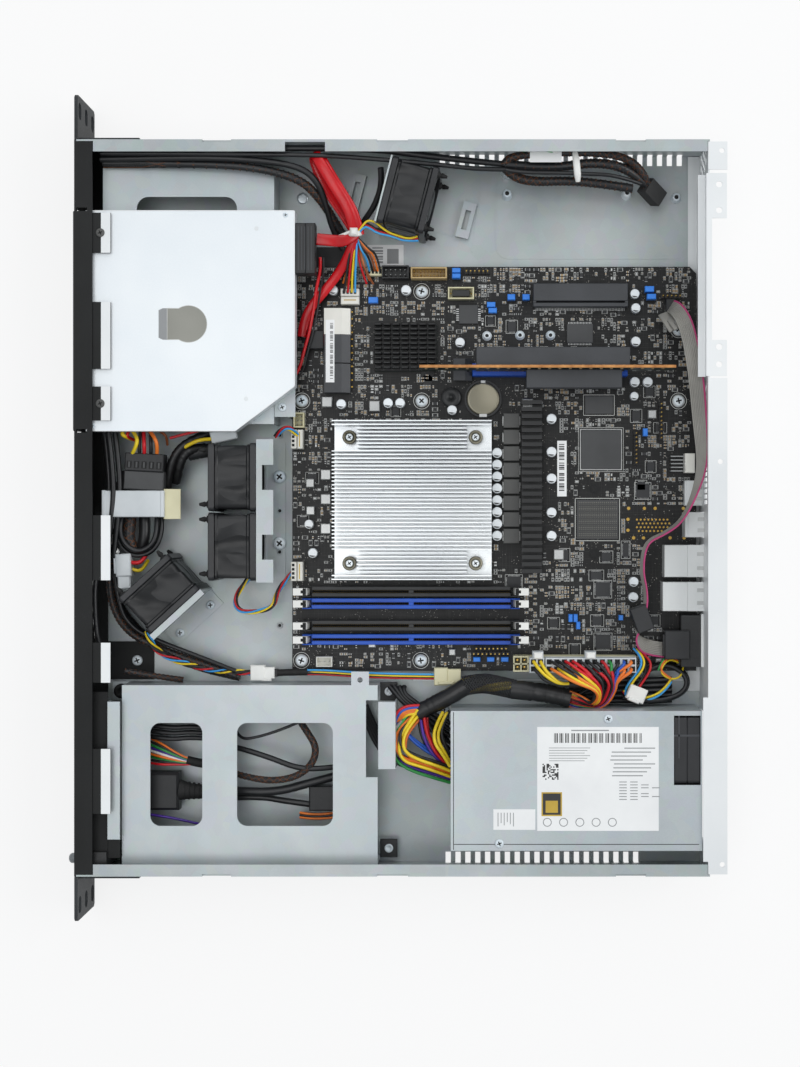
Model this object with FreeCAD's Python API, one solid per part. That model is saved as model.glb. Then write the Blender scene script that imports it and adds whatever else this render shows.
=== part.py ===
import FreeCAD, Part
import math
import os

# A short-depth 1U rack server with its top cover off. Millimetres.
# X runs across the rack (+X is the right-hand side seen from the front), +Y runs to the
# rear, +Z is up. The origin is the bottom centre of the whole part.

V = FreeCAD.Vector
UP = V(0, 0, 1)
ALONG_X = V(1, 0, 0)
ALONG_Y = V(0, 1, 0)

# ---- driving dimensions -------------------------------------------------------------

seat = 0.3  # gap between two pieces where one only rests beside the other
run_fit = 0.05  # radial clearance of a shaft or screw in its hole

# chassis
body_width = 430.0
body_depth = 381.0
height = 43.6
sheet = 1.0
rail_width = 7.0
rail_start = 11.0
rear_flange = 10.2
vent_width = 3.2
vent_pitch = 6.0
vent_reach = 6.6
vent_rise = 6.5
left_vents_from = 212.0
left_vent_count = 25
right_vents_from = 215.5
right_vent_count = 20
hook_slots = ((74.6, 91.5), (176.6, 194.7), (316.0, 333.4))
rail_gap = (122.9, 146.3)

# front panel and rack ears
panel_thick = 1.2
panel_flange = 10.5
tab_depth = 10.4
panel_tabs = ((53.8, 23.4), (105.9, 39.1), (155.3, 19.8), (230.5, 37.9), (304.9, 23.3), (366.9, 37.9))
front_slot = 3.4
front_slot_pitch = 8.2
left_slots = 15
right_slots = 12
ear_edge = 3.75
ear_thick = 2.0
ear_arm = 35.0
rack_unit = 44.45
rack_hole_pitch = 15.875
rack_hole_width = 465.1
rack_slot_long = 10.0
rack_slot_wide = 6.8

# front controls, from the right-hand outside face and the floor
power_inset = 9.1
power_rise = 34.0
power_radius = 3.0
button_proud = 5.2
button_travel = 1.5
button_stem = 4.0
reset_inset = 5.8
reset_rise = 27.5
reset_radius = 1.0
reset_proud = 1.2
usb_insets = (62.0, 43.0)
io_board_rise = 8.6

# drive cages and optical drive
cage_drop = 0.5
left_cage_side = 13.3
left_cage_front = 13.0
left_cage_long = 151.7
left_cage_deep = 101.5
left_cage_height = 26.6
right_cage_side = 4.6
right_cage_front = 25.0
right_cage_wide = 105.8
right_cage_long = 151.1
right_cage_height = 29.0
grommet_radius = 4.4
odd_side = 41.0
odd_width = 128.8
odd_depth = 122.1
odd_height = 12.6
odd_top_gap = 3.6
odd_start = 6.0
odd_corner_across = 26.2
odd_corner_along = 34.8
odd_skin = 0.8
bezel_thick = 5.2
bezel_proud = 1.5
disc_radius = 60.0
tray_thick = 5.0

# fans
fan_size = 40.0
fan_deep = 28.0
fan_bore = 18.8
fan_hub = 10.0
fan_blades = 7
fan_shaft = 1.5
fan_flange = 3.6
motor_seat = 2.0
pin_long = 6.0
rotor_gap = 0.5
tip_gap = 0.6
blade_pitch = 50.0
blade_thick = 1.0
fan_pin_pitch = 32.0
fan_sides = 12
psu_fan_deep = 15.0

# main board
board_side_gap = 69.0
board_rear_gap = 2.8
board_width = 243.8
board_depth = 243.8
board_thick = 1.6
board_lift = 6.0
board_hole = 2.0
heatsink_size = 94.0
heatsink_base = 4.0
heatsink_height = 23.0
heatsink_fins = 43
fin_thick = 0.7
heatsink_bolts = 75.0
corner_pad = 14.6
socket_height = 4.4
slot_centres = (195.7, 202.9, 216.1, 224.4)
slot_front = 7.2
slot_length = 130.0
slot_width = 6.2
slot_height = 9.5
latch_height = 14.5
riser_u = 63.0
riser_top_gap = 3.4

# power supply
psu_side = 14.7
psu_width = 81.7
psu_depth = 147.0
psu_height = 40.5
psu_rear_gap = 3.2
psu_skin = 1.0

# ---- places that follow from them ----------------------------------------------------

front_y = (button_proud - body_depth) / 2
rear_edge_y = front_y + body_depth
rear_out_y = rear_edge_y - rear_flange
rear_in_y = rear_out_y - sheet
half = body_width / 2
inside = half - sheet
floor_z = sheet
rail_z = height - sheet

board_x = -half + board_side_gap
board_y = rear_in_y - board_rear_gap - board_depth
board_z = floor_z + board_lift
board_top = board_z + board_thick

odd_x = -half + odd_side
odd_top = height - odd_top_gap
odd_z = odd_top - odd_height
odd_y = front_y + odd_start
tray_z = odd_z + 3.6

psu_x = half - psu_side - psu_width
psu_y = rear_in_y - psu_rear_gap - psu_depth
psu_z = floor_z + seat

fan_z = floor_z + seat + fan_size / 2
heatsink_u = 141.2
heatsink_v = 73.3


def back(depth):
    """The Y of a place that lies this far behind the front face."""
    return front_y + depth


# ---- shapes --------------------------------------------------------------------------


def block(x0, x1, y0, y1, z0, z1):
    return Part.makeBox(x1 - x0, y1 - y0, z1 - z0, V(x0, y0, z0))


def rod(x, y, z, radius, length, axis=UP, sides=10):
    """A small round part drawn with flat sides, along Z or along Y."""
    ring = []
    for k in range(sides):
        turn = 2 * math.pi * (k + 0.5) / sides
        ring.append((radius * math.cos(turn), radius * math.sin(turn)))
    if axis == ALONG_Y:
        return wall_slab([(x + a, z + b) for a, b in ring], y, y + length)
    return slab([(x + a, y + b) for a, b in ring], z, z + length)


def round_hole(radius, sides):
    """The corner radius of a flat-sided hole that clears a round part of this radius."""
    return radius / math.cos(math.pi / sides)


def slab(outline, z0, z1):
    """A straight-sided solid over an outline in X and Y."""
    corners = [V(x, y, z0) for x, y in outline]
    wire = Part.makePolygon(corners + corners[:1])
    return Part.Face(wire).extrude(V(0, 0, z1 - z0))


def wall_slab(outline, y0, y1):
    """A straight-sided solid over an outline in X and Z."""
    corners = [V(x, y0, z) for x, z in outline]
    wire = Part.makePolygon(corners + corners[:1])
    return Part.Face(wire).extrude(V(0, y1 - y0, 0))


def side_slab(outline, x0, x1):
    """A straight-sided solid over an outline in Y and Z."""
    corners = [V(x0, y, z) for y, z in outline]
    wire = Part.makePolygon(corners + corners[:1])
    return Part.Face(wire).extrude(V(x1 - x0, 0, 0))


def upright_edges(solid):
    return [e for e in solid.Edges if abs(e.tangentAt(e.FirstParameter).z) > 0.99]


def rounded(x0, x1, y0, y1, z0, z1, radius):
    """A block with its upright edges rounded."""
    solid = block(x0, x1, y0, y1, z0, z1)
    return solid.makeFillet(radius, upright_edges(solid))


def turned(solid, yaw, x, y):
    """A solid made about the origin, turned about Z by yaw degrees and moved to (x, y)."""
    placed = solid.copy()
    placed.rotate(V(0, 0, 0), UP, yaw)
    placed.translate(V(x, y, 0))
    return placed


def screw(x, y, z, head=2.8, rise=1.0, shank=1.35, long=2.5):
    """A pan-head screw whose head sits on z."""
    return rod(x, y, z, head, rise, sides=6).fuse(rod(x, y, z - long, shank, long, sides=6))


def comb(start, pitch, count, tooth, low, root, tip):
    """The outline of a finned section: a base from low to root and teeth up to tip."""
    points = [(start, low)]
    for k in range(count):
        left = start + k * pitch
        points += [(left, tip), (left + tooth, tip)]
        if k < count - 1:
            points += [(left + tooth, root), (left + pitch, root)]
    points.append((start + (count - 1) * pitch + tooth, low))
    return points


# ---- chassis -------------------------------------------------------------------------


def vent_cuts():
    """Slots that run round the corner between each side wall and the floor."""
    cuts = []
    for side, start, count in (
        (-1, left_vents_from, left_vent_count),
        (1, right_vents_from, right_vent_count),
    ):
        x0, x1 = sorted((side * (half + 1), side * (half - vent_reach)))
        for k in range(count):
            y = back(start + k * vent_pitch)
            cuts.append(block(x0, x1, y, y + vent_width, -1, vent_rise))
    return cuts


def chassis_tray():
    """Floor, side walls and inward top rails, bent from one sheet."""
    y0 = front_y + panel_thick
    y1 = rear_out_y
    outer = block(-half, half, y0, y1, 0, height)
    inner = block(-inside, inside, y0 - 1, y1 + 1, sheet, rail_z)
    mouth = half - rail_width
    cuts = [
        inner,
        block(-mouth, mouth, y0 - 1, y1 + 1, rail_z - 1, height + 1),
        block(-inside, inside, y0 - 1, back(rail_start), rail_z - 1, height + 1),
        block(-inside, inside, rear_in_y - seat, y1 + 1, rail_z - 1, height + 1),
        block(1.5 - half, 1 - mouth, back(rail_gap[0]), back(rail_gap[1]), rail_z - 1, height + 1),
    ]
    for a, b in hook_slots:
        for side in (-1, 1):
            x0, x1 = sorted((side * (half - 1.4), side * (half + 1)))
            cuts.append(block(x0, x1, back(a), back(b), height - 2.6, height + 1))
    for x, y in floor_screw_places():
        cuts.append(rod(x, y, -1, 1.6, sheet + 2, sides=6))
    return outer.cut(cuts + vent_cuts())


def hex_grid(x0, x1, z0, z1, flat, web):
    """Centres of a staggered grid of hexagons that fill a rectangle."""
    pitch = flat + web
    rows = int((z1 - z0 - flat) / (pitch * 0.866)) + 1
    centres = []
    for row in range(rows):
        shift = pitch / 2 if row % 2 else 0.0
        count = int((x1 - x0 - flat - shift) / pitch) + 1
        for k in range(count):
            centres.append((x0 + flat / 2 + shift + k * pitch, z0 + flat / 2 + row * pitch * 0.866))
    return centres


def hex_cuts(x0, x1, z0, z1, flat, web, y0, y1):
    radius = flat / 2 / math.cos(math.pi / 6)
    cuts = []
    for x, z in hex_grid(x0, x1, z0, z1, flat, web):
        ring = [
            (x + radius * math.sin(k * math.pi / 3), z + radius * math.cos(k * math.pi / 3))
            for k in range(6)
        ]
        cuts.append(wall_slab(ring, y0, y1))
    return cuts


# the ports on the board's rear edge: from the board's left edge, width, height, depth
usb_port = (148.3, 14.8, 15.8, 14.0)
lan_port_a = (167.8, 19.1, 13.4, 26.0)
lan_port_b = (189.9, 17.3, 13.4, 27.0)
vga_port = (209.6, 31.0, 12.4, 16.0)
display_port = (129.2, 15.0, 5.6, 13.0)
rear_port_list = (usb_port, lan_port_a, lan_port_b, vga_port, display_port)
port_poke = 1.6
rear_window_count = 15
rear_window_pitch = 3.3


def rear_panel():
    """The rear wall with its top flange, vents and port windows."""
    edge = inside - seat
    y0 = rear_in_y
    y1 = rear_out_y
    bay0 = -half + 17.6
    bay1 = board_x + 70.2
    low_top = rail_z - seat
    wall = block(-edge, edge, y0, y1, floor_z, height)
    wall = wall.fuse(
        [
            block(-edge, psu_x - 8, y0 - 7, y0, floor_z, floor_z + sheet),
            block(bay1, edge, y1, rear_edge_y, rail_z, height),
            block(-edge, bay0, y1, rear_edge_y, rail_z, height),
            block(psu_x - 8, psu_x + psu_width + 6, y0 - 2.9, y0, rail_z, height),
        ]
    )
    cuts = [
        block(bay0, bay1, y0 - 1, y1 + 1, low_top, height + 1),
        block(bay0 + 5, bay1 - 8, y0 - 1, y1 + 1, 6, 34),
        block(psu_x + 2.4, psu_x + psu_width - 2.4, y0 - 1, y1 + 1, 4, psu_height - 1.2),
    ]
    cuts += hex_cuts(1.2 - inside, bay0 + 1.0, 8, 38, 3.9, 2.5, y0 - 1, y1 + 1)
    cuts += hex_cuts(bay1 + 3, bay1 + 25, 20, 39, 3.9, 2.5, y0 - 1, y1 + 1)
    for k in range(rear_window_count):
        x = board_x + 95.0 + k * rear_window_pitch
        cuts.append(block(x, x + rear_window_pitch - 0.9, y0 - 1, y1 + 1, 26, 38))
    for u, wide, tall, _ in rear_port_list:
        x = board_x + u
        cuts.append(block(x - seat, x + wide + seat, y0 - 1, y1 + 1, board_top, board_top + tall + seat))
    for x, y in rear_flange_screws():
        cuts.append(rod(x, y, rail_z - 1, 1.6, 3, sides=8))
    cuts.append(rod(board_x + 118.9, rear_edge_y - 4.1, rail_z - 1, 1.6, 3, sides=8))
    return wall.cut(cuts)


def rear_flange_screws():
    return [(-half + 6.5, rear_edge_y - 3.2), (half - 7.0, rear_edge_y - 3.0)]


def riser_bracket():
    """The rear plate that holds an expansion card's bracket, with its two top ears, and the blank behind it."""
    x0 = -half + 19.7
    x1 = board_x + 69.0
    y1 = rear_in_y - 0.1
    y0 = y1 - sheet
    low = floor_z + sheet + seat
    plate = block(x0, x1, y0, y1, low, height)
    plate = plate.fuse(
        [
            block(x0, x1, y1, rear_out_y + 1.2, rail_z, height),
            block(x0, x0 + 26.2, rear_out_y, rear_edge_y - 0.3, rail_z, height),
            block(x1 - 21, x1, rear_out_y, rear_edge_y - 0.3, rail_z, height),
            block(x0, x1, y0 - 4.2, y0, 37.0, 38.0),
        ]
    )
    cuts = [block(x0 + 8, x1 - 9, y0 - 1, y1 + 1, 8, 32)]
    for x in (x0 + 6.5, x0 + 21.6, x1 - 17.0, x1 - 6.8):
        cuts.append(rod(x, rear_edge_y - 4.8, rail_z - 1, 1.9, 3, sides=8))
    blank = block(x0 + 5, x1 - 6, y0 - 0.8, y0, 6, 34)
    return [plate.cut(cuts), blank]


def panel_tab_screws():
    y = back(panel_flange + 4.5)
    return [(-half + panel_tabs[k][0] + panel_tabs[k][1] / 2, y) for k in (0, 2)]


def front_panel():
    """The folded steel front: face, flanges, inward tabs, vents and the openings for what it carries."""
    y0 = front_y
    y1 = y0 + panel_thick
    y2 = y0 + panel_flange
    lip = inside - seat
    face = block(-half, half, y0, y1, 0, height)
    adds = [
        block(-lip, lip, y1, y2, height - panel_thick, height),
        block(-lip, lip, y1, y2, floor_z, floor_z + panel_thick),
        block(-lip, panel_thick - lip, y1, y2, floor_z, height),
        block(lip - panel_thick, lip, y1, y2, floor_z, height),
        block(half - 134.5, half - 111.5, y2, y2 + 28, floor_z, floor_z + panel_thick),
    ]
    for inset, wide in panel_tabs:
        x = -half + inset - 11.2
        adds.append(block(x, x + wide, y1, y2 + tab_depth, height - 2 * panel_thick, height - panel_thick))
    cuts = [
        block(odd_x - 1.2, odd_x + odd_width + 1.2, y0 - 1, y1 + 1, odd_z - 1.0, odd_top + 0.8),
        rod(half - power_inset, y0 - 1, power_rise, power_radius + 0.3, 4, ALONG_Y),
        rod(half - reset_inset, y0 - 1, reset_rise, reset_radius + 0.3, 4, ALONG_Y),
        rod(half - 123, y2 + 18, floor_z - 1, 1.6, 4, sides=6),
    ]
    for inset in usb_insets:
        x = half - inset
        cuts.append(block(x - 7.4, x + 7.4, y0 - 1, y1 + 1, io_board_rise + 1.5, io_board_rise + 9.3))
    for x in (odd_x - 0.2, odd_x + odd_width + 0.2):
        cuts.append(block(x - 1.0, x + 1.0, y1, y2 - 3, height - panel_thick - 0.5, height + 1))
    for x, y in panel_tab_screws():
        cuts.append(rod(x - 11.2, y, height - 4, 1.6, 6, sides=6))
    for x0, count, low, high in (
        (odd_x + 4.0, left_slots, 6.0, odd_z - 5.0),
        (1.0, right_slots, 8.0, height - 8.0),
    ):
        for k in range(count):
            x = x0 + k * front_slot_pitch
            cuts.append(block(x, x + front_slot, y0 - 1, y1 + 1, low, high))
    return face.fuse(adds).cut(cuts)


def rack_slot(z):
    """The cut for one rack slot: a straight-sided hole with round ends."""
    x = rack_hole_width / 2
    radius = rack_slot_wide / 2
    reach = (rack_slot_long - rack_slot_wide) / 2
    y = front_y - 1
    deep = ear_thick + 2
    middle = block(x - reach, x + reach, y, y + deep, z - radius, z + radius)
    ends = [Part.makeCylinder(radius, deep, V(x + a, y, z), ALONG_Y) for a in (-reach, reach)]
    return middle.fuse(ends).removeSplitter()


def rack_ear(side):
    """One rack ear: a slotted plate in line with the front and an arm along the side wall."""
    x0 = half + seat
    x1 = (rack_hole_width + rack_slot_long) / 2 + ear_edge
    z0 = 0.3
    z1 = height - 0.3
    plate = block(x0, x1, front_y, front_y + ear_thick, z0, z1)
    corners = [e for e in plate.Edges if abs(e.tangentAt(0).y) > 0.99 and e.BoundBox.XMin > x1 - 0.01]
    plate = plate.makeChamfer(1.6, corners)
    arm = block(x0, x0 + 1.7, front_y + ear_thick, front_y + ear_thick + ear_arm, 6, height - 5)
    plate = plate.fuse(arm)
    ear = plate.cut([rack_slot(height / 2 + k * rack_hole_pitch) for k in (-1, 0, 1)])
    return ear if side > 0 else ear.mirror(V(0, 0, 0), ALONG_X)


def floor_screw_places():
    """Where screws hold brackets and feet to the floor."""
    places = [(half - 123, back(panel_flange + 18))]
    places += [(x, back(114.9)) for x in (-19.4, 21.0)]
    places += foot_screws_right_fan()
    places.append((psu_x + 4.5, psu_y - 5.5))
    return places


def chassis_screws():
    """Every steel screw of the chassis, each seated on the sheet that it holds."""
    screws = [screw(x - 11.2, y, height - panel_thick, 2.6, 0.9, long=2.0) for x, y in panel_tab_screws()]
    screws += [screw(x, y, floor_z + sheet, 2.7, 1.6, long=1.9) for x, y in floor_screw_places()[1:]]
    screws.append(screw(half - 123, back(panel_flange + 18), floor_z + panel_thick, 2.7, 1.6, long=2.1))
    screws.append(screw(odd_screw_x, odd_screw_y, bracket_top, 2.5, 1.2, long=2.5))
    return screws


# ---- drive cages ---------------------------------------------------------------------


def cage_feet(x0, x1, y0, y1):
    """Centres of a cage's four feet, in front of and behind it."""
    return [(x, y) for x in (x0 + 5.6, x1 - 5.6) for y in (y0 - 5.4, y1 + 5.4)]


def drive_cage_left():
    """A channel for one 3.5-inch drive that lies across the chassis."""
    x0 = -half + left_cage_side
    x1 = x0 + left_cage_long
    y0 = back(left_cage_front)
    y1 = y0 + left_cage_deep
    z1 = left_cage_height
    cage = block(x0, x1, y0, y1, floor_z, z1)
    cuts = [
        block(x0 - 1, x1 + 1, y0 + sheet, y1 - sheet, floor_z - 1, z1 - sheet),
        rounded(x0 + 17, x1 - 16, y0 + 20, y1 - 22, z1 - 3, z1 + 1, 7),
    ]
    return cage.cut(cuts)


def right_cage_box():
    x1 = half - right_cage_side
    x0 = x1 - right_cage_wide
    y0 = back(right_cage_front)
    return x0, x1, y0, y0 + right_cage_long


def drive_cage_right():
    """A channel for one 3.5-inch drive that lies front to rear, on rubber feet."""
    x0, x1, y0, y1 = right_cage_box()
    z1 = floor_z + right_cage_height
    cage = block(x0, x1, y0, y1, floor_z + 1.2, z1)
    adds = [block(x0 - 8, x0 + 1, y1 - 15.6, y1 - 5.1, z1 - sheet, z1)]
    feet = cage_feet(x0, x1, y0, y1)
    for x, y in feet:
        end = 10.8 if y > y0 else -10.8
        a, b = sorted((y1 - 1, y1 + end) if y > y0 else (y0 + 1, y0 + end))
        adds.append(block(x - 5.6, x + 5.6, a, b, floor_z + 3.6, floor_z + 4.6))
    cuts = [
        block(x0 + sheet, x1 - sheet, y0 - 12, y1 + 12, floor_z - 1, z1 - sheet),
        rounded(x0 + 22.3, x1 - 22.6, y0 + 16.7, y0 + 47.5, z1 - 3, z1 + 1, 6),
        rounded(x0 + 22.3, x1 - 22.6, y0 + 68.0, y0 + 124.7, z1 - 3, z1 + 1, 6),
        block(x0 + 8.9, x0 + 54.4, y1 - 6.9, y1 + 1, z1 - 3, z1 + 1),
        rod(x0 - 3.1, y1 - 10.4, z1 - 2, 1.7, 3, sides=8),
    ]
    shell = cage.fuse(adds[:1]).cut(cuts)
    shell = shell.fuse(adds[1:])
    holes = [rod(x, y, floor_z, grommet_radius - 1.1, 8, sides=8) for x, y in feet]
    return shell.cut(holes).removeSplitter()


def rubber_mounts():
    """The cage's grommets and the pins that hold the fans to their brackets."""
    pieces = []
    for x, y in cage_feet(*right_cage_box()):
        lower = rod(x, y, floor_z, grommet_radius, 3.6, sides=6)
        neck = rod(x, y, floor_z + 3.6, grommet_radius - 1.4, 1.0, sides=6)
        upper = rod(x, y, floor_z + 4.6, grommet_radius, 2.4, sides=6)
        pieces.append(lower.fuse([neck, upper]))
    for x, y, yaw, flip in fan_places():
        for sx in (-1, 1):
            for sz in (-1, 1):
                pieces.append(fan_pin(x, y, yaw, flip, sx, sz))
    return pieces


def fan_pin(x, y, yaw, flip, sx, sz):
    """A rubber pull-through pin at one corner of a fan: its tail stands out of the free side."""
    a = sx * fan_pin_pitch / 2
    z = fan_z + sz * fan_pin_pitch / 2
    start = -flip * (fan_deep / 2 + 0.05)
    long = 5.6 * flip
    wide = [V(a + dx, start, z + dz) for dx, dz in ((-2.2, -2.2), (2.2, -2.2), (2.2, 2.2), (-2.2, 2.2))]
    slim = [V(a + dx, start - long, z + dz) for dx, dz in ((-0.8, -0.8), (0.8, -0.8), (0.8, 0.8), (-0.8, 0.8))]
    rings = [Part.makePolygon(ring + ring[:1]) for ring in (wide, slim)]
    return turned(Part.makeLoft(rings, True, True), yaw, x, y)


# ---- optical drive -------------------------------------------------------------------


def odd_outline(grow):
    """The drive's outline from above, with its rear right corner cut away, pulled in by grow."""
    x0 = odd_x + grow
    x1 = odd_x + odd_width - grow
    y1 = odd_y + odd_depth - grow
    slant = grow * 0.5
    return [
        (x0, odd_y),
        (x1, odd_y),
        (x1, odd_y + odd_depth - odd_corner_along - slant),
        (odd_x + odd_width - odd_corner_across - slant, y1),
        (x0, y1),
    ]


def odd_case():
    """The slim drive's sheet case, open at the front for its tray."""
    shell = slab(odd_outline(0), odd_z, odd_top)
    inner = slab(odd_outline(odd_skin), odd_z + odd_skin, odd_top - odd_skin)
    front = block(
        odd_x + odd_skin,
        odd_x + odd_width - odd_skin,
        odd_y - 1,
        odd_y + 1,
        odd_z + odd_skin,
        odd_top - odd_skin,
    )
    return shell.cut([inner, front])


def odd_tray():
    """The sliding tray with its disc well and spindle, and the bezel on its front."""
    outline = odd_outline(odd_skin + 0.9)
    plate = slab(outline, tray_z, tray_z + tray_thick)
    x = odd_x + odd_width / 2 - 2
    y = odd_y + 58.5
    well = rod(x, y, tray_z + tray_thick - 1.6, disc_radius, 3, sides=36)
    opening = block(x + 15, x + 36, y - 16, y + 20, tray_z - 1, tray_z + tray_thick + 1)
    spindle = rod(x, y, tray_z, 12.5, tray_thick - 0.6, sides=20)
    bezel_y = front_y - bezel_proud
    bezel = rounded_bezel(bezel_y)
    neck = block(outline[0][0], outline[1][0], bezel_y + bezel_thick, odd_y, tray_z, tray_z + tray_thick)
    tray = plate.cut([well, opening]).fuse([spindle, neck, bezel])
    x, z = eject_place()
    pocket = block(x - 4.2, x + 4.2, bezel_y - 1, bezel_y + 4.4, z - 1.5, z + 1.5)
    return tray.cut(pocket)


def rounded_bezel(y):
    """The plastic bezel, with its corners eased."""
    bezel = block(odd_x, odd_x + odd_width, y, y + bezel_thick, odd_z - 0.2, odd_top)
    ends = [e for e in bezel.Edges if abs(e.tangentAt(0).y) > 0.99]
    return bezel.makeChamfer(0.8, ends)


def eject_place():
    return odd_x + odd_width - 21, odd_z + 6.2


def odd_eject_button():
    x, z = eject_place()
    y = front_y - bezel_proud - 0.5
    return block(x - 4.0, x + 4.0, y, y + 3.6, z - 1.3, z + 1.3)


def odd_adapter():
    """The adapter block that takes the drive's slim connector to full-size cables."""
    x0 = odd_x + 7.0
    y0 = odd_y + odd_depth + seat
    body = block(x0, x0 + 29.6, y0, y0 + 11.6, odd_z + 1.4, odd_top - 0.6)
    return body.cut(block(x0 + 3, x0 + 26, y0 + 6, y0 + 13, odd_z + 5, odd_top - 4))


odd_screw_x = odd_x + odd_width - 14.6
odd_screw_y = odd_y + odd_depth - 8.6
bracket_top = odd_z - seat


def odd_bracket():
    """The raised pad under the drive's cut corner, on a leg in front of the main board."""
    x0 = odd_x + odd_width - 30
    x1 = odd_x + odd_width - 9
    y0 = back(left_cage_front) + left_cage_deep + seat
    y1 = odd_y + odd_depth - sheet
    leg_y = board_y - 2 * seat
    pad = block(x0, x1, y0, y1, bracket_top - sheet, bracket_top)
    leg = block(x0, x1, leg_y - sheet, leg_y, floor_z, bracket_top)
    foot = block(x0 + 4, x1 - 4, y0, leg_y, floor_z, floor_z + sheet)
    hole = rod(odd_screw_x, odd_screw_y, bracket_top - 3, 1.6, 4, sides=6)
    return pad.fuse([leg, foot]).cut(hole)


# ---- fans ----------------------------------------------------------------------------

fan_pair_y = back(91.5)
fan_left_x = -half + 31.5
fan_left_y = back(194.6)
fan_left_yaw = -14.4
fan_right_x = 50.4
fan_right_y = back(48.6)
fan_right_yaw = -47.6


def fan_places():
    """Each fan's centre, its yaw, and the side of its bracket: 1 is its own +Y side."""
    return [
        (-18.2, fan_pair_y, 0.0, 1),
        (22.6, fan_pair_y, 0.0, 1),
        (fan_left_x, fan_left_y, fan_left_yaw, -1),
        (fan_right_x, fan_right_y, fan_right_yaw, 1),
    ]


def fan_body(deep, flange):
    """A square fan frame about the origin, its bore along Y, with a motor seat on struts."""
    h = fan_size / 2
    y = deep / 2
    low = fan_z - h
    flanges = [
        block(-h, h, -y, flange - y, low, low + fan_size),
        block(-h, h, y - flange, y, low, low + fan_size),
    ]
    barrel = rod(0, -y, fan_z, h - 0.05, deep, ALONG_Y, fan_sides)
    bore = rod(0, -y - 1, fan_z, round_hole(fan_bore, fan_sides), deep + 2, ALONG_Y, fan_sides)
    frame = barrel.fuse(flanges).cut(bore)
    seat_disc = rod(0, y - motor_seat, fan_z, fan_hub, motor_seat, ALONG_Y, 12)
    pin = Part.makeCylinder(fan_shaft, pin_long + 0.5, V(0, y - motor_seat - pin_long, fan_z), ALONG_Y)
    struts = []
    for k in range(4):
        strut = block(fan_hub - 1, fan_bore + 0.8, y - motor_seat, y, fan_z - 0.9, fan_z + 0.9)
        strut.rotate(V(0, 0, fan_z), ALONG_Y, 45 + 90 * k)
        struts.append(strut)
    return frame.fuse([seat_disc, pin] + struts)


def fan_blade(reach):
    """One flat-pitched blade that reaches this far before and behind the wheel's middle."""
    pitch = math.radians(blade_pitch)
    chord = reach / math.sin(pitch)
    tip = fan_bore - tip_gap
    side = chord * math.cos(pitch)
    shoulder = math.sqrt(tip**2 - side**2)
    root = fan_hub - 1.6
    outline = [
        V(root, 0, -0.7 * chord),
        V(shoulder, 0, -chord),
        V(shoulder, 0, chord),
        V(root, 0, 0.7 * chord),
    ]
    face = Part.Face(Part.makePolygon(outline + outline[:1]))
    blade = face.extrude(V(0, blade_thick, 0))
    blade.translate(V(0, -blade_thick / 2, fan_z))
    blade.rotate(V(0, 0, fan_z), ALONG_X, blade_pitch)
    return blade


def fan_wheel(deep):
    """A fan's impeller: a hub that runs on the motor's pin, and its ring of pitched blades."""
    front = -deep / 2 + rotor_gap
    rear = deep / 2 - motor_seat - rotor_gap
    middle = (front + rear) / 2
    hub = rod(0, front, fan_z, fan_hub, rear - front, ALONG_Y, 12)
    blades = []
    for k in range(fan_blades):
        blade = fan_blade(0.86 * (rear - front) / 2)
        blade.translate(V(0, middle, 0))
        blade.rotate(V(0, 0, fan_z), ALONG_Y, 360.0 * k / fan_blades)
        blades.append(blade)
    deep_end = deep / 2 - motor_seat - pin_long - rotor_gap
    bore = Part.makeCylinder(fan_shaft + run_fit, deep, V(0, deep_end, fan_z), ALONG_Y)
    return hub.fuse(blades).cut(bore)


def fan_frame(k):
    x, y, yaw, flip = fan_places()[k]
    body = fan_body(fan_deep, fan_flange)
    if flip < 0:
        body.rotate(V(0, 0, 0), UP, 180)
    return turned(body, yaw, x, y)


def fan_rotor(k):
    x, y, yaw, flip = fan_places()[k]
    wheel = fan_wheel(fan_deep)
    if flip < 0:
        wheel.rotate(V(0, 0, 0), UP, 180)
    return turned(wheel, yaw, x, y)


def fan_bracket_pair():
    """The shared bracket behind the two middle fans: an upright plate, a top shelf and a foot."""
    y0 = fan_pair_y + fan_deep / 2 + seat
    x0 = -40.2
    x1 = 43.6
    top = fan_z + fan_size / 2 - 0.2
    plate = block(x0, x1, y0, y0 + sheet, floor_z, top)
    shelf = block(x0, x1, y0 + sheet, y0 + 10.0, top - sheet, top)
    foot = block(x0, x1, y0 + sheet, y0 + 12.6, floor_z, floor_z + sheet)
    cuts = []
    for x, y, _, _ in fan_places()[:2]:
        cuts.append(rod(x, y0 - 1, fan_z, fan_bore - 0.6, sheet + 2, ALONG_Y, fan_sides))
        cuts.append(block(x - 7.0, x + 7.6, y0 + 3.4, y0 + 14, top - 2, top + 1))
    for x in (-19.4, 21.0):
        cuts.append(rod(x, back(114.9), floor_z - 1, 1.6, 3, sides=6))
    return plate.fuse([shelf, foot]).cut(cuts)


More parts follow.
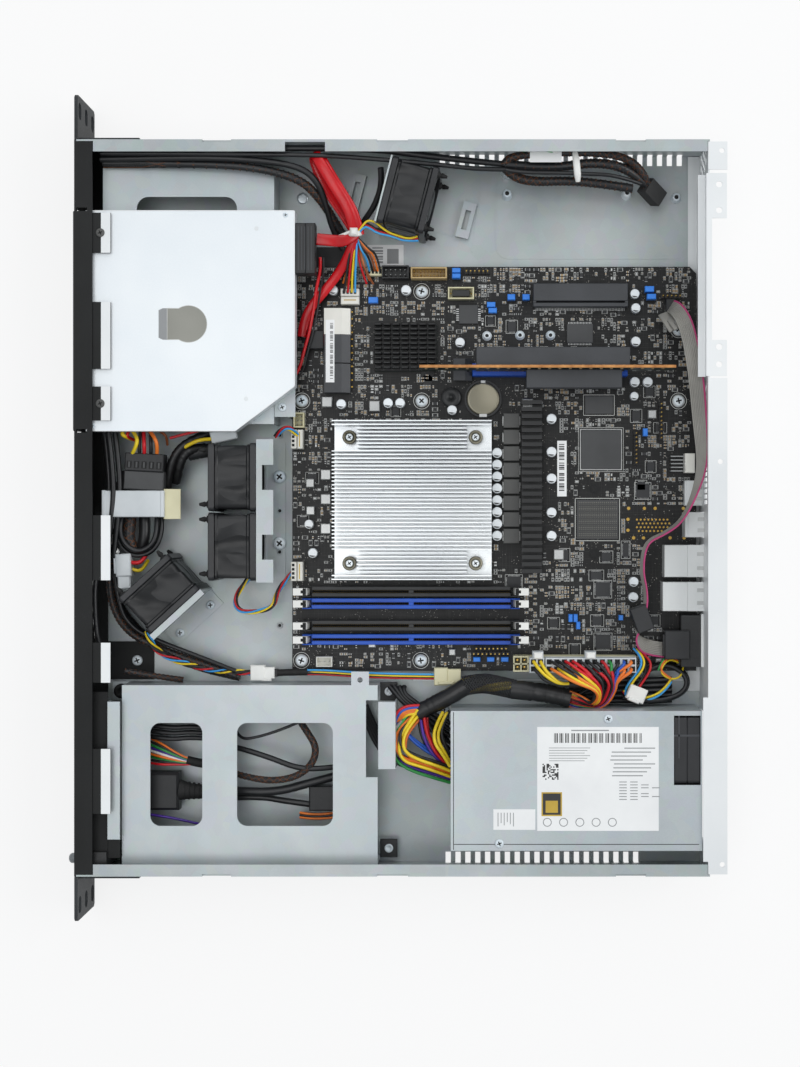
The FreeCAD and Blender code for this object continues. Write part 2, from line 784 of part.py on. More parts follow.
def fan_bracket_left():
    """The turned fan's bracket: an upright plate on a stamped base with two raised, slotted ears."""
    side = -(fan_deep / 2 + seat)
    h = fan_size / 2
    top = fan_z + h - 0.4
    plate = block(-h, h, side - sheet, side, floor_z, top)
    plate = plate.cut(rod(0, side - 2, fan_z, fan_bore - 0.6, 4, ALONG_Y, fan_sides))
    ears = []
    for a, b in ((-38.5, -30.5), (30.5, 38.5)):
        ear = block(-11, 11, a, b, floor_z, floor_z + 4.0)
        inner = block(-12, 12, a + 1, b - 1, floor_z - 1, floor_z + 3.0)
        slot = block(-6, 6, (a + b) / 2 - 1.6, (a + b) / 2 + 1.6, floor_z, floor_z + 6)
        ears.append(ear.cut([inner, slot]))
    strip = block(-11, 11, -38.0, 38.0, floor_z, floor_z + 0.25)
    whole = plate.fuse([strip] + ears)
    return turned(whole, fan_left_yaw, fan_left_x, fan_left_y)


def right_foot_points():
    """The two screw places on the turned foot of the front right fan, about the fan's centre."""
    y = fan_deep / 2 + seat + sheet + 7.0
    return [(-12.5, y), (12.5, y)]


def foot_screws_right_fan():
    yaw = math.radians(fan_right_yaw)
    places = []
    for a, b in right_foot_points():
        x = fan_right_x + a * math.cos(yaw) - b * math.sin(yaw)
        y = fan_right_y + a * math.sin(yaw) + b * math.cos(yaw)
        places.append((x, y))
    return places


def fan_bracket_right():
    """The front right fan's bracket: an upright plate and a foot along the floor."""
    side = fan_deep / 2 + seat
    h = fan_size / 2
    top = fan_z + h - 0.4
    plate = block(-h, h, side, side + sheet, floor_z, top)
    lip = block(-h, h, side + sheet, side + 3.6, top - sheet, top)
    foot = block(-h + 1, h - 1, side + sheet, side + 12.5, floor_z, floor_z + sheet)
    cuts = [rod(0, side - 1, fan_z, fan_bore - 0.6, sheet + 2, ALONG_Y, fan_sides)]
    for a, b in right_foot_points():
        cuts.append(rod(a, b, floor_z - 1, 1.6, 3, sides=6))
    whole = plate.fuse([lip, foot]).cut(cuts)
    return turned(whole, fan_right_yaw, fan_right_x, fan_right_y)


def psu_bracket():
    """The angle at the power supply's front that stops it sliding forward."""
    y1 = psu_y - seat
    foot = block(psu_x, psu_x + 35, y1 - 11, y1, floor_z, floor_z + sheet)
    stop = block(psu_x, psu_x + 35, y1 - sheet, y1, floor_z, floor_z + 12)
    hole = rod(psu_x + 4.5, psu_y - 5.5, floor_z - 1, 1.6, 3, sides=6)
    return foot.fuse(stop).cut(hole)


def inner_brackets():
    return [fan_bracket_pair(), fan_bracket_left(), fan_bracket_right(), odd_bracket(), psu_bracket()]


# ---- main board ----------------------------------------------------------------------

board_hole_places = (
    (81.0, 5.8),
    (81.0, 78.1),
    (15.0, 78.1),
    (81.0, 233.1),
    (38.0, 233.1),
    (237.6, 5.6),
    (237.6, 77.6),
)
card_post_places = ((12.0, 252.5), (12.0, 324.5))


def on_board(u, v):
    """The X and Y of a place u to the right of and v behind the board's front left corner."""
    return board_x + u, board_y + v


def board_box(u, v, wide, deep, low, high):
    """A block on the board by its low corner, its two sides, and its heights over the board."""
    x, y = on_board(u, v)
    return block(x, x + wide, y, y + deep, board_top + low, board_top + high)


def board_standoffs():
    """Hexagonal posts under the board, and the two tall ones of the expansion bay."""
    posts = []
    for u, v in board_hole_places:
        x, y = on_board(u, v)
        post = rod(x, y, floor_z, 3.2, board_lift, sides=6)
        posts.append(post.cut(rod(x, y, floor_z + 1.5, 1.6, board_lift, sides=6)))
    for x, y in card_posts():
        post = rod(x, y, floor_z, 3.6, 24.0, sides=6)
        posts.append(post.cut(rod(x, y, floor_z + 14, 1.6, 12, sides=6)))
    return posts


def card_posts():
    return [(-half + inset, back(depth)) for inset, depth in card_post_places]


def motherboard():
    x0, y0 = on_board(0, 0)
    board = block(x0, x0 + board_width, y0, y0 + board_depth, board_z, board_top)
    corner = [e for e in upright_edges(board) if e.BoundBox.YMin > y0 + 1 and e.BoundBox.XMax < x0 + 1]
    board = board.makeChamfer(4.0, corner)
    cuts = [rod(*on_board(u, v), board_z - 1, board_hole, 4, sides=8) for u, v in board_hole_places]
    cuts += [rod(*place, board_z - 1, 2.3, 4, sides=8) for place in heatsink_bolt_places()]
    return board.cut(cuts)


def heatsink_bolt_places():
    x, y = on_board(heatsink_u, heatsink_v)
    d = heatsink_bolts / 2
    return [(x + a, y + b) for a in (-d, d) for b in (-d, d)]


def board_screws():
    """The board's pan-head screws and the heatsink's sprung screws."""
    screws = []
    for u, v in board_hole_places:
        x, y = on_board(u, v)
        screws.append(screw(x, y, board_top, 3.3, 1.7, 1.35, 5.6))
    pad = board_top + socket_height + heatsink_base
    for x, y in heatsink_bolt_places():
        spring = rod(x, y, pad, 3.4, 6.0, sides=8)
        head = rod(x, y, pad + 6.0, 4.2, 2.4, sides=8)
        shank = rod(x, y, board_z - 2.0, 1.9, pad - board_z + 2.0, sides=6)
        screws.append(spring.fuse([head, shank]))
    return screws


def cpu_heatsink():
    """A machined heatsink: straight fins on a base, with four corner pockets down to the base."""
    x, y = on_board(heatsink_u, heatsink_v)
    h = heatsink_size / 2
    low = board_top + socket_height
    root = low + heatsink_base
    pitch = (heatsink_size - fin_thick) / (heatsink_fins - 1)
    outline = comb(x - h, pitch, heatsink_fins, fin_thick, low, root, low + heatsink_height)
    sink = wall_slab(outline, y - h, y + h)
    keep = 1.5 * pitch
    cuts = []
    for sx in (-1, 1):
        for sy in (-1, 1):
            a, b = sorted((x + sx * (h - keep), x + sx * (h - keep - corner_pad)))
            c, d = sorted((y + sy * (h + 1), y + sy * (h - corner_pad)))
            cuts.append(block(a, b, c, d, root, low + heatsink_height + 1))
    for px, py in heatsink_bolt_places():
        cuts.append(rod(px, py, low - 1, 2.3, heatsink_base + 2, sides=8))
    return sink.cut(cuts)


def cpu_socket():
    """The processor in its socket, under the heatsink."""
    x, y = on_board(heatsink_u, heatsink_v)
    socket = block(x - 24, x + 24, y - 26, y + 26, board_top, board_top + 2.8)
    lid = block(x - 15, x + 15, y - 15, y + 15, board_top + 2.8, board_top + socket_height)
    return socket.fuse(lid)


def vrm_heatsink():
    """The finned bar over the power stages."""
    x, y = on_board(81.4, 138.2)
    outline = comb(x, 4.2, 25, 2.4, board_top + 1.5, board_top + 5, board_top + 13)
    return wall_slab(outline, y, y + 12.2)


def chipset_heatsink():
    """A pin-fin heatsink, cross-cut from a block."""
    x, y = on_board(35.0, 49.9)
    outline = comb(x, 6.45, 5, 2.4, board_top + 1.2, board_top + 4, board_top + 12)
    sink = wall_slab(outline, y, y + 37.4)
    cuts = []
    for k in range(5):
        a = y + 3.4 + k * 6.6
        cuts.append(block(x - 1, x + 30, a, a + 4.2, board_top + 4, board_top + 13))
    return sink.cut(cuts)


def board_chips():
    """The larger chips on the board."""
    chips = [cpu_socket()]
    for u, v, wide, deep, tall in (
        (98.5, 174.2, 23.6, 24.1, 1.8),
        (140.8, 171.8, 23.5, 24.7, 1.6),
        (78.1, 176.6, 10.8, 16.9, 1.4),
        (34.6, 165.7, 11.5, 15.7, 1.4),
        (23.2, 100.6, 11.4, 11.5, 1.8),
        (35.0, 49.9, 28.2, 37.4, 1.2),
    ):
        chips.append(board_box(u, v, wide, deep, 0, tall))
    power_stages = board_box(86.0, 139.4, 92.0, 9.6, 0, 1.5)
    return chips + [power_stages]


def power_parts():
    """The chokes and the can capacitors beside the processor and the power stages."""
    parts = []
    for k in range(8):
        parts.append(board_box(88.8 + 9.9 * k, 127.4, 8.8, 9.6, 0, 7.0))
    cans = [(112.6 + 7.1 * k, 123.6) for k in range(8)]
    cans += [(u, 156.2) for u in (92.2, 112.0, 128.0, 148.4, 162.4)]
    for u, v in cans:
        x, y = on_board(u, v)
        parts.append(rod(x, y, board_top, 3.1, 7.4, sides=8))
    return parts


def dimm_slots():
    """Four memory sockets, each with a keyed groove and a tower at each end for its latch."""
    slots = []
    for u in slot_centres:
        body = board_box(u - slot_width / 2, slot_front, slot_width, slot_length, 0, slot_height)
        cuts = [
            board_box(u - 0.75, slot_front - 1, 1.5, 63.6, 3, slot_height + 1),
            board_box(u - 0.75, slot_front + 66.4, 1.5, 70, 3, slot_height + 1),
        ]
        towers = []
        for v in (slot_front, slot_front + slot_length - 6.0):
            towers.append(board_box(u - slot_width / 2, v, slot_width, 6.0, slot_height, slot_height + 2.5))
        body = body.fuse(towers).cut(cuts)
        slots.append(body.cut(latch_pockets(u)).fuse(latch_pins(u)))
    return slots


def latch_pins(u):
    """The cross pin that each latch swings on."""
    pins = []
    for v in (slot_front + latch_pivot_in, slot_front + slot_length - latch_pivot_in):
        x, y = on_board(u, v)
        z = board_top + latch_pivot_up
        ring = [
            (y + latch_pin * math.cos(k * math.pi / 3), z + latch_pin * math.sin(k * math.pi / 3))
            for k in range(6)
        ]
        reach = latch_wide / 2 + seat + 0.2
        pins.append(side_slab(ring, x - reach, x + reach))
    return pins


latch_pivot_in = 2.2
latch_pivot_up = 3.0
latch_wide = 4.2
latch_pin = 0.75
latch_bore = latch_pin + run_fit


def latch_pockets(u):
    """The gap that each latch stands and swings in."""
    cuts = []
    for v0, v1 in (
        (slot_front - 1, slot_front + 5.2),
        (slot_front + slot_length - 5.2, slot_front + slot_length + 1),
    ):
        cuts.append(board_box(u - latch_wide / 2 - 0.3, v0, latch_wide + 0.6, v1 - v0, 0.8, 14))
    return cuts


def dimm_latch(k):
    """One memory latch: an upright ejector lever with a thumb rest that leans outwards."""
    u = slot_centres[k // 2]
    rear = k % 2
    x, _ = on_board(u, 0)
    v = slot_front + (slot_length - latch_pivot_in if rear else latch_pivot_in)
    _, y = on_board(0, v)
    out = 1 if rear else -1
    z = board_top
    outline = [
        (y - out * 1.6, z + 1.3),
        (y + out * 0.6, z + 1.3),
        (y + out * 1.9, z + 2.4),
        (y + out * 1.9, z + 8.5),
        (y + out * 7.4, z + 13.0),
        (y + out * 7.4, z + latch_height),
        (y + out * 1.4, z + latch_height),
        (y - out * 0.6, z + latch_height - 2.5),
        (y - out * 0.6, z + 8.0),
        (y - out * 1.6, z + 5.0),
    ]
    lever = side_slab(outline, x - latch_wide / 2, x + latch_wide / 2)
    place = V(x - latch_wide, y, z + latch_pivot_up)
    return lever.cut(Part.makeCylinder(latch_bore, 2 * latch_wide, place, ALONG_X))


def slot_body(u, v, deep, tall, wide=7.4):
    """A card socket along the board with its groove."""
    body = board_box(u - wide / 2, v, wide, deep, 0, tall)
    return body.cut(board_box(u - 1.0, v + 2, 2.0, deep - 4, 2.5, tall + 1))


riser_v = 78.0
riser_long = 150.3
riser_low = board_top + 13.0
riser_top = height - riser_top_gap
riser_slot_v = 111.2
riser_slot_long = 90.8


def expansion_slots():
    """The board's card socket, the low mezzanine socket, and the two sockets on the riser."""
    main = slot_body(riser_u, 108.8, 92.7, 11.2).fuse(card_latch_mount())
    low = slot_body(18.0, 145.2, 56.8, 7.5, 14.0)
    x, y = on_board(riser_u, riser_slot_v)
    near = block(x - 12.1, x - 1.1, y, y + riser_slot_long, riser_top - 15.5, riser_top - 7.0)
    near = near.cut(block(x - 13, x - 4, y + 2, y + riser_slot_long - 2, riser_top - 12.2, riser_top - 10.2))
    far_y = y + 29.5
    far = block(x + 1.1, x + 12.1, far_y, far_y + 56.5, riser_top - 15.5, riser_top - 7.0)
    far = far.cut(block(x + 4, x + 13, far_y + 2, far_y + 54.5, riser_top - 12.2, riser_top - 10.2))
    return [main, low, near, far]


def riser_card():
    """The riser: a card on edge whose tongue stands in the board's socket."""
    x, y = on_board(riser_u, riser_v)
    tongue0 = y + 33.0
    tongue1 = y + 121.0
    outline = [
        (y, riser_low),
        (tongue0, riser_low),
        (tongue0, board_top + 2.8),
        (tongue1, board_top + 2.8),
        (tongue1, riser_low),
        (y + riser_long, riser_low),
        (y + riser_long, riser_top),
        (y, riser_top),
    ]
    return side_slab(outline, x - 0.8, x + 0.8)


card_latch_wide = 13.0
card_latch_stem = 8.6
card_latch_shoulder = 6.5
card_latch_cheek = 1.5
card_latch_in = 3.0
card_latch_up = 2.0


def card_latch_mount():
    """The cheeks and the cross pin at the socket's front end that hold its latch."""
    x, y = on_board(riser_u, 108.8)
    z = board_top
    gap = card_latch_stem / 2 + seat
    wall = gap + card_latch_cheek
    pin_y = y - seat - card_latch_in
    pieces = [block(x - wall, x + wall, y, y + 2.0, z, z + 4.0)]
    for a, b in ((-wall, -gap), (gap, wall)):
        pieces.append(block(x + a, x + b, pin_y - 1.6, y + 2.0, z, z + 4.0))
    ring = [
        (pin_y + latch_pin * math.cos(k * math.pi / 3), z + card_latch_up + latch_pin * math.sin(k * math.pi / 3))
        for k in range(6)
    ]
    return pieces + [side_slab(ring, x - gap - 0.2, x + gap + 0.2)]


def slot_latch():
    """The clip at the front end of the board's card socket, which swings away from the card."""
    x, y = on_board(riser_u, 108.8 - seat)
    z = board_top
    outline = [
        (y - 3.6, z + 0.3),
        (y - 1.2, z + 0.3),
        (y, z + 1.6),
        (y, z + 8.0),
        (y - 4.0, z + 11.5),
        (y - 11.0, z + 11.5),
        (y - 11.0, z + 9.5),
        (y - 6.5, z + 7.5),
        (y - 6.5, z + 2.5),
    ]
    stem = side_slab(outline, x - card_latch_stem / 2, x + card_latch_stem / 2)
    half_wide = card_latch_wide / 2
    below = block(x - half_wide - 1, x + half_wide + 1, y - 12, y + 1, z, z + card_latch_shoulder)
    clip = stem.fuse(side_slab(outline, x - half_wide, x + half_wide).cut(below)).removeSplitter()
    notch = block(x - 1.3, x + 1.3, y - 3, y + 1, z + 6, z + 13)
    place = V(x - card_latch_wide, y - card_latch_in, z + card_latch_up)
    return clip.cut([notch, Part.makeCylinder(latch_bore, 2 * card_latch_wide, place, ALONG_X)])


def header(u, v, wide, deep, tall, wall=1.0):
    """A pin header: a shroud round its field of pins."""
    body = board_box(u, v, wide, deep, 0, tall)
    body = body.cut(board_box(u + wall, v + wall, wide - 2 * wall, deep - 2 * wall, 1.5, tall + 1))
    inset = wall + 1.1
    return body.fuse(board_box(u + inset, v + inset, wide - 2 * inset, deep - 2 * inset, 1.0, tall - 1.5))


def board_connectors():
    """The drive ports, the power sockets, and the pin headers."""
    pieces = []
    for u in (26.0, 39.0, 52.0, 65.0):
        body = board_box(u, 20.0, 11.5, 15.5, 0, 8.6)
        body = body.cut(board_box(u + 1.4, 19.0, 8.7, 10.0, 2.2, 7.2))
        pieces.append(body.fuse(board_box(u + 2.4, 20.5, 6.7, 9.0, 4.2, 5.4)))
    for u, v, wide, deep, tall in (
        (0.4, 54.5, 7.8, 16.2, 8.5),
        (1.4, 71.9, 6.8, 21.6, 8.5),
        (14.2, 29.3, 9.0, 11.4, 7.5),
        (98.8, 0.3, 11.4, 5.6, 10.0),
        (178.0, 0.3, 11.5, 5.6, 10.0),
        (113.0, 236.0, 11.6, 6.0, 9.0),
        (13.0, 94.1, 7.2, 15.6, 6.0),
        (235.0, 14.9, 6.0, 9.6, 6.0),
    ):
        pieces.append(header(u, v, wide, deep, tall))
    power = board_box(234.0, 151.0, 9.4, 55.6, 0, 12.6)
    extra = board_box(234.0, 132.8, 9.4, 17.4, 0, 12.6)
    extra = extra.cut([board_box(235.0, 134.0 + 4.2 * k, 7.4, 3.2, 3, 14) for k in range(4)])
    return pieces + [power, extra]


def cmos_battery():
    """The coin cell in its ring, and the round sounder beside it."""
    x, y = on_board(79.9, 115.2)
    ring = rod(x, y, board_top, 11.2, 3.2, sides=20).cut(rod(x, y, board_top + 0.8, 10.15, 4, sides=20))
    cell = rod(x, y, board_top + 0.8, 10.0, 3.2, sides=20)
    sx, sy = on_board(79.1, 96.0)
    return [ring, cell, rod(sx, sy, board_top, 6.0, 6.0, sides=12)]


def rear_ports():
    """The board's ports: metal shells that stand through the rear wall, each with its socket open to the rear."""
    pieces = []
    y1 = rear_out_y + port_poke
    for u, wide, tall, deep in rear_port_list:
        x = board_x + u
        z = board_top
        body = block(x, x + wide, y1 - deep, y1, z, z + tall)
        if wide > 25:
            hollow = block(x + 6.5, x + wide - 6.5, y1 - 6, y1 + 1, z + 2.2, z + tall - 2.2)
        else:
            hollow = block(x + 1.6, x + wide - 1.6, y1 - min(deep - 2, 12), y1 + 1, z + 1.6, z + tall - 1.2)
        pieces.append(body.cut(hollow))
    return pieces


# ---- power supply --------------------------------------------------------------------

psu_fan_x = psu_x + 3.0 + fan_size / 2
psu_fan_y = psu_y + psu_depth - psu_skin - seat - psu_fan_deep / 2
inlet_x = psu_x + psu_width - 20.5


def psu_case():
    """The power supply's folded box: hollow, open over its fan, vented at the front."""
    x0 = psu_x
    x1 = psu_x + psu_width
    y0 = psu_y
    y1 = psu_y + psu_depth
    top = psu_z + psu_height
    case = block(x0, x1, y0, y1, psu_z, top)
    inner = block(x0 + psu_skin, x1 - psu_skin, y0 + psu_skin, y1 - psu_skin, psu_z + psu_skin, top - psu_skin)
    reach = fan_size / 2 + seat
    span = psu_fan_deep / 2 + seat
    lid_gap = block(
        psu_fan_x - reach, psu_fan_x + reach, psu_fan_y - span, psu_fan_y + span, psu_z - 1, top + 1
    )
    cuts = [inner, lid_gap]
    cuts.append(rod(psu_fan_x, y1 - 3, fan_z, fan_bore - 0.8, 6, ALONG_Y, fan_sides))
    cuts.append(block(inlet_x - 13.9, inlet_x + 13.9, y1 - 3, y1 + 1, psu_z + 9, psu_z + 30))
    cuts.append(block(x0 + 11, x0 + 43, y0 - 1, y0 + 3, psu_z + 8, psu_z + 26))
    for k in range(7):
        x = x0 + 48 + 4.4 * k
        cuts.append(block(x, x + 2.2, y0 - 1, y0 + 3, psu_z + 8, psu_z + 32))
    case = case.cut(cuts)
    guard = [
        rod(psu_fan_x, y1 - psu_skin, fan_z, fan_hub, psu_skin, ALONG_Y, 12),
        block(psu_fan_x - fan_bore, psu_fan_x + fan_bore, y1 - psu_skin, y1, fan_z - 0.8, fan_z + 0.8),
        block(psu_fan_x - 0.8, psu_fan_x + 0.8, y1 - psu_skin, y1, fan_z - fan_bore, fan_z + fan_bore),
    ]
    return case.fuse(guard)


def psu_fan_frame():
    body = fan_body(psu_fan_deep, psu_fan_deep / 2)
    body.rotate(V(0, 0, 0), UP, 180)
    return turned(body, 0, psu_fan_x, psu_fan_y)


def psu_fan_rotor():
    wheel = fan_wheel(psu_fan_deep)
    wheel.rotate(V(0, 0, 0), UP, 180)
    return turned(wheel, 0, psu_fan_x, psu_fan_y)


def psu_inlet():
    """The three-pin mains inlet, its socket open to the rear."""
    y1 = psu_y + psu_depth
    z0 = psu_z + 9.3
    z1 = psu_z + 29.7
    x0 = inlet_x - 13.6
    x1 = inlet_x + 13.6
    body = block(x0, x1, y1 - 18, y1 + 1.0, z0, z1)
    cavity = wall_slab(
        [
            (x0 + 1.6, z0 + 1.6),
            (x1 - 1.6, z0 + 1.6),
            (x1 - 1.6, z1 - 6.2),
            (x1 - 6.2, z1 - 1.6),
            (x0 + 6.2, z1 - 1.6),
            (x0 + 1.6, z1 - 6.2),
        ],
        y1 - 15,
        y1 + 2,
    )
    body = body.cut(cavity)
    pins = []
    for dx, dz in ((-7.0, -1.5), (0.0, 2.5), (7.0, -1.5)):
        zc = (z0 + z1) / 2 + dz
        pins.append(block(inlet_x + dx - 1.0, inlet_x + dx + 1.0, y1 - 15.5, y1 - 6, zc - 2.0, zc + 2.0))
    return body.fuse(pins)


# ---- front controls ------------------------------------------------------------------


def front_io_board():
    """The small board behind the right end of the front: two ports and the switches behind the buttons."""
    x0 = half - usb_insets[0] - 10
    x1 = inside - 2.5
    y0 = front_y + panel_thick + seat
    z = io_board_rise
    card = block(x0, x1, y0, y0 + 18, z, z + 1.6)
    card = card.fuse(block(x0 + 3, x0 + 9, y0 + 9, y0 + 15, floor_z + panel_thick, z))
    card = card.fuse(block(x1 - 22, x1 - 16, y0 + 9, y0 + 15, floor_z + panel_thick, z))
    for inset in usb_insets:
        x = half - inset
        port = block(x - 7.1, x + 7.1, y0, y0 + 15, z + 1.6, z + 8.8)
        card = card.fuse(port.cut(block(x - 6.3, x + 6.3, y0 - 1, y0 + 11, z + 2.4, z + 8.0)))
    switch_y = y0 + button_stem + button_travel + seat
    post = block(half - power_inset - 4, x1, switch_y, y0 + 16, z + 0.5, power_rise + 4)
    return card.fuse(post)


def button(x, z, radius, proud, dome):
    """A push button: a cap through the panel, its edge eased by dome, and a collar behind the panel."""
    y = front_y - proud
    y_in = front_y + panel_thick + seat
    stem = rod(x, y + dome, z, radius, y_in - y - dome + button_stem, ALONG_Y, 12)
    collar = rod(x, y_in, z, radius + 1.0, 1.4, ALONG_Y, 12)
    if not dome:
        return stem.fuse(collar)
    rings = []
    for share, ahead in ((1.0, 0.0), (0.82, 0.62), (0.45, 1.0)):
        cap = rod(x, y + dome * (1 - ahead), z, radius * share, 1, ALONG_Y, 12)
        face = min(cap.Faces, key=lambda f: f.CenterOfMass.y)
        rings.append(face.OuterWire)
    return stem.fuse([collar, Part.makeLoft(rings, True, True)])


def power_button():
    return button(half - power_inset, power_rise, power_radius, button_proud, 1.6)


def reset_button():
    return button(half - reset_inset, reset_rise, reset_radius, reset_proud, 0)


# ---- wiring --------------------------------------------------------------------------


def cable(points, wide, tall, name, sides=6):
    """A cable of this section along straight runs joined by arcs as large as the runs allow."""
    line = [V(*p) for p in points]
    edges = []
    start = line[0]
    radii = []
    for before, corner, after in zip(line, line[1:], line[2:]):
        a = (corner - before).normalize()
        b = (after - corner).normalize()
        turn = a.getAngle(b)
        reach = 0.45 * min(before.distanceToPoint(corner), after.distanceToPoint(corner))
        arc_radius = reach / math.tan(turn / 2)
        radii.append(arc_radius)
        first = corner - a * reach
        last = corner + b * reach
        inward = (b - a).normalize()
        middle = corner + inward * (arc_radius / math.cos(turn / 2) - arc_radius)
        edges.append(Part.LineSegment(start, first).toShape())
        edges.append(Part.Arc(first, middle, last).toShape())
        start = last
    edges.append(Part.LineSegment(start, line[-1]).toShape())
    path = Part.Wire(edges)
    along = (line[1] - line[0]).normalize()
    level = ALONG_X if abs(along.z) > 0.9 else UP
    across = along.cross(level).normalize()
    lift = across.cross(along).normalize()
    ring = []
    for k in range(sides + 1):
        turn = 2 * math.pi * (k + 0.5) / sides
        side = across * (wide / 2 * math.cos(turn))
        ring.append(line[0] + side + lift * (tall / 2 * math.sin(turn)))
    section = Part.makePolygon(ring)
    tube = path.makePipeShell([section], True, False)
    share = tube.Volume / (Part.Face(section).Area * path.Length)
    print(
        f"{name}: {path.Length:.0f} mm long, arcs {min(radii):.1f} to {max(radii):.1f} mm, "
        f"volume {share:.3f} of section times length"
    )
    return tube


def place(points):
    """Route points given as X, distance behind the front face, and Z."""
    return [(x, back(depth), z) for x, depth, z in points]


harness_route = [
    (147.0, 223.0, 20.5),
    (146.0, 208.0, 21.0),
    (134.0, 199.5, 21.5),
    (118.0, 200.5, 21.5),
    (109.0, 213.0, 21.0),
    (108.0, 236.0, 22.0),
    (109.0, 262.0, 24.0),
    (102.7, 300.0, 25.0),
]
sata_route = [
    (-160.0, 140.1, 33.5),
    (-160.5, 152.0, 34.5),
    (-153.0, 161.5, 31.0),
    (-142.5, 158.0, 25.0),
    (-135.0, 147.0, 19.0),
    (-124.5, 138.0, 14.5),
    (-107.0, 137.0, 13.0),
]
ribbon_route = [
    (-121.0, 351.0, 14.8),
    (-120.0, 353.0, 23.5),
    (-108.0, 359.0, 31.0),
    (-82.0, 363.5, 34.5),
    (-52.0, 364.5, 35.5),
    (-20.0, 362.5, 35.0),
    (8.0, 355.0, 33.0),
    (26.0, 340.0, 31.0),
    (47.0, 333.0, 28.0),
    (64.5, 334.5, 21.5),
    (67.0, 335.5, 14.8),
]
left_lead_route = [
    (-211.4, 11.0, 27.0),
    (-211.2, 62.0, 34.0),
    (-211.4, 120.0, 36.5),
    (-211.0, 176.0, 36.5),
    (-206.0, 214.0, 34.5),
    (-203.0, 252.0, 31.0),
]
spare_route = [
    (-203.0, 252.0, 31.0),
    (-200.9, 278.6, 28.55),
    (-204.5, 304.0, 31.5),
    (-201.0, 325.0, 30.0),
    (-193.0, 335.0, 21.0),
]
drive_lead_route = [
    (-12.0, 30.0, 8.0),
    (9.0, 20.0, 8.0),
    (35.0, 13.0, 8.5),
    (62.0, 18.5, 9.0),
    (84.0, 42.0, 9.0),
    (96.0, 66.0, 10.0),
    (101.2, 92.0, 11.0),
]
fan_lead_route = [
    (72.8, 40.2, 30.0),
    (81.0, 40.5, 25.0),
    (89.5, 50.0, 17.0),
    (95.0, 66.0, 14.6),
    (98.0, 84.0, 14.0),
    (98.5, 99.0, 14.0),
]
fan_onward_route = [
    (98.5, 115.0, 14.0),
    (98.0, 140.0, 14.5),
    (100.5, 172.0, 15.0),
    (101.0, 209.0, 14.0),
]


def wiring_harness():
    """The taped power harness, from inside the supply to the main plug on the board."""
    tube = cable(place(harness_route), 10.0, 10.0, "wiring_harness")
    plug = board_box(234.3, 152.0, 8.8, 53.6, 12.6, 24.0)
    return [tube, plug]


def sata_cables():
    """The flat drive cable, from the optical drive's adapter to its plug at the board."""
    tube = cable(place(sata_route), 5.0, 2.4, "sata_cables", 4)
    plug = board_box(39.2, 9.4, 11.1, 10.3, 1.6, 7.2)
    return [tube, plug]


def io_ribbon():
    """The flat ribbon along the rear wall, with a small plug on the board at each end."""
    tube = cable(place(ribbon_route), 4.4, 2.0, "io_ribbon", 4)
    plugs = []
    for x, depth, z in (ribbon_route[0], ribbon_route[-1]):
        y = back(depth)
        plugs.append(block(x - 6, x + 6, y - 3, y + 3, board_top, z - 2 * seat))
    return [tube] + plugs


def left_leads():
    return cable(place(left_lead_route), 3.8, 3.8, "left_leads")


def front_leads():
    """The drives' power lead with its spare plug, and the front right fan's lead with its in-line plugs."""
    drive = cable(place(drive_lead_route), 5.0, 5.0, "front_leads, drive")
    x, depth, z = drive_lead_route[0]
    plug = block(-13, 13, -12.05, -0.05, z - 4, z + 4)
    plug = plug.cut(block(-10.5, 10.5, -13, -9, z - 1.8, z + 1.8))
    plug = turned(plug, 244.5, x, back(depth))
    first = cable(place(fan_lead_route), 3.0, 3.0, "front_leads, fan")
    onward = cable(place(fan_onward_route), 3.0, 3.0, "front_leads, onward")
    x, depth, z = fan_lead_route[-1]
    middle = block(x - 4.6, x + 4.6, back(depth + 0.05), back(114.95), z - 3.2, z + 3.2)
    x, depth, z = fan_onward_route[-1]
    end = block(x - 5.5, x + 5.0, back(depth + 0.05), back(depth + 16), z - 3.2, z + 3.2)
    return [drive, plug, first, onward, middle, end]


def spare_power_cable():
    return cable(place(spare_route), 6.0, 6.0, "spare_power_cable")


def spare_power_plug():
    """The spare cable's free connector."""
    tip = V(*place(spare_route)[-1])
    before = V(*place(spare_route)[-2])
    a = (tip - before).normalize()
    body = block(-5, 5, 0, 14, -4, 4)
    body = body.cut([block(-4.2 + 4.4 * k, -0.6 + 4.4 * k, 6, 15, -1.8, 1.8) for k in range(2)])
    body.Placement = FreeCAD.Placement(tip + a * 0.05, FreeCAD.Rotation(ALONG_Y, a))
    return body


# ---- the part ------------------------------------------------------------------------

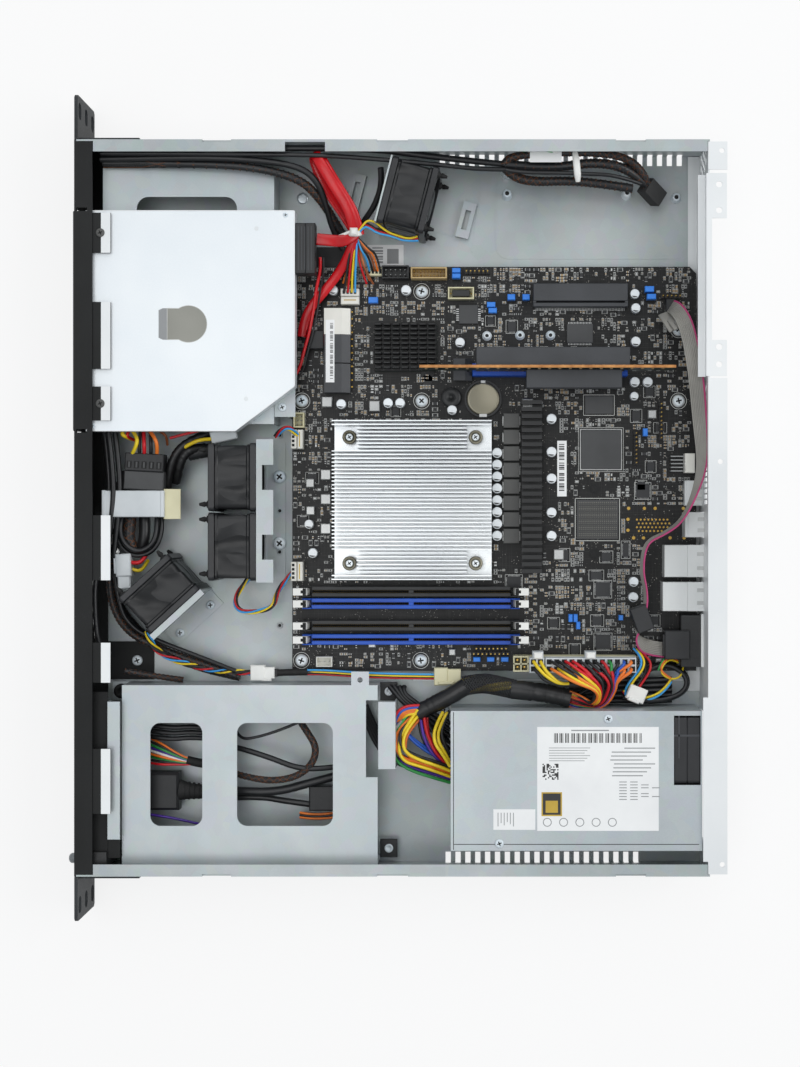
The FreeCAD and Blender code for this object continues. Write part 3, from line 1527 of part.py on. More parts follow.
NODES = {
    "chassis_tray": chassis_tray,
    "rear_panel": rear_panel,
    "front_panel": front_panel,
    "rack_ear_left": lambda: rack_ear(-1),
    "rack_ear_right": lambda: rack_ear(1),
    "drive_cage_left": drive_cage_left,
    "drive_cage_right": drive_cage_right,
    "rubber_mounts": rubber_mounts,
    "chassis_screws": chassis_screws,
    "board_standoffs": board_standoffs,
    "board_screws": board_screws,
    "odd_case": odd_case,
    "odd_tray": odd_tray,
    "odd_eject_button": odd_eject_button,
    "odd_adapter": odd_adapter,
    "inner_brackets": inner_brackets,
    "motherboard": motherboard,
    "cpu_heatsink": cpu_heatsink,
    "vrm_heatsink": vrm_heatsink,
    "chipset_heatsink": chipset_heatsink,
    "board_chips": board_chips,
    "power_parts": power_parts,
    "dimm_slots": dimm_slots,
    "expansion_slots": expansion_slots,
    "slot_latch": slot_latch,
    "riser_card": riser_card,
    "riser_bracket": riser_bracket,
    "board_connectors": board_connectors,
    "cmos_battery": cmos_battery,
    "rear_ports": rear_ports,
    "psu_case": psu_case,
    "psu_fan_frame": psu_fan_frame,
    "psu_fan_rotor": psu_fan_rotor,
    "psu_inlet": psu_inlet,
    "front_io_board": front_io_board,
    "power_button": power_button,
    "reset_button": reset_button,
    "wiring_harness": wiring_harness,
    "sata_cables": sata_cables,
    "io_ribbon": io_ribbon,
    "left_leads": left_leads,
    "front_leads": front_leads,
    "spare_power_cable": spare_power_cable,
    "spare_power_plug": spare_power_plug,
}
for number in range(4):
    NODES[f"fan_frame_{number + 1}"] = lambda k=number: fan_frame(k)
    NODES[f"fan_rotor_{number + 1}"] = lambda k=number: fan_rotor(k)
for number in range(8):
    NODES[f"dimm_latch_{number + 1}"] = lambda k=number: dimm_latch(k)


def main():
    os.makedirs("parts", exist_ok=True)
    for name, make in NODES.items():
        made = make()
        solids = made if isinstance(made, list) else [made]
        whole = Part.makeCompound([s for piece in solids for s in piece.Solids])
        whole.exportStep(f"parts/{name}.step")
        print(name, len(whole.Solids), "solids", "valid" if whole.isValid() else "NOT VALID")


main()
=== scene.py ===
import bpy
import math
import random
from mathutils import Matrix, Vector


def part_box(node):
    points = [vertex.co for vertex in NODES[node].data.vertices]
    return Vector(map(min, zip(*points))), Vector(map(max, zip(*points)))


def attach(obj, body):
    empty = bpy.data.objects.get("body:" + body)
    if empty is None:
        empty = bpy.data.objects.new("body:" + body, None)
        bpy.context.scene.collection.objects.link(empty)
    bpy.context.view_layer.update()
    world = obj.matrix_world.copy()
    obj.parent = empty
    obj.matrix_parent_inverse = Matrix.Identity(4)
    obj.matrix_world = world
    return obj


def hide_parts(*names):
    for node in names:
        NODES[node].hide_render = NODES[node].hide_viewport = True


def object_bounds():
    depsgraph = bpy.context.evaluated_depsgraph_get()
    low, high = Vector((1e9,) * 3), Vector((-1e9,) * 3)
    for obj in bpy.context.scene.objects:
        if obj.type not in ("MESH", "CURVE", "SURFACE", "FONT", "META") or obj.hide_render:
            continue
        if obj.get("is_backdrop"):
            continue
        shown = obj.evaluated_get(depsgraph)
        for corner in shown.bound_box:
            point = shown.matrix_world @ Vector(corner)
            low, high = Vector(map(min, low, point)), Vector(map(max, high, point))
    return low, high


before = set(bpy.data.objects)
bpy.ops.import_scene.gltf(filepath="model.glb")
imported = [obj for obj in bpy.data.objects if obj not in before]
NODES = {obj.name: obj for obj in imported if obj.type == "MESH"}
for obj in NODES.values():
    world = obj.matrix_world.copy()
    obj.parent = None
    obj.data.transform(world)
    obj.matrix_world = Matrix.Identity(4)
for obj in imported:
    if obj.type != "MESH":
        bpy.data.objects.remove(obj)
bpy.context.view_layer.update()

# A short-depth 1U rack server with its cover off: looks only. Lengths in this script are
# millimetres and become metres as a piece is made. X runs across the rack, Y to the rear,
# Z up; D is the distance behind the front face, so y = D + FRONT.

MM = 0.001
FRONT = -187.9
BOARD_X, BOARD_Y, BOARD_TOP = -146.0, -64.7, 8.6


def back(d):
    return d + FRONT


# ---- camera and light ----------------------------------------------------------------

scene = bpy.context.scene
scene.view_settings.view_transform = "Standard"

cam_data = bpy.data.cameras.new("camera")
cam_data.sensor_width = 36.0
cam_data.lens = 57.86
cam_data.shift_x = -0.0843
cam_data.shift_y = -0.0033
cam_data.clip_start = 0.05
camera = bpy.data.objects.new("camera", cam_data)
camera.location = (0.01285, 0.0546, 1.0436)
camera.rotation_euler = (0.0, 0.0, math.pi / 2)
scene.collection.objects.link(camera)
scene.camera = camera


def area_light(name, location, target, size, power, colour=(1, 1, 1)):
    data = bpy.data.lights.new(name, "AREA")
    data.shape = "RECTANGLE"
    data.size, data.size_y = size
    data.energy = power
    data.color = colour
    lamp = bpy.data.objects.new(name, data)
    lamp.location = location
    aim = Vector(target) - Vector(location)
    lamp.rotation_euler = aim.to_track_quat("-Z", "Y").to_euler()
    scene.collection.objects.link(lamp)


area_light("softbox_top", (0.10, -0.35, 1.9), (0, 0, 0), (1.6, 1.0), 8.0)
area_light("softbox_left", (-1.5, 0.1, 1.2), (0, 0, 0), (1.2, 1.8), 8.2, (0.97, 0.985, 1.0))
area_light("softbox_rear", (-0.2, 1.5, 1.3), (0, 0, 0), (1.6, 1.0), 13.0)


# ---- materials -----------------------------------------------------------------------


def linear(colour):
    """A colour written as RRGGBB, as scene-linear RGBA."""
    out = []
    for k in (0, 2, 4):
        c = int(colour[k : k + 2], 16) / 255
        out.append(c / 12.92 if c <= 0.04045 else ((c + 0.055) / 1.055) ** 2.4)
    return (*out, 1.0)


class Shader:
    """A node material: a Principled shader and short ways to feed it."""

    def __init__(self, name, rough=0.5, metal=0.0, **sockets):
        self.material = bpy.data.materials.new(name)
        self.material.use_nodes = True
        self.tree = self.material.node_tree
        self.surface = self.tree.nodes["Principled BSDF"]
        self.surface.inputs["Roughness"].default_value = rough
        self.surface.inputs["Metallic"].default_value = metal
        for key, value in sockets.items():
            self.surface.inputs[key.replace("_", " ")].default_value = value
        self.place = self.node("ShaderNodeTexCoord").outputs["Object"]

    def node(self, kind, **settings):
        made = self.tree.nodes.new(kind)
        for key, value in settings.items():
            setattr(made, key, value)
        return made

    def link(self, a, b):
        self.tree.links.new(a, b)

    def stretched(self, scale):
        """The place on the piece, in metres, stretched by this scale along each axis."""
        mapping = self.node("ShaderNodeMapping")
        mapping.inputs["Scale"].default_value = scale
        self.link(self.place, mapping.inputs["Vector"])
        return mapping.outputs["Vector"]

    def noise(self, scale, detail=4.0, rough=0.55, stretch=(1, 1, 1)):
        made = self.node("ShaderNodeTexNoise")
        made.inputs["Scale"].default_value = scale
        made.inputs["Detail"].default_value = detail
        made.inputs["Roughness"].default_value = rough
        self.link(self.stretched(stretch), made.inputs["Vector"])
        return made.outputs["Fac"]

    def cells(self, scale, output="Color"):
        made = self.node("ShaderNodeTexVoronoi", feature="F1")
        made.inputs["Scale"].default_value = scale
        self.link(self.stretched((1, 1, 1)), made.inputs["Vector"])
        return made.outputs[output]

    def ramp(self, fac, stops):
        made = self.node("ShaderNodeValToRGB")
        elements = made.color_ramp.elements
        while len(elements) < len(stops):
            elements.new(0.5)
        for element, (at, colour) in zip(elements, stops):
            element.position = at
            element.color = linear(colour) if isinstance(colour, str) else (colour,) * 3 + (1.0,)
        self.link(fac, made.inputs["Fac"])
        return made.outputs["Color"]

    def mix(self, fac, a, b, blend="MIX"):
        made = self.node("ShaderNodeMix", data_type="RGBA", blend_type=blend)
        for socket, value in ((made.inputs[0], fac), (made.inputs[6], a), (made.inputs[7], b)):
            if isinstance(value, (int, float)):
                socket.default_value = value
            elif isinstance(value, str):
                socket.default_value = linear(value)
            else:
                self.link(value, socket)
        return made.outputs[2]

    def maths(self, operation, a, b=0.0):
        made = self.node("ShaderNodeMath", operation=operation)
        for socket, value in ((made.inputs[0], a), (made.inputs[1], b)):
            if isinstance(value, (int, float)):
                socket.default_value = value
            else:
                self.link(value, socket)
        return made.outputs[0]

    def up(self):
        """How far the surface faces up, from -1 to 1, from its own normal."""
        made = self.node("ShaderNodeSeparateXYZ")
        self.link(self.node("ShaderNodeNewGeometry").outputs["Normal"], made.inputs[0])
        return made.outputs["Z"]

    def colour(self, socket):
        self.link(socket, self.surface.inputs["Base Color"])

    def roughness(self, fac, low, high):
        self.link(self.ramp(fac, [(0.0, low), (1.0, high)]), self.surface.inputs["Roughness"])

    def bump(self, height, depth, strength=1.0):
        made = self.node("ShaderNodeBump")
        made.inputs["Strength"].default_value = strength
        made.inputs["Distance"].default_value = depth * MM
        self.link(height, made.inputs["Height"])
        self.link(made.outputs["Normal"], self.surface.inputs["Normal"])


MATERIALS = {}


def sheet_metal(name, dark, light, rough=(0.34, 0.48), metal=0.75, grain=(1, 1, 1), spangle=0.0):
    """Plated sheet: soft colour drift, fine rolled grain and faint handling marks."""
    s = Shader(name, metal=metal)
    drift = s.noise(14, 3)
    fine = s.noise(900, 3, 0.7, grain)
    base = s.ramp(drift, [(0.3, dark), (0.7, light)])
    base = s.mix(0.07, base, s.ramp(fine, [(0.3, 0.15), (0.7, 1.0)]), "OVERLAY")
    if spangle:
        base = s.mix(spangle, base, s.cells(160), "SOFT_LIGHT")
    s.colour(base)
    marks = s.mix(0.5, s.noise(60, 6, 0.7), fine)
    s.roughness(marks, *rough)
    s.bump(fine, 0.02, 0.35)
    MATERIALS[name] = s.material


def moulded(name, colour, light, rough=(0.42, 0.6), depth=0.03, grain=700, **sockets):
    """Moulded plastic or rubber: even colour with a fine spark-eroded grain."""
    s = Shader(name, **sockets)
    s.colour(s.ramp(s.noise(35, 4), [(0.3, colour), (0.75, light)]))
    fine = s.noise(grain, 2, 0.6)
    s.roughness(fine, *rough)
    s.bump(fine, depth, 0.5)
    MATERIALS[name] = s.material


def powder(name, colour, light, worn="8f9290"):
    """Powder coat: orange-peel grain with pale flecks where it is rubbed."""
    s = Shader(name, metal=0.0, Specular_IOR_Level=0.3)
    peel = s.noise(1300, 4, 0.75)
    base = s.ramp(s.noise(20, 4), [(0.3, colour), (0.75, light)])
    flecks = s.ramp(s.noise(2600, 2, 0.9), [(0.66, 0.0), (0.74, 0.5)])
    s.colour(s.mix(flecks, base, worn))
    s.roughness(peel, 0.45, 0.7)
    s.bump(peel, 0.06, 0.6)
    MATERIALS[name] = s.material


sheet_metal("bare_steel", "a5adae", "b9bfc0", (0.36, 0.5), 0.4, (1, 6, 1), 0.06)
sheet_metal("rail_steel", "d8dcde", "e6eaeb", (0.3, 0.42), 0.12, (1, 6, 1))
sheet_metal("cage_steel", "aeb6b9", "bfc6c8", (0.34, 0.48), 0.4, (6, 1, 1), 0.05)
sheet_metal("lid_steel", "e0e6ea", "eaeef0", (0.3, 0.4), 0.25, (1, 1, 1))
sheet_metal("bright_steel", "b9c3c8", "e4eaed", (0.2, 0.36), 0.6)
# Screw heads and posts are written near white with little metal: a painted highlight for bright chrome, also
# where they sit in shade.
sheet_metal("screw_painted_highlight", "bccbd4", "f0f6f9", (0.24, 0.36), 0.1)
sheet_metal("port_steel", "d3d6d5", "e9ebea", (0.28, 0.4), 0.1, (1, 8, 1))
sheet_metal("white_steel", "e3e6e7", "f0f2f2", (0.35, 0.5), 0.15, (8, 1, 1))
sheet_metal("disc_steel", "73736d", "8b8b84", (0.3, 0.42), 0.6, (20, 1, 1))
sheet_metal("cell_steel", "67634f", "979282", (0.24, 0.5), 0.7, (3, 14, 1))
sheet_metal("aluminium", "cfd3d6", "e6e9ea", (0.22, 0.34), 0.85, (30, 1, 1))
sheet_metal("gold", "b08a3e", "d8b868", (0.25, 0.4), 0.9)
# The same gold darkened: painted shade for contacts deep inside a slot.
sheet_metal("gold_painted_shade", "4a3d22", "6b5830", (0.3, 0.45), 0.7)
sheet_metal("tin", "9a9c9c", "cfd0ce", (0.3, 0.5), 0.8)
powder("black_steel", "151616", "202121", "4c4e4e")
powder("ear_steel", "26282a", "3a3d3f", "a9adae")
moulded("black_plastic", "17181a", "232426", (0.38, 0.55))
moulded("fan_black", "191a1c", "2a2b2e", (0.3, 0.48))
moulded("rotor_black", "121315", "1e1f21", (0.28, 0.42))
moulded("blue_plastic", "0a3f9e", "1159c9", (0.32, 0.45))
moulded("slot_black", "1a1b1c", "292a2b", (0.35, 0.5))
moulded("slot_grey", "333538", "424448", (0.35, 0.5))
moulded("jumper_blue", "1f6fd0", "3a8cec", (0.3, 0.45))
moulded("latch_white", "e4e4df", "f6f6f2", (0.35, 0.5))
moulded("ivory_plastic", "cfc9a4", "e2ddba", (0.35, 0.5))
moulded("cream_plastic", "d9d8cf", "eceae2", (0.35, 0.5))
moulded("tan_plastic", "b59a68", "cdb482", (0.35, 0.5))
moulded("clear_plastic", "c3c9cc", "dbe0e2", (0.25, 0.4), 0.01, 300)
moulded("chip_black", "1f2022", "2c2d2f", (0.4, 0.58), 0.02, 1600)
moulded("chip_grey", "3b3c3d", "4b4c4d", (0.45, 0.6), 0.02, 1600)
moulded("choke_grey", "4a4a49", "5b5b59", (0.5, 0.65), 0.03, 1200)
moulded("cap_tan", "8d7656", "ab926c", (0.45, 0.6))
moulded("silk_white", "bfc0bc", "dfe0dc", (0.55, 0.7), 0.01)
moulded("label_white", "eceded", "f7f8f7", (0.4, 0.5), 0.01)
moulded("label_ink", "2b2b2b", "3c3c3c", (0.5, 0.6), 0.01)
moulded("label_grey", "8b8d8e", "9a9c9d", (0.5, 0.6), 0.01)
moulded("label_gold", "b8962f", "d8b748", (0.4, 0.5), 0.01)
moulded("black_rubber", "121212", "1d1d1d", (0.6, 0.8), 0.05, 500)
moulded("button_grey", "74787a", "8a8e90", (0.25, 0.4))
moulded("heat_black", "111213", "1a1b1c", (0.3, 0.45))
# Near-black for holes, slots, sockets, openings and recesses: painted shade where light does not reach. It
# also marks dark seams.
moulded("pit_black", "08090a", "0e0f10", (0.6, 0.8))

WIRES = {
    "wire_black": ("17181a", "242527"),
    "wire_red": ("b20f1c", "d81a26"),
    "wire_yellow": ("e0bd10", "f6dc34"),
    "wire_orange": ("dc6414", "f58a34"),
    "wire_green": ("23803a", "3da556"),
    "wire_blue": ("1748a0", "2763cc"),
    "wire_sky": ("2b8fd6", "4db2f0"),
    "wire_purple": ("43258a", "5d39ac"),
    "wire_brown": ("7c3f1c", "a05a30"),
    "wire_white": ("dcdcd8", "f0f0ec"),
    "wire_grey": ("7c7d7e", "96979a"),
    "ribbon_grey": ("87857f", "a5a29b"),
    "ribbon_edge": ("a92f66", "cf4a86"),
}
for key, (dark, light) in WIRES.items():
    moulded(key, dark, light, (0.28, 0.42), 0.01, 300)
moulded("thread_brown", "4f2d18", "744626", (0.4, 0.6), 0.01, 300)
moulded("sata_red", "ac0711", "e0121e", (0.18, 0.3), 0.01, 300)


def braid(name, dark, light):
    """A sleeve woven of fine strands: crossed ribs with the dark gaps between them."""
    s = Shader(name)
    waves = []
    for turn in (0.9, -0.9):
        mapping = s.node("ShaderNodeMapping")
        mapping.inputs["Rotation"].default_value = (0.4, 0.3, turn)
        s.link(s.place, mapping.inputs["Vector"])
        wave = s.node("ShaderNodeTexWave")
        wave.inputs["Scale"].default_value = 330
        wave.inputs["Distortion"].default_value = 1.2
        wave.inputs["Detail"].default_value = 1.0
        s.link(mapping.outputs["Vector"], wave.inputs["Vector"])
        waves.append(wave.outputs["Fac"])
    ribs = s.maths("MAXIMUM", *waves)
    s.colour(s.ramp(ribs, [(0.45, dark), (0.95, light)]))
    s.roughness(ribs, 0.62, 0.4)
    s.bump(ribs, 0.25, 0.7)
    MATERIALS[name] = s.material


film = Shader("film_black", 0.36)
folds = film.noise(34, 2.0, 0.55, (1, 0.45, 1))
film.colour(film.ramp(folds, [(0.3, "0e0f10"), (0.7, "1e1f21")]))
film.roughness(folds, 0.28, 0.5)
film.bump(film.ramp(folds, [(0.36, 0.0), (0.5, 1.0), (0.64, 0.1)]), 0.9, 2.6)
MATERIALS["film_black"] = film.material

braid("braid_black", "0b0b0c", "3a3b3c")
moulded("tape_black", "121213", "242425", (0.26, 0.46), 0.5, 85)


def circuit_board(name, mask, track, pad):
    """Solder mask over copper: thin tracks in two directions and small pads."""
    s = Shader(name, rough=0.5, Specular_IOR_Level=0.3)
    base = s.ramp(s.noise(22, 4), [(0.3, mask[0]), (0.7, mask[1])])
    for stretch, density in (((1, 0.012, 1), 1150), ((0.012, 1, 1), 1050)):
        lines = s.ramp(s.noise(density, 0, 0.0, stretch), [(0.5, 0.0), (0.56, 0.5), (0.62, 0.0)])
        shown = s.mix(1.0, lines, s.noise(75, 2), "MULTIPLY")
        base = s.mix(shown, base, track)
    dots = s.ramp(s.cells(760, "Distance"), [(0.0, 1.0), (0.16, 1.0), (0.22, 0.0)])
    some = s.ramp(s.noise(160, 2), [(0.5, 0.0), (0.58, 1.0)])
    base = s.mix(s.mix(1.0, dots, some, "MULTIPLY"), base, pad)
    s.colour(base)
    s.roughness(s.noise(240, 4), 0.3, 0.46)
    s.bump(dots, 0.03, 0.4)
    MATERIALS[name] = s.material


circuit_board("board_mask", ("111111", "191919"), "403f3e", "a6a39c")
circuit_board("green_board", ("1c3a2a", "234834"), "35624a", "b09a5c")


def edge_board(name):
    """The riser's laminate: tan along its cut top edge, dark mask on its two faces."""
    s = Shader(name, rough=0.5)
    edge = s.ramp(s.noise(180, 3, 0.6, (1, 1, 1)), [(0.3, "a2652a"), (0.7, "d99b57")])
    faces = s.ramp(s.noise(60, 3), [(0.3, "16211c"), (0.7, "22332b")])
    s.colour(s.mix(s.ramp(s.up(), [(0.5, 0.0), (0.6, 1.0)]), faces, edge))
    s.bump(s.noise(700, 3), 0.03, 0.5)
    MATERIALS[name] = s.material


edge_board("riser_edge")


def striped(name, base, line, pitch, share):
    """Even stripes across X, as the contacts of a ball grid show."""
    s = Shader(name, metal=0.2)
    split = s.node("ShaderNodeSeparateXYZ")
    s.link(s.place, split.inputs[0])
    phase = s.maths("FRACT", s.maths("DIVIDE", split.outputs[0], pitch * MM))
    gate = s.ramp(phase, [(share - 0.06, 0.0), (share + 0.06, 1.0)])
    s.colour(s.mix(gate, base, line))
    s.roughness(s.noise(300, 3), 0.3, 0.45)
    s.bump(gate, 0.15, 0.6)
    MATERIALS[name] = s.material


striped("ball_grid", "4a4945", "7c7a72", 0.9, 0.5)

# ---- making pieces -------------------------------------------------------------------


class Piece:
    """One mesh piece made from many small solids, each with its own material."""

    def __init__(self, name):
        self.name = name
        self.points = []
        self.faces = []
        self.face_slots = []
        self.slots = []
        self.smooth = []
        self.frame = Matrix.Identity(4)

    def at(self, x=0.0, y=0.0, z=0.0, yaw=0.0):
        """What follows is placed about this point and turned about Z."""
        self.frame = Matrix.Translation((x, y, z)) @ Matrix.Rotation(math.radians(yaw), 4, "Z")
        return self

    def mesh(self, points, faces, material, smooth=False):
        if material not in self.slots:
            self.slots.append(material)
        slot = self.slots.index(material)
        first = len(self.points)
        self.points += [self.frame @ Vector(p) for p in points]
        for face in faces:
            self.faces.append([first + k for k in face])
            self.face_slots.append(slot)
            self.smooth.append(smooth)

    def block(self, x0, x1, y0, y1, z0, z1, material, ease=0.0):
        """A box whose top edges are cut back by ease."""
        if not ease:
            self.mesh(
                [(x, y, z) for z in (z0, z1) for y in (y0, y1) for x in (x0, x1)],
                [(0, 2, 3, 1), (4, 5, 7, 6), (0, 1, 5, 4), (2, 6, 7, 3), (0, 4, 6, 2), (1, 3, 7, 5)],
                material,
            )
            return
        rings = [(x0, x1, y0, y1, z0), (x0, x1, y0, y1, z1 - ease)]
        rings.append((x0 + ease, x1 - ease, y0 + ease, y1 - ease, z1))
        self.rings([[(a, c, z), (b, c, z), (b, d, z), (a, d, z)] for a, b, c, d, z in rings], material)

    def rings(self, rings, material, smooth=False, closed=False):
        """A skin over rings of equal count, closed at both ends."""
        n = len(rings[0])
        faces = []
        count = len(rings)
        for r in range(count if closed else count - 1):
            a, b = r * n, ((r + 1) % count) * n
            faces += [(a + k, a + (k + 1) % n, b + (k + 1) % n, b + k) for k in range(n)]
        self.mesh([p for ring in rings for p in ring], faces, material, smooth)
        if not closed:
            self.mesh(rings[0], [tuple(range(n))[::-1]], material)
            self.mesh(rings[-1], [tuple(range(n))], material)

    def slab(self, outline, z0, z1, material):
        """A straight-sided solid over a convex outline in X and Y."""
        self.rings([[(x, y, z) for x, y in outline] for z in (z0, z1)], material)

    def turned(self, x, y, profile, material, sides=24):
        """A turned solid about an upright axis: the profile gives radius and height, from below."""
        rings = [[(a, b, z) for a, b in ring_of(x, y, radius, sides)] for radius, z in profile]
        self.rings(rings, material, True)

    def turned_y(self, x, z, profile, material, sides=24, smooth=True):
        """A turned solid about an axis along Y: the profile gives radius and Y, from the front."""
        rings = []
        for radius, y in profile:
            ring = []
            for k in range(sides):
                turn = -2 * math.pi * k / sides
                ring.append((x + radius * math.cos(turn), y, z + radius * math.sin(turn)))
            rings.append(ring)
        self.rings(rings, material, smooth)

    def tube(self, line, radius, material, sides=10, flat=1.0):
        """A skin that follows a line of points, each with its own radius if radius is a list."""
        line = [Vector(p) for p in line]
        rings = []
        side = None
        for k, point in enumerate(line):
            ahead = line[min(k + 1, len(line) - 1)] - line[max(k - 1, 0)]
            ahead.normalize()
            if side is None:
                side = ahead.cross(Vector((0, 0, 1)))
                if side.length < 0.01:
                    side = Vector((1, 0, 0))
            side = (side - ahead * side.dot(ahead)).normalized()
            lift = side.cross(ahead)
            r = radius[k] if isinstance(radius, list) else radius
            ring = []
            for j in range(sides):
                turn = 2 * math.pi * j / sides
                ring.append(point + side * (r * math.cos(turn)) + lift * (r * flat * math.sin(turn)))
            rings.append(ring)
        self.rings(rings, material, True)

    def done(self, body="chassis", replaces=(), bevel=0.0, slot=None):
        data = bpy.data.meshes.new(self.name)
        data.from_pydata([tuple(p * MM) for p in self.points], [], self.faces)
        for material in self.slots:
            data.materials.append(MATERIALS[material])
        data.polygons.foreach_set("material_index", self.face_slots)
        data.polygons.foreach_set("use_smooth", self.smooth)
        data.update()
        piece = bpy.data.objects.new(self.name, data)
        scene.collection.objects.link(piece)
        if bevel:
            cut = piece.modifiers.new("edges", "BEVEL")
            cut.width = bevel * MM
            cut.segments = 2
            cut.limit_method = "ANGLE"
            cut.angle_limit = math.radians(50)
        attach(piece, body)
        if replaces:
            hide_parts(*replaces)
        return piece


def ring_of(x, y, radius, sides):
    """A regular outline about a point, in X and Y."""
    turns = [2 * math.pi * k / sides for k in range(sides)]
    return [(x + radius * math.cos(turn), y + radius * math.sin(turn)) for turn in turns]


def arc_bars(x, y, inner, outer, sides):
    """The outlines of the short straight bars that make up a flat ring."""
    for k in range(sides):
        a, b = 2 * math.pi * k / sides, 2 * math.pi * (k + 1) / sides
        corners = ((inner, a), (outer, a), (outer, b), (inner, b))
        yield [(x + r * math.cos(t), y + r * math.sin(t)) for r, t in corners]


def soft_rect(x0, x1, y0, y1, radius):
    """The outline of a rectangle with round corners."""
    steps = 5
    points = []
    for cx, cy, quarter in (
        (x1 - radius, y0 + radius, -1),
        (x1 - radius, y1 - radius, 0),
        (x0 + radius, y1 - radius, 1),
        (x0 + radius, y0 + radius, 2),
    ):
        for k in range(steps + 1):
            turn = math.pi / 2 * (quarter + k / steps)
            points.append((cx + radius * math.cos(turn), cy + radius * math.sin(turn)))
    return points


def recessed_screw(p, x, y, z, radius, rise, material="screw_painted_highlight", turn=0.4):
    """A pan head with its cross recess, on a small round washer face."""
    profile = [(radius * 0.96, z), (radius, z + rise * 0.35), (radius * 0.93, z + rise * 0.72)]
    profile += [(radius * 0.74, z + rise * 0.94), (radius * 0.5, z + rise)]
    p.turned(x, y, profile, material, 20)
    arm, wide = radius * 0.52, radius * 0.13
    cross_recess(p, x, y, arm, wide, z + rise - 0.05, z + rise + 0.03, turn)


def cross_recess(p, x, y, arm, wide, z0, z1, turn):
    """The two dark bars of a screw head's cross, painted shade that stands for the recess."""
    for angle in (turn, turn + math.pi / 2):
        c, s = math.cos(angle), math.sin(angle)
        corners = [(-arm, -wide), (arm, -wide), (arm, wide), (-arm, wide)]
        p.slab([(x + i * c - j * s, y + i * s + j * c) for i, j in corners], z0, z1, "pit_black")


# ---- the CAD nodes that stay ---------------------------------------------------------

NODE_MATERIALS = {
    "chassis_tray": "bare_steel",
    "rear_panel": "white_steel",
    "front_panel": "black_steel",
    "rack_ear_left": "ear_steel",
    "rack_ear_right": "ear_steel",
    "drive_cage_left": "cage_steel",
    "drive_cage_right": "cage_steel",
    "board_standoffs": "bright_steel",
    "odd_case": "lid_steel",
    "odd_tray": "black_plastic",
    "odd_eject_button": "black_plastic",
    "odd_adapter": "black_plastic",
    "inner_brackets": "bare_steel",
    "motherboard": "board_mask",
    "cpu_heatsink": "aluminium",
    "vrm_heatsink": "heat_black",
    "riser_card": "riser_edge",
    "riser_bracket": "white_steel",
    "psu_case": "cage_steel",
    "psu_inlet": "black_plastic",
    "slot_latch": "slot_grey",
    "front_io_board": "green_board",
    "power_button": "button_grey",
    "reset_button": "black_plastic",
    "psu_fan_frame": "fan_black",
    "psu_fan_rotor": "rotor_black",
}
LATCHES = [f"dimm_latch_{k + 1}" for k in range(8)]
for latch in LATCHES:
    NODE_MATERIALS[latch] = "latch_white"
for node, material in NODE_MATERIALS.items():
    data = NODES[node].data
    data.materials.clear()
    data.materials.append(MATERIALS[material])

# ---- the main board ------------------------------------------------------------------

# Footprints that the small parts keep clear of: u0, u1, v0, v1 from the board's front left.
TAKEN = [
    (94, 188, 26, 121),
    (86, 180, 126, 151),
    (191, 228, 4, 140),
    (34, 64, 49, 88),
    (25, 77, 19, 36),
    (58, 68, 100, 203),
    (10, 26, 144, 203),
    (97.5, 123, 173, 199),
    (139, 165, 171, 197),
    (144, 166, 201, 240),
    (145, 166, 223, 244),
    (165, 208, 214, 244),
    (208, 241, 226, 244),
    (67, 92, 103, 127),
    (72, 86, 89, 103),
    (54, 72, 96, 112),
    (232, 244, 131, 207),
    (233, 242, 13, 26),
    (0, 9, 54, 94),
    (13, 24, 29, 41),
    (12, 21, 94, 110),
    (98, 111, 0, 7),
    (177, 190, 0, 7),
    (112, 125, 226, 243),
    (103.5, 140, 158.5, 167),
    (77, 90, 175, 195),
    (33, 47, 164, 183),
    (22, 36, 99, 114),
    (89, 170, 152, 160),
]


def overlaps(a, b):
    return a[0] < b[1] and b[0] < a[1] and a[2] < b[3] and b[2] < a[3]


def claim(u0, u1, v0, v1, gap=0.5):
    TAKEN.append((u0 - gap, u1 + gap, v0 - gap, v1 + gap))


def outline_strip(p, u0, u1, v0, v1, wide=0.22):
    """A thin printed frame on the board."""
    for side in (
        (u0, u1, v0, v0 + wide),
        (u0, u1, v1 - wide, v1),
        (u0, u0 + wide, v0, v1),
        (u1 - wide, u1, v0, v1),
    ):
        p.block(*side, 0.0, 0.04, "silk_white")


def gull_pins(p, u0, u1, v0, v1, pitch, long=1.1, along=True, across=True):
    """Rows of bent legs round a chip."""
    wide = pitch * 0.45
    if across:
        v = v0 + 0.8
        while v < v1 - 0.6:
            for a, b in ((u0 - long, u0 + 0.1), (u1 - 0.1, u1 + long)):
                p.block(a, b, v, v + wide, 0.05, 0.4, "tin")
            v += pitch
    if along:
        u = u0 + 0.8
        while u < u1 - 0.6:
            for a, b in ((v0 - long, v0 + 0.1), (v1 - 0.1, v1 + long)):
                p.block(u, u + wide, a, b, 0.05, 0.4, "tin")
            u += pitch


def can(p, u, v, radius, tall):
    """A surface-mount can: black foot, bright drawn case, dark polarity mark on top."""
    cut = radius * 0.6
    foot = [
        (-radius, -radius), (cut, -radius), (radius, -cut), (radius, cut), (cut, radius),
        (-radius, radius),
    ]
    p.slab([(u + a, v + b) for a, b in foot], 0.0, 0.9, "chip_black")
    r = radius - 0.05
    profile = [(r * 0.97, 0.9), (r, 1.3), (r * 0.93, 1.7), (r, 2.1)]
    profile += [(r, tall - 0.5), (r * 0.94, tall - 0.1), (r * 0.85, tall)]
    p.turned(u, v, profile, "lid_steel", 20)
    turns = [math.radians(angle) for angle in range(-58, 59, 13)]
    mark = [(u + r * 0.8 * math.cos(turn), v + r * 0.8 * math.sin(turn)) for turn in turns]
    p.slab(mark, tall - 0.05, tall + 0.03, "label_ink")


board = Piece("board_parts").at(BOARD_X, BOARD_Y, BOARD_TOP)

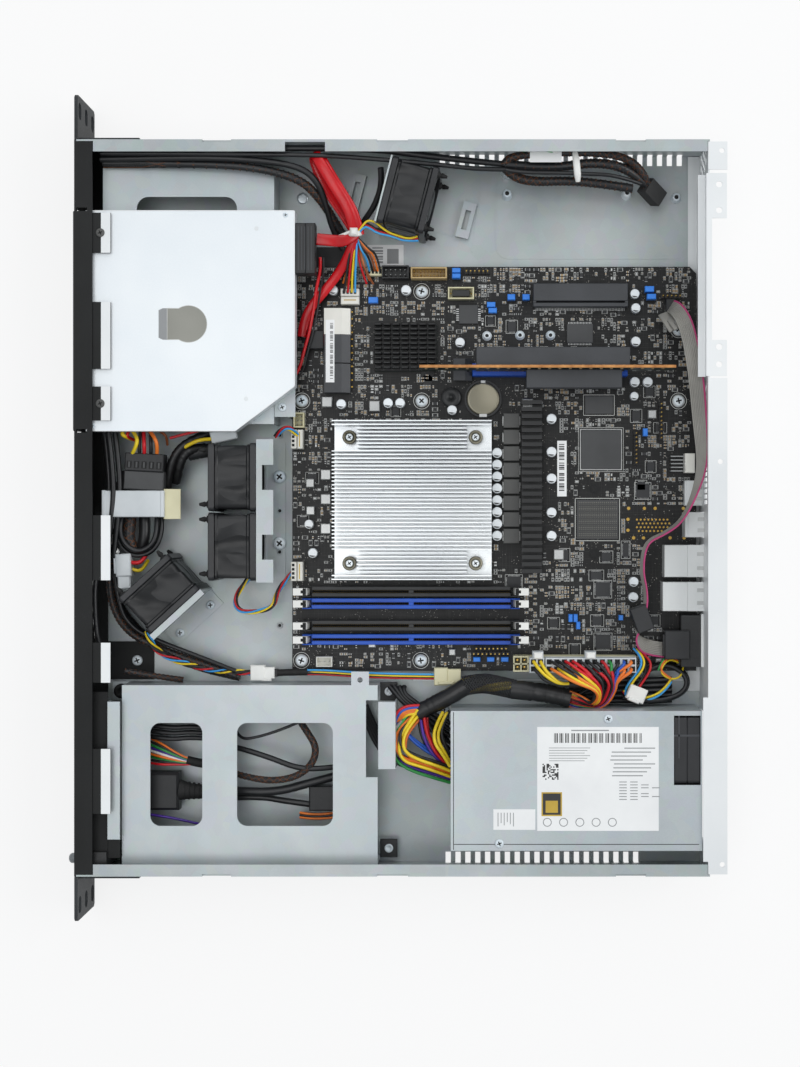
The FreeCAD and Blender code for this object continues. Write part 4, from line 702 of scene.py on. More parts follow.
# large chips: the management controller, the ball grid field, memory, flash, interface
board.block(98.5, 122.1, 174.2, 198.3, 0.3, 1.8, "chip_grey", 0.35)
board.block(97.9, 122.7, 173.6, 198.9, 0.0, 0.35, "tin")
outline_strip(board, 96.9, 123.7, 172.6, 199.9)
board.block(140.8, 164.3, 171.8, 196.5, 0.0, 0.5, "chip_grey")
for i in range(19):
    for j in range(20):
        u, v = 141.9 + i * 1.17, 172.9 + j * 1.17
        board.block(u, u + 0.6, v, v + 0.6, 0.5, 0.8, "ball_grid")
outline_strip(board, 139.6, 165.5, 170.6, 197.7, 0.35)
board.block(78.1, 88.9, 176.6, 193.5, 0.2, 1.4, "chip_grey", 0.2)
outline_strip(board, 77.2, 89.8, 175.6, 194.5, 0.3)
board.block(34.6, 46.1, 165.7, 181.4, 0.2, 1.4, "chip_grey", 0.2)
gull_pins(board, 34.6, 46.1, 165.7, 181.4, 0.9, 1.2, along=False)
board.block(23.2, 34.6, 100.6, 112.1, 0.2, 1.8, "chip_grey", 0.25)
gull_pins(board, 24.6, 33.2, 100.6, 112.1, 1.3, 1.6, across=False)
for u, v, wide, deep in (
    (131.2, 207.5, 8.2, 8.0), (186.8, 129.5, 8.5, 8.5), (190.4, 183.0, 8.6, 8.8), (222.0, 183.0, 8.6, 9.0),
    (129.8, 208.0, 5.0, 5.0), (211.0, 181.0, 5.2, 6.0), (184.0, 180.0, 4.6, 7.0), (166.5, 199.5, 8.6, 3.4),
    (212.6, 155.0, 5.0, 5.4), (33.2, 130.0, 6.0, 5.0), (30.5, 117.6, 4.4, 4.0), (228.5, 168.0, 5.0, 5.0),
    (118.0, 214.0, 5.2, 4.6), (95.0, 219.0, 4.4, 6.0), (172.5, 186.5, 5.2, 6.0), (171.0, 162.0, 6.0, 4.6),
    (60.5, 20.5, 3.0, 3.0), (84.5, 60.5, 5.0, 4.0), (151.0, 4.0, 5.0, 5.0), (24.0, 226.0, 5.0, 6.0),
    (211.0, 216.0, 5.0, 5.0), (73.0, 213.0, 5.0, 5.0), (87.0, 205.0, 6.0, 5.0), (125.0, 9.0, 5.0, 6.0),
):
    board.block(u, u + wide, v, v + deep, 0.1, 1.1, "chip_black", 0.15)
    gull_pins(board, u, u + wide, v, v + deep, 0.8, 0.6, along=wide > 8)
    outline_strip(board, u - 1.1, u + wide + 1.1, v - 1.1, v + deep + 1.1)
    claim(u - 1, u + wide + 1, v - 1, v + deep + 1)

# the processor's socket frame, under the heatsink's middle
CPU_U, CPU_V = 141.2, 73.3
board.block(CPU_U - 24, CPU_U + 24, CPU_V - 26, CPU_V + 26, 0.0, 2.8, "slot_black")
board.block(CPU_U - 15, CPU_U + 15, CPU_V - 15, CPU_V + 15, 2.8, 4.35, "bright_steel")

# chokes and cans
for k in range(8):
    u = 88.8 + 9.9 * k
    board.block(u, u + 8.8, 127.4, 137.0, 0.3, 7.0, "choke_grey", 0.35)
    board.block(u + 1.6, u + 7.2, 137.0, 137.5, 0.0, 2.6, "tin")
    board.block(u + 1.6, u + 7.2, 126.9, 127.4, 0.0, 2.6, "tin")
for u, v, r, t in (
    [(112.6 + 7.1 * k, 123.6, 3.1, 7.4) for k in range(8)]
    + [(u, 156.2, 3.1, 7.4) for u in (92.2, 112.0, 128.0, 148.4, 162.4)]
    + [(46.3, 101.3, 3.0, 6.0), (17.0, 206.3, 2.9, 6.0), (25.6, 206.9, 2.9, 6.0), (45.7, 206.9, 3.0, 6.0)]
    + [(70.0, 206.3, 3.0, 6.0), (70.0, 214.1, 3.0, 6.0), (78.4, 206.0, 2.6, 5.6), (14.8, 25.1, 3.0, 6.0)]
    + [(14.8, 68.9, 3.1, 6.0), (83.2, 29.9, 3.0, 6.0), (82.6, 58.1, 3.0, 6.0), (82.6, 65.3, 3.0, 6.0)]
    + [(190.0, 205.6, 3.0, 6.0), (199.2, 205.4, 3.0, 6.0), (86.8, 96.5, 3.0, 6.0), (172.7, 12.9, 3.0, 6.0)]
    + [(155.4, 10.6, 2.8, 6.0)]
):
    can(board, u, v, r, t)
    claim(u - r, u + r, v - r, v + r, 0.7)
# square inductors of the smaller supplies
for u, v, size, tall in (
    (78.5, 18.0, 6.4, 3.2), (81.0, 46.5, 6.6, 3.2), (80.0, 138.6, 6.6, 5.0), (170.6, 157.6, 6.2, 3.0),
    (122.5, 17.4, 6.2, 4.0), (137.2, 17.4, 6.2, 4.0), (155.0, 17.4, 6.2, 4.0), (128.0, 8.4, 5.2, 3.0),
    (144.6, 8.6, 5.2, 3.0), (225.4, 46.0, 4.4, 2.2), (236.0, 219.0, 4.4, 2.2), (86.5, 214.5, 5.2, 2.6),
    (230.5, 94.5, 4.0, 2.0),
):
    board.block(u, u + size, v, v + size, 0.0, tall, "tin", 0.5)
    claim(u, u + size, v, v + size)

# threaded posts for plug-in storage, and the gold contact field
for u, v in ((41.8, 117.5), (41.5, 137.4), (41.5, 155.8)):
    board.turned(u, v, [(2.9, 0.0), (2.9, 0.5), (2.1, 0.6), (2.1, 2.4), (1.2, 2.45)], "screw_painted_highlight", 16)
    board.turned(u, v, [(1.1, 2.4), (1.1, 2.5)], "pit_black", 12)
    claim(u - 3, u + 3, v - 3, v + 3)
for i in range(4):
    for j in range(9):
        u, v = 152.6 + i * 2.3, 208.0 + j * 2.3 + (1.15 if i % 2 else 0.0)
        board.turned(u, v, [(0.62, 0.0), (0.62, 0.12)], "gold", 8)
for u, v in (
    (145.8, 203), (145.8, 212.5), (145.8, 219), (145.8, 236), (152.4, 202.6), (159.0, 202.6),
    (163.6, 206.0), (163.6, 212.0), (163.6, 220.0), (163.6, 228.0), (163.6, 236.5), (148.6, 236.5),
    (157.0, 236.5),
):
    board.turned(u, v, [(1.0, 0.0), (1.0, 0.12)], "gold", 12)
for u, v in ((134.0, 182.3), (173.5, 182.3)):
    board.slab(ring_of(u, v, 3.6, 18), 0.0, 0.06, "pit_black")
    board.turned(u, v, [(2.1, 0.0), (2.1, 0.5)], "pit_black", 16)
    claim(u - 4, u + 4, v - 4, v + 4)

# blue jumpers on their black strips
for u, v, wide, deep in (
    (19.3, 46.5, 3.6, 5.6), (1.9, 96.6, 2.8, 5.0), (5.2, 96.6, 2.8, 5.0), (22.3, 117.5, 3.0, 5.0),
    (25.8, 118.4, 3.0, 5.0), (17.6, 129.8, 3.4, 4.6), (17.6, 138.8, 3.4, 4.2), (12.8, 212.2, 3.4, 5.4),
    (17.4, 213.4, 3.2, 5.4), (235.2, 109.3, 2.6, 4.2), (235.2, 117.5, 2.6, 4.4), (235.2, 126.0, 2.6, 4.4),
    (209.4, 166.4, 4.6, 2.4), (209.4, 169.4, 4.6, 2.4), (213.9, 171.0, 4.4, 2.4), (210.0, 196.5, 3.0, 2.6),
    (98.0, 211.0, 4.6, 2.8),
):
    board.block(u - 0.2, u + wide + 0.2, v - 0.2, v + deep + 0.2, 0.0, 2.4, "slot_black")
    board.block(u, u + wide, v, v + deep, 2.4, 8.2, "jumper_blue", 0.3)
    claim(u, u + wide, v, v + deep)
for u, v, count, along in (
    (2.4, 104.0, 6, 1), (17.2, 222.0, 5, 1), (232.0, 108.5, 9, 1), (228.8, 110.0, 8, 1),
    (99.5, 206.0, 8, 0), (82.0, 221.0, 9, 0),
):
    for k in range(count):
        a, b = (u, v + k * 2.54) if along else (u + k * 2.54, v)
        board.block(a, a + 2.3, b, b + 2.3, 0.0, 2.4, "slot_black", 0.2)
        board.block(a + 0.85, a + 1.45, b + 0.85, b + 1.45, 2.4, 8.0, "gold")
        claim(a, a + 2.3, b, b + 2.3, 0.3)
board.block(105.0, 138.6, 159.9, 165.6, 0.0, 0.12, "label_white")
for k in range(24):
    if k % 5 != 3:
        u = 107.0 + k * 1.25
        board.block(u, u + 0.5 + (k % 3) * 0.25, 161.0, 164.2, 0.12, 0.16, "label_ink")

# ring pads under the board's own screws
BOARD_SCREWS = (
    (81.0, 5.8), (81.0, 78.1), (15.0, 78.1), (81.0, 233.1), (38.0, 233.1), (237.6, 5.6), (237.6, 77.6),
)
for u, v in BOARD_SCREWS:
    board.slab(ring_of(u, v, 4.6, 24), 0.0, 0.05, "pit_black")
    for bar in arc_bars(u, v, 4.7, 5.0, 24):
        board.slab(bar, 0.0, 0.06, "silk_white")
    claim(u - 5, u + 5, v - 5, v + 5)

board.done(replaces=("board_chips", "power_parts"), slot="chip_black")

# the small surface-mount parts: patches of even rows, as a router lays them
small = Piece("board_small_parts").at(BOARD_X, BOARD_Y, BOARD_TOP)
rng = random.Random(1907)
KINDS = (
    (1.6, 0.85, 0.8, "cap_tan", 0.30),
    (1.6, 0.85, 0.5, "chip_black", 0.30),
    (1.0, 0.55, 0.5, "cap_tan", 0.12),
    (2.1, 1.3, 1.1, "cap_tan", 0.07),
    (3.0, 1.6, 1.1, "chip_black", 0.11),
    (1.5, 0.9, 0.1, "tin", 0.10),
)


def zone_density(u, v):
    """How crowded the board is at a place."""
    for u0, u1, v0, v1, share in (
        (88, 195, 0, 28, 0.55),
        (166, 244, 150, 226, 0.92),
        (64, 170, 198, 244, 0.85),
        (0, 60, 88, 165, 0.75),
        (0, 100, 0, 130, 0.72),
        (196, 244, 0, 150, 0.6),
        (120, 175, 150, 172, 0.5),
    ):
        if u0 <= u < u1 and v0 <= v < v1:
            return share
    return 0.66


for pu in range(24):
    for pv in range(26):
        u0, v0 = 1.0 + pu * 10.1, 1.0 + pv * 9.3
        turned = rng.random() < 0.5
        pitch_u, pitch_v = (1.75, 2.6) if turned else (2.6, 1.75)
        dense = zone_density(u0, v0) * rng.choice((0.5, 0.9, 1.0, 1.2))
        row_kind = rng.random()
        for i in range(int(10.0 / pitch_u)):
            for j in range(int(9.2 / pitch_v)):
                if rng.random() > dense:
                    continue
                pick = row_kind if rng.random() < 0.6 else rng.random()
                total = 0.0
                for long, wide, tall, material, share in KINDS:
                    total += share
                    if pick <= total:
                        break
                a, b = u0 + i * pitch_u, v0 + j * pitch_v
                du, dv = (wide, long) if turned else (long, wide)
                spot = (a - 0.3, a + du + 0.3, b - 0.3, b + dv + 0.3)
                if a + du > 242 or b + dv > 241 or any(overlaps(spot, t) for t in TAKEN):
                    continue
                end = 0.32 if long < 2.5 else 0.25
                if long > 2.5:
                    TAKEN.append(spot)
                if turned:
                    small.block(a + 0.04, a + du - 0.04, b + end, b + dv - end, 0.0, tall, material)
                    small.block(a, a + du, b, b + end, 0.0, tall + 0.02, "tin")
                    small.block(a, a + du, b + dv - end, b + dv, 0.0, tall + 0.02, "tin")
                else:
                    small.block(a + end, a + du - end, b + 0.04, b + dv - 0.04, 0.0, tall, material)
                    small.block(a, a + end, b, b + dv, 0.0, tall + 0.02, "tin")
                    small.block(a + du - end, a + du, b, b + dv, 0.0, tall + 0.02, "tin")
                if rng.random() < 0.68:
                    outline_strip(small, spot[0] - 0.05, spot[1] + 0.05, spot[2] - 0.05, spot[3] + 0.05, 0.16)
small.done(slot="component_dark")

# memory sockets: two black, two blue, each with its key and rows of contacts
slots = Piece("memory_sockets").at(BOARD_X, BOARD_Y, BOARD_TOP)
for u, material in (
    (195.7, "slot_black"), (202.9, "blue_plastic"), (216.1, "slot_black"), (224.4, "blue_plastic"),
):
    v0, v1 = 7.2, 137.2
    for side in (-1, 1):
        a, b = sorted((u + side * 0.8, u + side * 3.1))
        slots.block(a, b, v0 + 5.4, v1 - 5.4, 0.0, 9.5, material, 0.25)
        c, d = sorted((u + side * 2.45, u + side * 3.1))
        for v in (v0, v1 - 5.4):
            slots.block(c, d, v, v + 5.4, 0.0, 12.0, material, 0.2)
    # the slot's floor in near-black: painted shade down in the slot
    slots.block(u - 0.8, u + 0.8, v0 + 5.4, v1 - 5.4, 0.0, 3.0, "pit_black")
    slots.block(u - 0.8, u + 0.8, 70.8, 73.6, 3.0, 9.5, material)
    for v in (v0, v1 - 5.4):
        slots.block(u - 3.1, u + 3.1, v, v + 5.4, 0.0, 0.75, material)
    # rows of contacts deep in the slot, in gold darkened as painted shade
    for k in range(100):
        v = 13.6 + k * 1.18
        for side in (-1, 1):
            a, b = sorted((u + side * 0.55, u + side * 0.8))
            slots.block(a, b, v, v + 0.5, 3.0, 7.4, "gold_painted_shade")
slots.done(replaces=("dimm_slots",), slot="blue_plastic")

# card sockets: the main one, the low mezzanine one, and the riser's two
cards = Piece("card_sockets").at(BOARD_X, BOARD_Y, BOARD_TOP)
RISER_U = 63.0
u, v0, v1, high = RISER_U, 108.8, 201.5, 11.2
for side in (-1, 1):
    a, b = sorted((u + side * 1.0, u + side * 3.7))
    cards.block(a, b, v0, v1, 0.0, high, "blue_plastic", 0.3)
    v = v0 + 2.4
    while v < v1 - 2.6:
        a, b = sorted((u + side * 0.7, u + side * 1.05))
        cards.block(a, b, v, v + 0.5, 1.0, high - 0.7, "gold")
        v += 1.0
# the slot's floor in near-black: painted shade down in the slot
cards.block(u - 1.0, u + 1.0, v0, v1, 0.0, 2.4, "pit_black")
for v in (v0, v1 - 2.0):
    cards.block(u - 1.0, u + 1.0, v, v + 2.0, 2.4, high, "blue_plastic")
cards.block(61.6, 64.4, 152.0, 153.6, 2.4, high, "blue_plastic")
# the low mezzanine socket
cards.block(11.0, 21.6, 145.2, 202.0, 0.0, 7.5, "slot_grey", 0.4)
cards.block(22.6, 25.0, 145.2, 202.0, 0.0, 7.5, "slot_grey", 0.3)
# the slit's floor in near-black: painted shade down in the slit
cards.block(21.6, 22.6, 145.2, 202.0, 0.0, 3.0, "pit_black")
for k in range(60):
    cards.block(25.0, 26.6, 147.0 + k * 0.9, 147.35 + k * 0.9, 0.0, 0.35, "tin")
for v in (145.2, 200.2):
    cards.block(21.6, 22.6, v, v + 1.8, 0.0, 7.5, "slot_grey")
# the riser's sockets lie on their sides and open to the left and the right
RISER_X, RISER_Y, RISER_TOP = BOARD_X + RISER_U, BOARD_Y + 111.2, 40.2
cards.at(0, 0, 0)
for side, start, long in ((-1, 0.0, 90.8), (1, 29.5, 56.5)):
    y0, y1 = RISER_Y + start, RISER_Y + start + long
    a, b = sorted((RISER_X + side * 1.1, RISER_X + side * 12.1))
    low, high = RISER_TOP - 15.5, RISER_TOP - 7.0
    c, d = sorted((RISER_X + side * 1.1, RISER_X + side * 4.0))
    cards.block(a, b, y0, y1, low, low + 3.3, "slot_grey", 0.2)
    cards.block(a, b, y0, y1, high - 3.2, high, "slot_grey", 0.35)
    cards.block(c, d, y0, y1, low + 3.3, high - 3.2, "slot_grey")
    for y in (y0, y1 - 2.0):
        cards.block(a, b, y, y + 2.0, low + 3.3, high - 3.2, "slot_grey")
    y = y0 + 3.0
    while y < y1 - 3.0:
        e, f = sorted((RISER_X + side * 4.5, RISER_X + side * 11.2))
        cards.block(e, f, y, y + 0.5, high - 3.45, high - 3.2, "gold")
        y += 1.0
cards.done(replaces=("expansion_slots",), slot="blue_plastic")

# riser card trim: gold contacts where it stands in its socket, and its small parts
trim = Piece("riser_trim")
for k in range(70):
    y = BOARD_Y + 112.6 + k * 1.2
    for side in (-1, 1):
        a, b = sorted((RISER_X + side * 0.8, RISER_X + side * 0.86))
        trim.block(a, b, y, y + 0.7, BOARD_TOP + 3.2, BOARD_TOP + 8.5, "gold")
for k in range(24):
    y = BOARD_Y + 81.0 + k * 6.05
    trim.block(RISER_X + 0.8, RISER_X + 1.3, y, y + 1.6, RISER_TOP - 4.4, RISER_TOP - 3.6, "cap_tan")
    trim.block(RISER_X - 1.3, RISER_X - 0.8, y + 1.5, y + 3.1, RISER_TOP - 4.6, RISER_TOP - 3.7, "cap_tan")
trim.done(slot="green_board")

# the chipset's pin-fin heatsink: seven columns and ten rows of flat pins
fins = Piece("chipset_fins").at(BOARD_X + 35.0, BOARD_Y + 49.9, BOARD_TOP)
fins.block(0.0, 28.2, 0.0, 37.4, 1.2, 3.6, "heat_black", 0.3)
for i in range(10):
    for j in range(7):
        u, v = 0.25 + i * 2.86, 0.3 + j * 5.35
        fins.block(u, u + 1.25, v, v + 4.3, 3.6, 11.9, "heat_black", 0.3)
fins.block(28.2, 34.0, 28.0, 35.6, 0.0, 0.7, "heat_black")
fins.turned(33.2, 31.6, [(3.2, 0.0), (3.2, 0.7)], "heat_black", 20)
fins.block(0.0, 28.2, 0.0, 37.4, 0.0, 1.2, "green_board")
fins.done(replaces=("chipset_heatsink",), slot="blue_aluminium")

# the coin cell in its ring, and the sounder
cell = Piece("coin_cell").at(BOARD_X + 79.9, BOARD_Y + 115.2, BOARD_TOP)
for bar in arc_bars(0, 0, 10.15, 11.2, 32):
    cell.slab(bar, 0.0, 3.2, "slot_black")
cell.slab(ring_of(0, 0, 10.2, 32), 0.0, 0.7, "slot_black")
cell.turned(0, 0, [(9.4, 0.8), (9.95, 1.0), (9.95, 3.0), (9.75, 3.5), (9.2, 3.8), (8.6, 3.95), (8.3, 3.85),
                   (0.5, 3.85)], "cell_steel", 40)
cell.block(9.0, 11.1, -2.4, 2.4, 3.2, 3.98, "tin", 0.2)
cell.block(-11.1, -9.3, -1.5, 1.5, 3.2, 3.9, "tin", 0.2)
cell.turned(-0.8, -19.2,
            [(5.6, 0.0), (6.0, 0.4), (6.0, 5.4), (5.6, 5.9), (1.3, 5.98), (1.25, 5.4), (0.2, 5.4)],
            "slot_black", 28)
cell.done(replaces=("cmos_battery",), slot="bright_steel")

# connectors along the board's edges
plugs = Piece("board_sockets").at(BOARD_X, BOARD_Y, BOARD_TOP)


def pin_header(p, u, v, wide, deep, tall, material, rows, cols, pin="gold", wall=0.9):
    p.block(u, u + wide, v, v + deep, 0.0, 1.4, material)
    for a, b, c, d in (
        (u, u + wall, v, v + deep), (u + wide - wall, u + wide, v, v + deep),
        (u + wall, u + wide - wall, v, v + wall), (u + wall, u + wide - wall, v + deep - wall, v + deep),
    ):
        p.block(a, b, c, d, 1.4, tall, material, 0.15)
    for i in range(rows):
        for j in range(cols):
            a = u + wall + (wide - 2 * wall) * (i + 0.5) / rows
            b = v + wall + (deep - 2 * wall) * (j + 0.5) / cols
            p.block(a - 0.32, a + 0.32, b - 0.32, b + 0.32, 1.4, tall - 1.6, pin, 0.2)


pin_header(plugs, 0.4, 54.5, 7.8, 16.2, 8.5, "slot_black", 2, 5, "tin")
plugs.block(3.2, 5.4, 69.6, 70.7, 1.4, 8.52, "slot_black")
pin_header(plugs, 1.4, 71.9, 6.8, 21.6, 8.5, "tan_plastic", 2, 10)
for u in (98.8, 178.0):
    plugs.block(u, u + 11.4, 0.3, 3.6, 0.0, 10.0, "cream_plastic", 0.3)
    plugs.block(u, u + 11.4, 4.0, 7.2, 0.0, 8.6, "cream_plastic", 0.3)
    for k in range(4):
        plugs.block(u + 1.0 + 2.5 * k, u + 2.6 + 2.5 * k, 0.9, 2.5, 9.95, 10.04, "pit_black")
    plugs.block(u + 1.2, u + 10.2, 5.0, 5.6, 8.58, 8.64, "label_gold")
pin_header(plugs, 88.4, 1.4, 9.0, 6.4, 7.0, "ivory_plastic", 3, 2, "tin", 0.8)
pin_header(plugs, 13.0, 94.1, 7.2, 15.6, 6.0, "ivory_plastic", 1, 8, "gold", 0.8)
plugs.block(14.6, 18.6, 96.6, 107.2, 1.4, 5.4, "slot_black", 0.3)
pin_header(plugs, 235.0, 14.9, 6.0, 9.6, 6.0, "cream_plastic", 1, 3, "tin", 0.6)
# side-entry socket at the rear, its pins run forward
plugs.block(113.0, 124.6, 236.0, 242.0, 0.0, 9.0, "cream_plastic", 0.3)
for k in range(5):
    plugs.block(114.2 + k * 2.2, 114.8 + k * 2.2, 227.5, 236.0, 2.2, 2.8, "tin")
    plugs.block(114.2 + k * 2.2, 114.8 + k * 2.2, 227.5, 228.1, 0.0, 2.8, "tin")
# the white fan socket with its wires pushed in
plugs.block(14.2, 18.6, 29.8, 40.8, 0.0, 7.5, "cream_plastic", 0.3)
plugs.block(18.8, 23.3, 29.8, 40.8, 0.0, 5.8, "cream_plastic", 0.3)
plugs.block(20.4, 21.2, 31.6, 39.0, 5.78, 5.84, "tan_plastic")
for k in range(4):
    plugs.block(15.4, 17.4, 31.0 + k * 2.27, 32.4 + k * 2.27, 7.48, 7.54, "pit_black")
# drive ports: a white one and three grey ones, sloped towards the rear
for u0, u1, material in ((26.0, 41.6, "cream_plastic"), (41.6, 58.6, "slot_grey"), (59.2, 76.5, "slot_grey")):
    rings = []
    for u in (u0, u1):
        rings.append([(u, 20.0, 0.0), (u, 35.5, 0.0), (u, 35.5, 6.4), (u, 30.5, 8.6), (u, 20.0, 8.6)])
    plugs.rings(rings, material)
    plugs.block(u0 + 1.0, u1 - 1.0, 19.95, 20.05, 2.0, 7.4, "pit_black")
for k in range(12):
    u = 27.0 + k * 4.1
    plugs.block(u, u + 0.8, 35.5, 36.6, 0.0, 1.0, "gold")
plugs.block(33.0, 70.5, 21.0, 26.2, 8.6, 8.68, "label_white")
for k in range(34):
    if k % 7 != 4:
        plugs.block(35.0 + k, 35.35 + (k % 3) * 0.18 + k, 23.6, 25.4, 8.68, 8.72, "label_ink")
# power sockets: four open keyways, then the long one that holds the main plug
plugs.block(234.0, 243.4, 133.2, 150.4, 0.0, 3.0, "ivory_plastic")
for a, b in ((234.0, 234.9), (242.5, 243.4), (238.3, 239.1)):
    plugs.block(a, b, 133.2, 142.4, 3.0, 12.6, "ivory_plastic")
for v in (133.2, 137.4, 141.6):
    plugs.block(234.9, 242.5, v, v + 0.8, 3.0, 12.6, "ivory_plastic")
for i in range(2):
    for j in range(2):
        u, v = 236.6 + i * 4.2, 135.7 + j * 4.2
        plugs.block(u - 0.5, u + 0.5, v - 0.5, v + 0.5, 3.0, 9.0, "gold")
plugs.block(234.0, 243.4, 142.4, 206.6, 0.0, 11.4, "ivory_plastic", 0.3)
plugs.done(replaces=("board_connectors",), bevel=0.12, slot="latch_white")

# rear ports: folded metal shells with springs, tongues and openings
ports = Piece("rear_port_shells")
PORT_Y1 = 184.5
PORT_DEEP = PORT_Y1 - 12.0


def port_shell(u, wide, tall, deep, openings):
    """A metal-cased port: a back block, four walls, a dark end that is painted shade, and what stands in its
    openings.
    """
    x0, x1 = BOARD_X + u, BOARD_X + u + wide
    z0, z1 = BOARD_TOP, BOARD_TOP + tall
    ports.block(x0, x1, PORT_Y1 - deep, PORT_DEEP, z0, z1, "port_steel", 0.3)
    ports.block(x0, x1, PORT_DEEP, PORT_Y1, z1 - 0.5, z1, "port_steel")
    ports.block(x0, x1, PORT_DEEP, PORT_Y1, z0, z0 + 0.5, "port_steel")
    ports.block(x0, x0 + 0.5, PORT_DEEP, PORT_Y1, z0 + 0.5, z1 - 0.5, "port_steel")
    ports.block(x1 - 0.5, x1, PORT_DEEP, PORT_Y1, z0 + 0.5, z1 - 0.5, "port_steel")
    ports.block(x0 + 0.5, x1 - 0.5, PORT_DEEP - 0.2, PORT_DEEP, z0 + 0.5, z1 - 0.5, "pit_black")
    for a, b, c, d, colour in openings:
        ports.block(x0 + a, x0 + b, PORT_Y1 - 11.0, PORT_Y1 - 0.8, z0 + c, z0 + d, colour)
    for share in (0.28, 0.72):
        xm = x0 + wide * share
        ports.block(xm - 1.1, xm + 1.1, PORT_Y1 - 6.5, PORT_Y1 - 1.5, z1, z1 + 0.15, "tin")


def network_jack(u, wide, deep, inner):
    """A network port: its contact board, and the lamp column on each side of the opening."""
    columns = ((1.2, 2.4, 3, 10, "slot_black"), (inner - 0.4, inner + 0.8, 3, 10, "slot_black"))
    port_shell(u, wide, 13.4, deep, ((2.0, inner, 1.2, 2.2, "slot_black"), *columns))


usb_tongues = [(2.2, 12.6, low, low + 1.6, "blue_plastic") for low in (4.2, 11.4)]
port_shell(148.3, 14.8, 15.8, 14.0, (*usb_tongues, (0.5, 14.3, 7.4, 8.4, "port_steel")))
network_jack(167.8, 19.1, 26.0, 17.1)
network_jack(189.9, 17.3, 27.0, 15.3)
# the display port: a black body, a flange, and a blue socket inside a D-shaped shell
x0, x1, z0 = BOARD_X + 209.6, BOARD_X + 240.6, BOARD_TOP
FLANGE_Y = PORT_Y1 - 2.6
ports.block(x0, x1, PORT_Y1 - 16.0, PORT_Y1 - 4.0, z0, z0 + 12.4, "slot_black", 0.3)
for k in range(7):
    x = x0 + 2.0 + 4.0 * k
    ports.block(x, x + 2.4, PORT_Y1 - 15.4, PORT_Y1 - 6.0, z0 + 12.4, z0 + 12.7, "slot_black")
ports.block(x0, x1, PORT_Y1 - 4.0, FLANGE_Y, z0, z0 + 12.4, "port_steel")


def d_outline(low_in, high_in, low, high):
    """The display port's D shape, set in by this much at its bottom and at its top."""
    return [
        (x0 + low_in, z0 + low), (x1 - low_in, z0 + low), (x1 - high_in, z0 + high),
        (x0 + high_in, z0 + high),
    ]


shell, socket = d_outline(7.0, 5.6, 2.0, 10.6), d_outline(8.0, 6.8, 2.9, 9.7)
for k in range(4):
    wall = (shell[k], shell[(k + 1) % 4], socket[(k + 1) % 4], socket[k])
    ports.rings([[(x, y, z) for x, z in wall] for y in (FLANGE_Y, PORT_Y1)], "port_steel")
ports.rings([[(x, y, z) for x, z in socket] for y in (PORT_Y1 - 2.7, PORT_Y1 - 1.6)], "blue_plastic")
for row in range(3):
    for k in range(5):
        x, z = x0 + 10.4 + k * 2.3 + (1.1 if row == 1 else 0.0), z0 + 3.9 + row * 2.0
        ports.block(x - 0.4, x + 0.4, PORT_Y1 - 1.7, PORT_Y1 - 1.5, z, z + 0.8, "pit_black")
for x in (x0 + 3.2, x1 - 3.2):
    nut = [(2.3, FLANGE_Y), (2.3, PORT_Y1), (1.2, PORT_Y1), (1.2, PORT_Y1 - 2.0)]
    ports.turned_y(x, z0 + 6.2, nut, "bright_steel", 6, False)
port_shell(129.2, 15.0, 5.6, 13.0, ((2.4, 12.6, 2.2, 3.2, "slot_black"),))
ports.done(replaces=("rear_ports",), slot="port_steel")

# the board's pan-head screws and the heatsink's sprung screws
screws = Piece("board_fixings").at(BOARD_X, BOARD_Y, BOARD_TOP)
for k, (u, v) in enumerate(BOARD_SCREWS):
    screws.turned(u, v, [(3.9, 0.0), (3.9, 0.4), (3.4, 0.45)], "tin", 24)
    recessed_screw(screws, u, v, 0.4, 3.4, 1.4, turn=0.3 + 0.5 * k)
for across in (-37.5, 37.5):
    for along in (-37.5, 37.5):
        u, v = CPU_U + across, CPU_V + along
        for k in range(5):
            z = 8.45 + k * 1.15
            screws.turned(u, v, [(3.0, z), (3.35, z + 0.3), (3.0, z + 0.6)], "tin", 18)
        screws.turned(u, v, [(1.9, -3.0), (1.9, 14.4)], "tin", 12)
        screws.turned(u, v, [(4.0, 14.4), (4.2, 14.7), (4.2, 16.2), (3.9, 16.7), (2.9, 16.8), (2.7, 16.0),
                             (0.4, 16.0)], "cell_steel", 28)
        screws.turned(u, v, [(2.3, 15.9), (2.3, 16.4), (1.9, 16.7)], "bright_steel", 20)
        cross_recess(screws, u, v, 1.3, 0.3, 16.6, 16.75, 0.6)
screws.done(replaces=("board_screws",), slot="bright_steel")

# each memory latch's notch, drawn dark as painted shade, and its two mould marks
for k, latch in enumerate(LATCHES):
    low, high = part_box(latch)
    x0, y0 = low[0] / MM, low[1] / MM
    x1, y1, z1 = high[0] / MM, high[1] / MM, high[2] / MM
    middle = (x0 + x1) / 2
    mark = Piece(f"latch_notch_{k + 1}")
    inner, out = (y0, 1) if k % 2 else (y1, -1)
    for a, b, half in ((1.2, 3.2, 2.0), (3.2, 4.4, 0.9)):
        c, d = sorted((inner + out * a, inner + out * b))
        mark.block(middle - half, middle + half, c, d, z1 - 0.02, z1 + 0.03, "pit_black")
    for side in (-2.4, 2.4):
        c, d = sorted((inner + out * 6.2, inner + out * 7.0))
        mark.block(middle + side - 0.4, middle + side + 0.4, c, d, z1 - 0.02, z1 + 0.03, "label_grey")
    mark.done(body=latch, slot="latch_white")

# ---- chassis, drives, fans and power supply ------------------------------------------

metal = Piece("chassis_details")
# front panel tabs: bare plate beyond the black flange
TAB_TOP = 42.4
for x, wide in ((-172.4, 23.4), (-120.3, 39.1), (-70.9, 19.8), (4.3, 37.9), (78.7, 23.3), (140.7, 37.9)):
    metal.block(x, x + wide, back(15.4), back(20.9), TAB_TOP, TAB_TOP + 0.06, "white_steel")
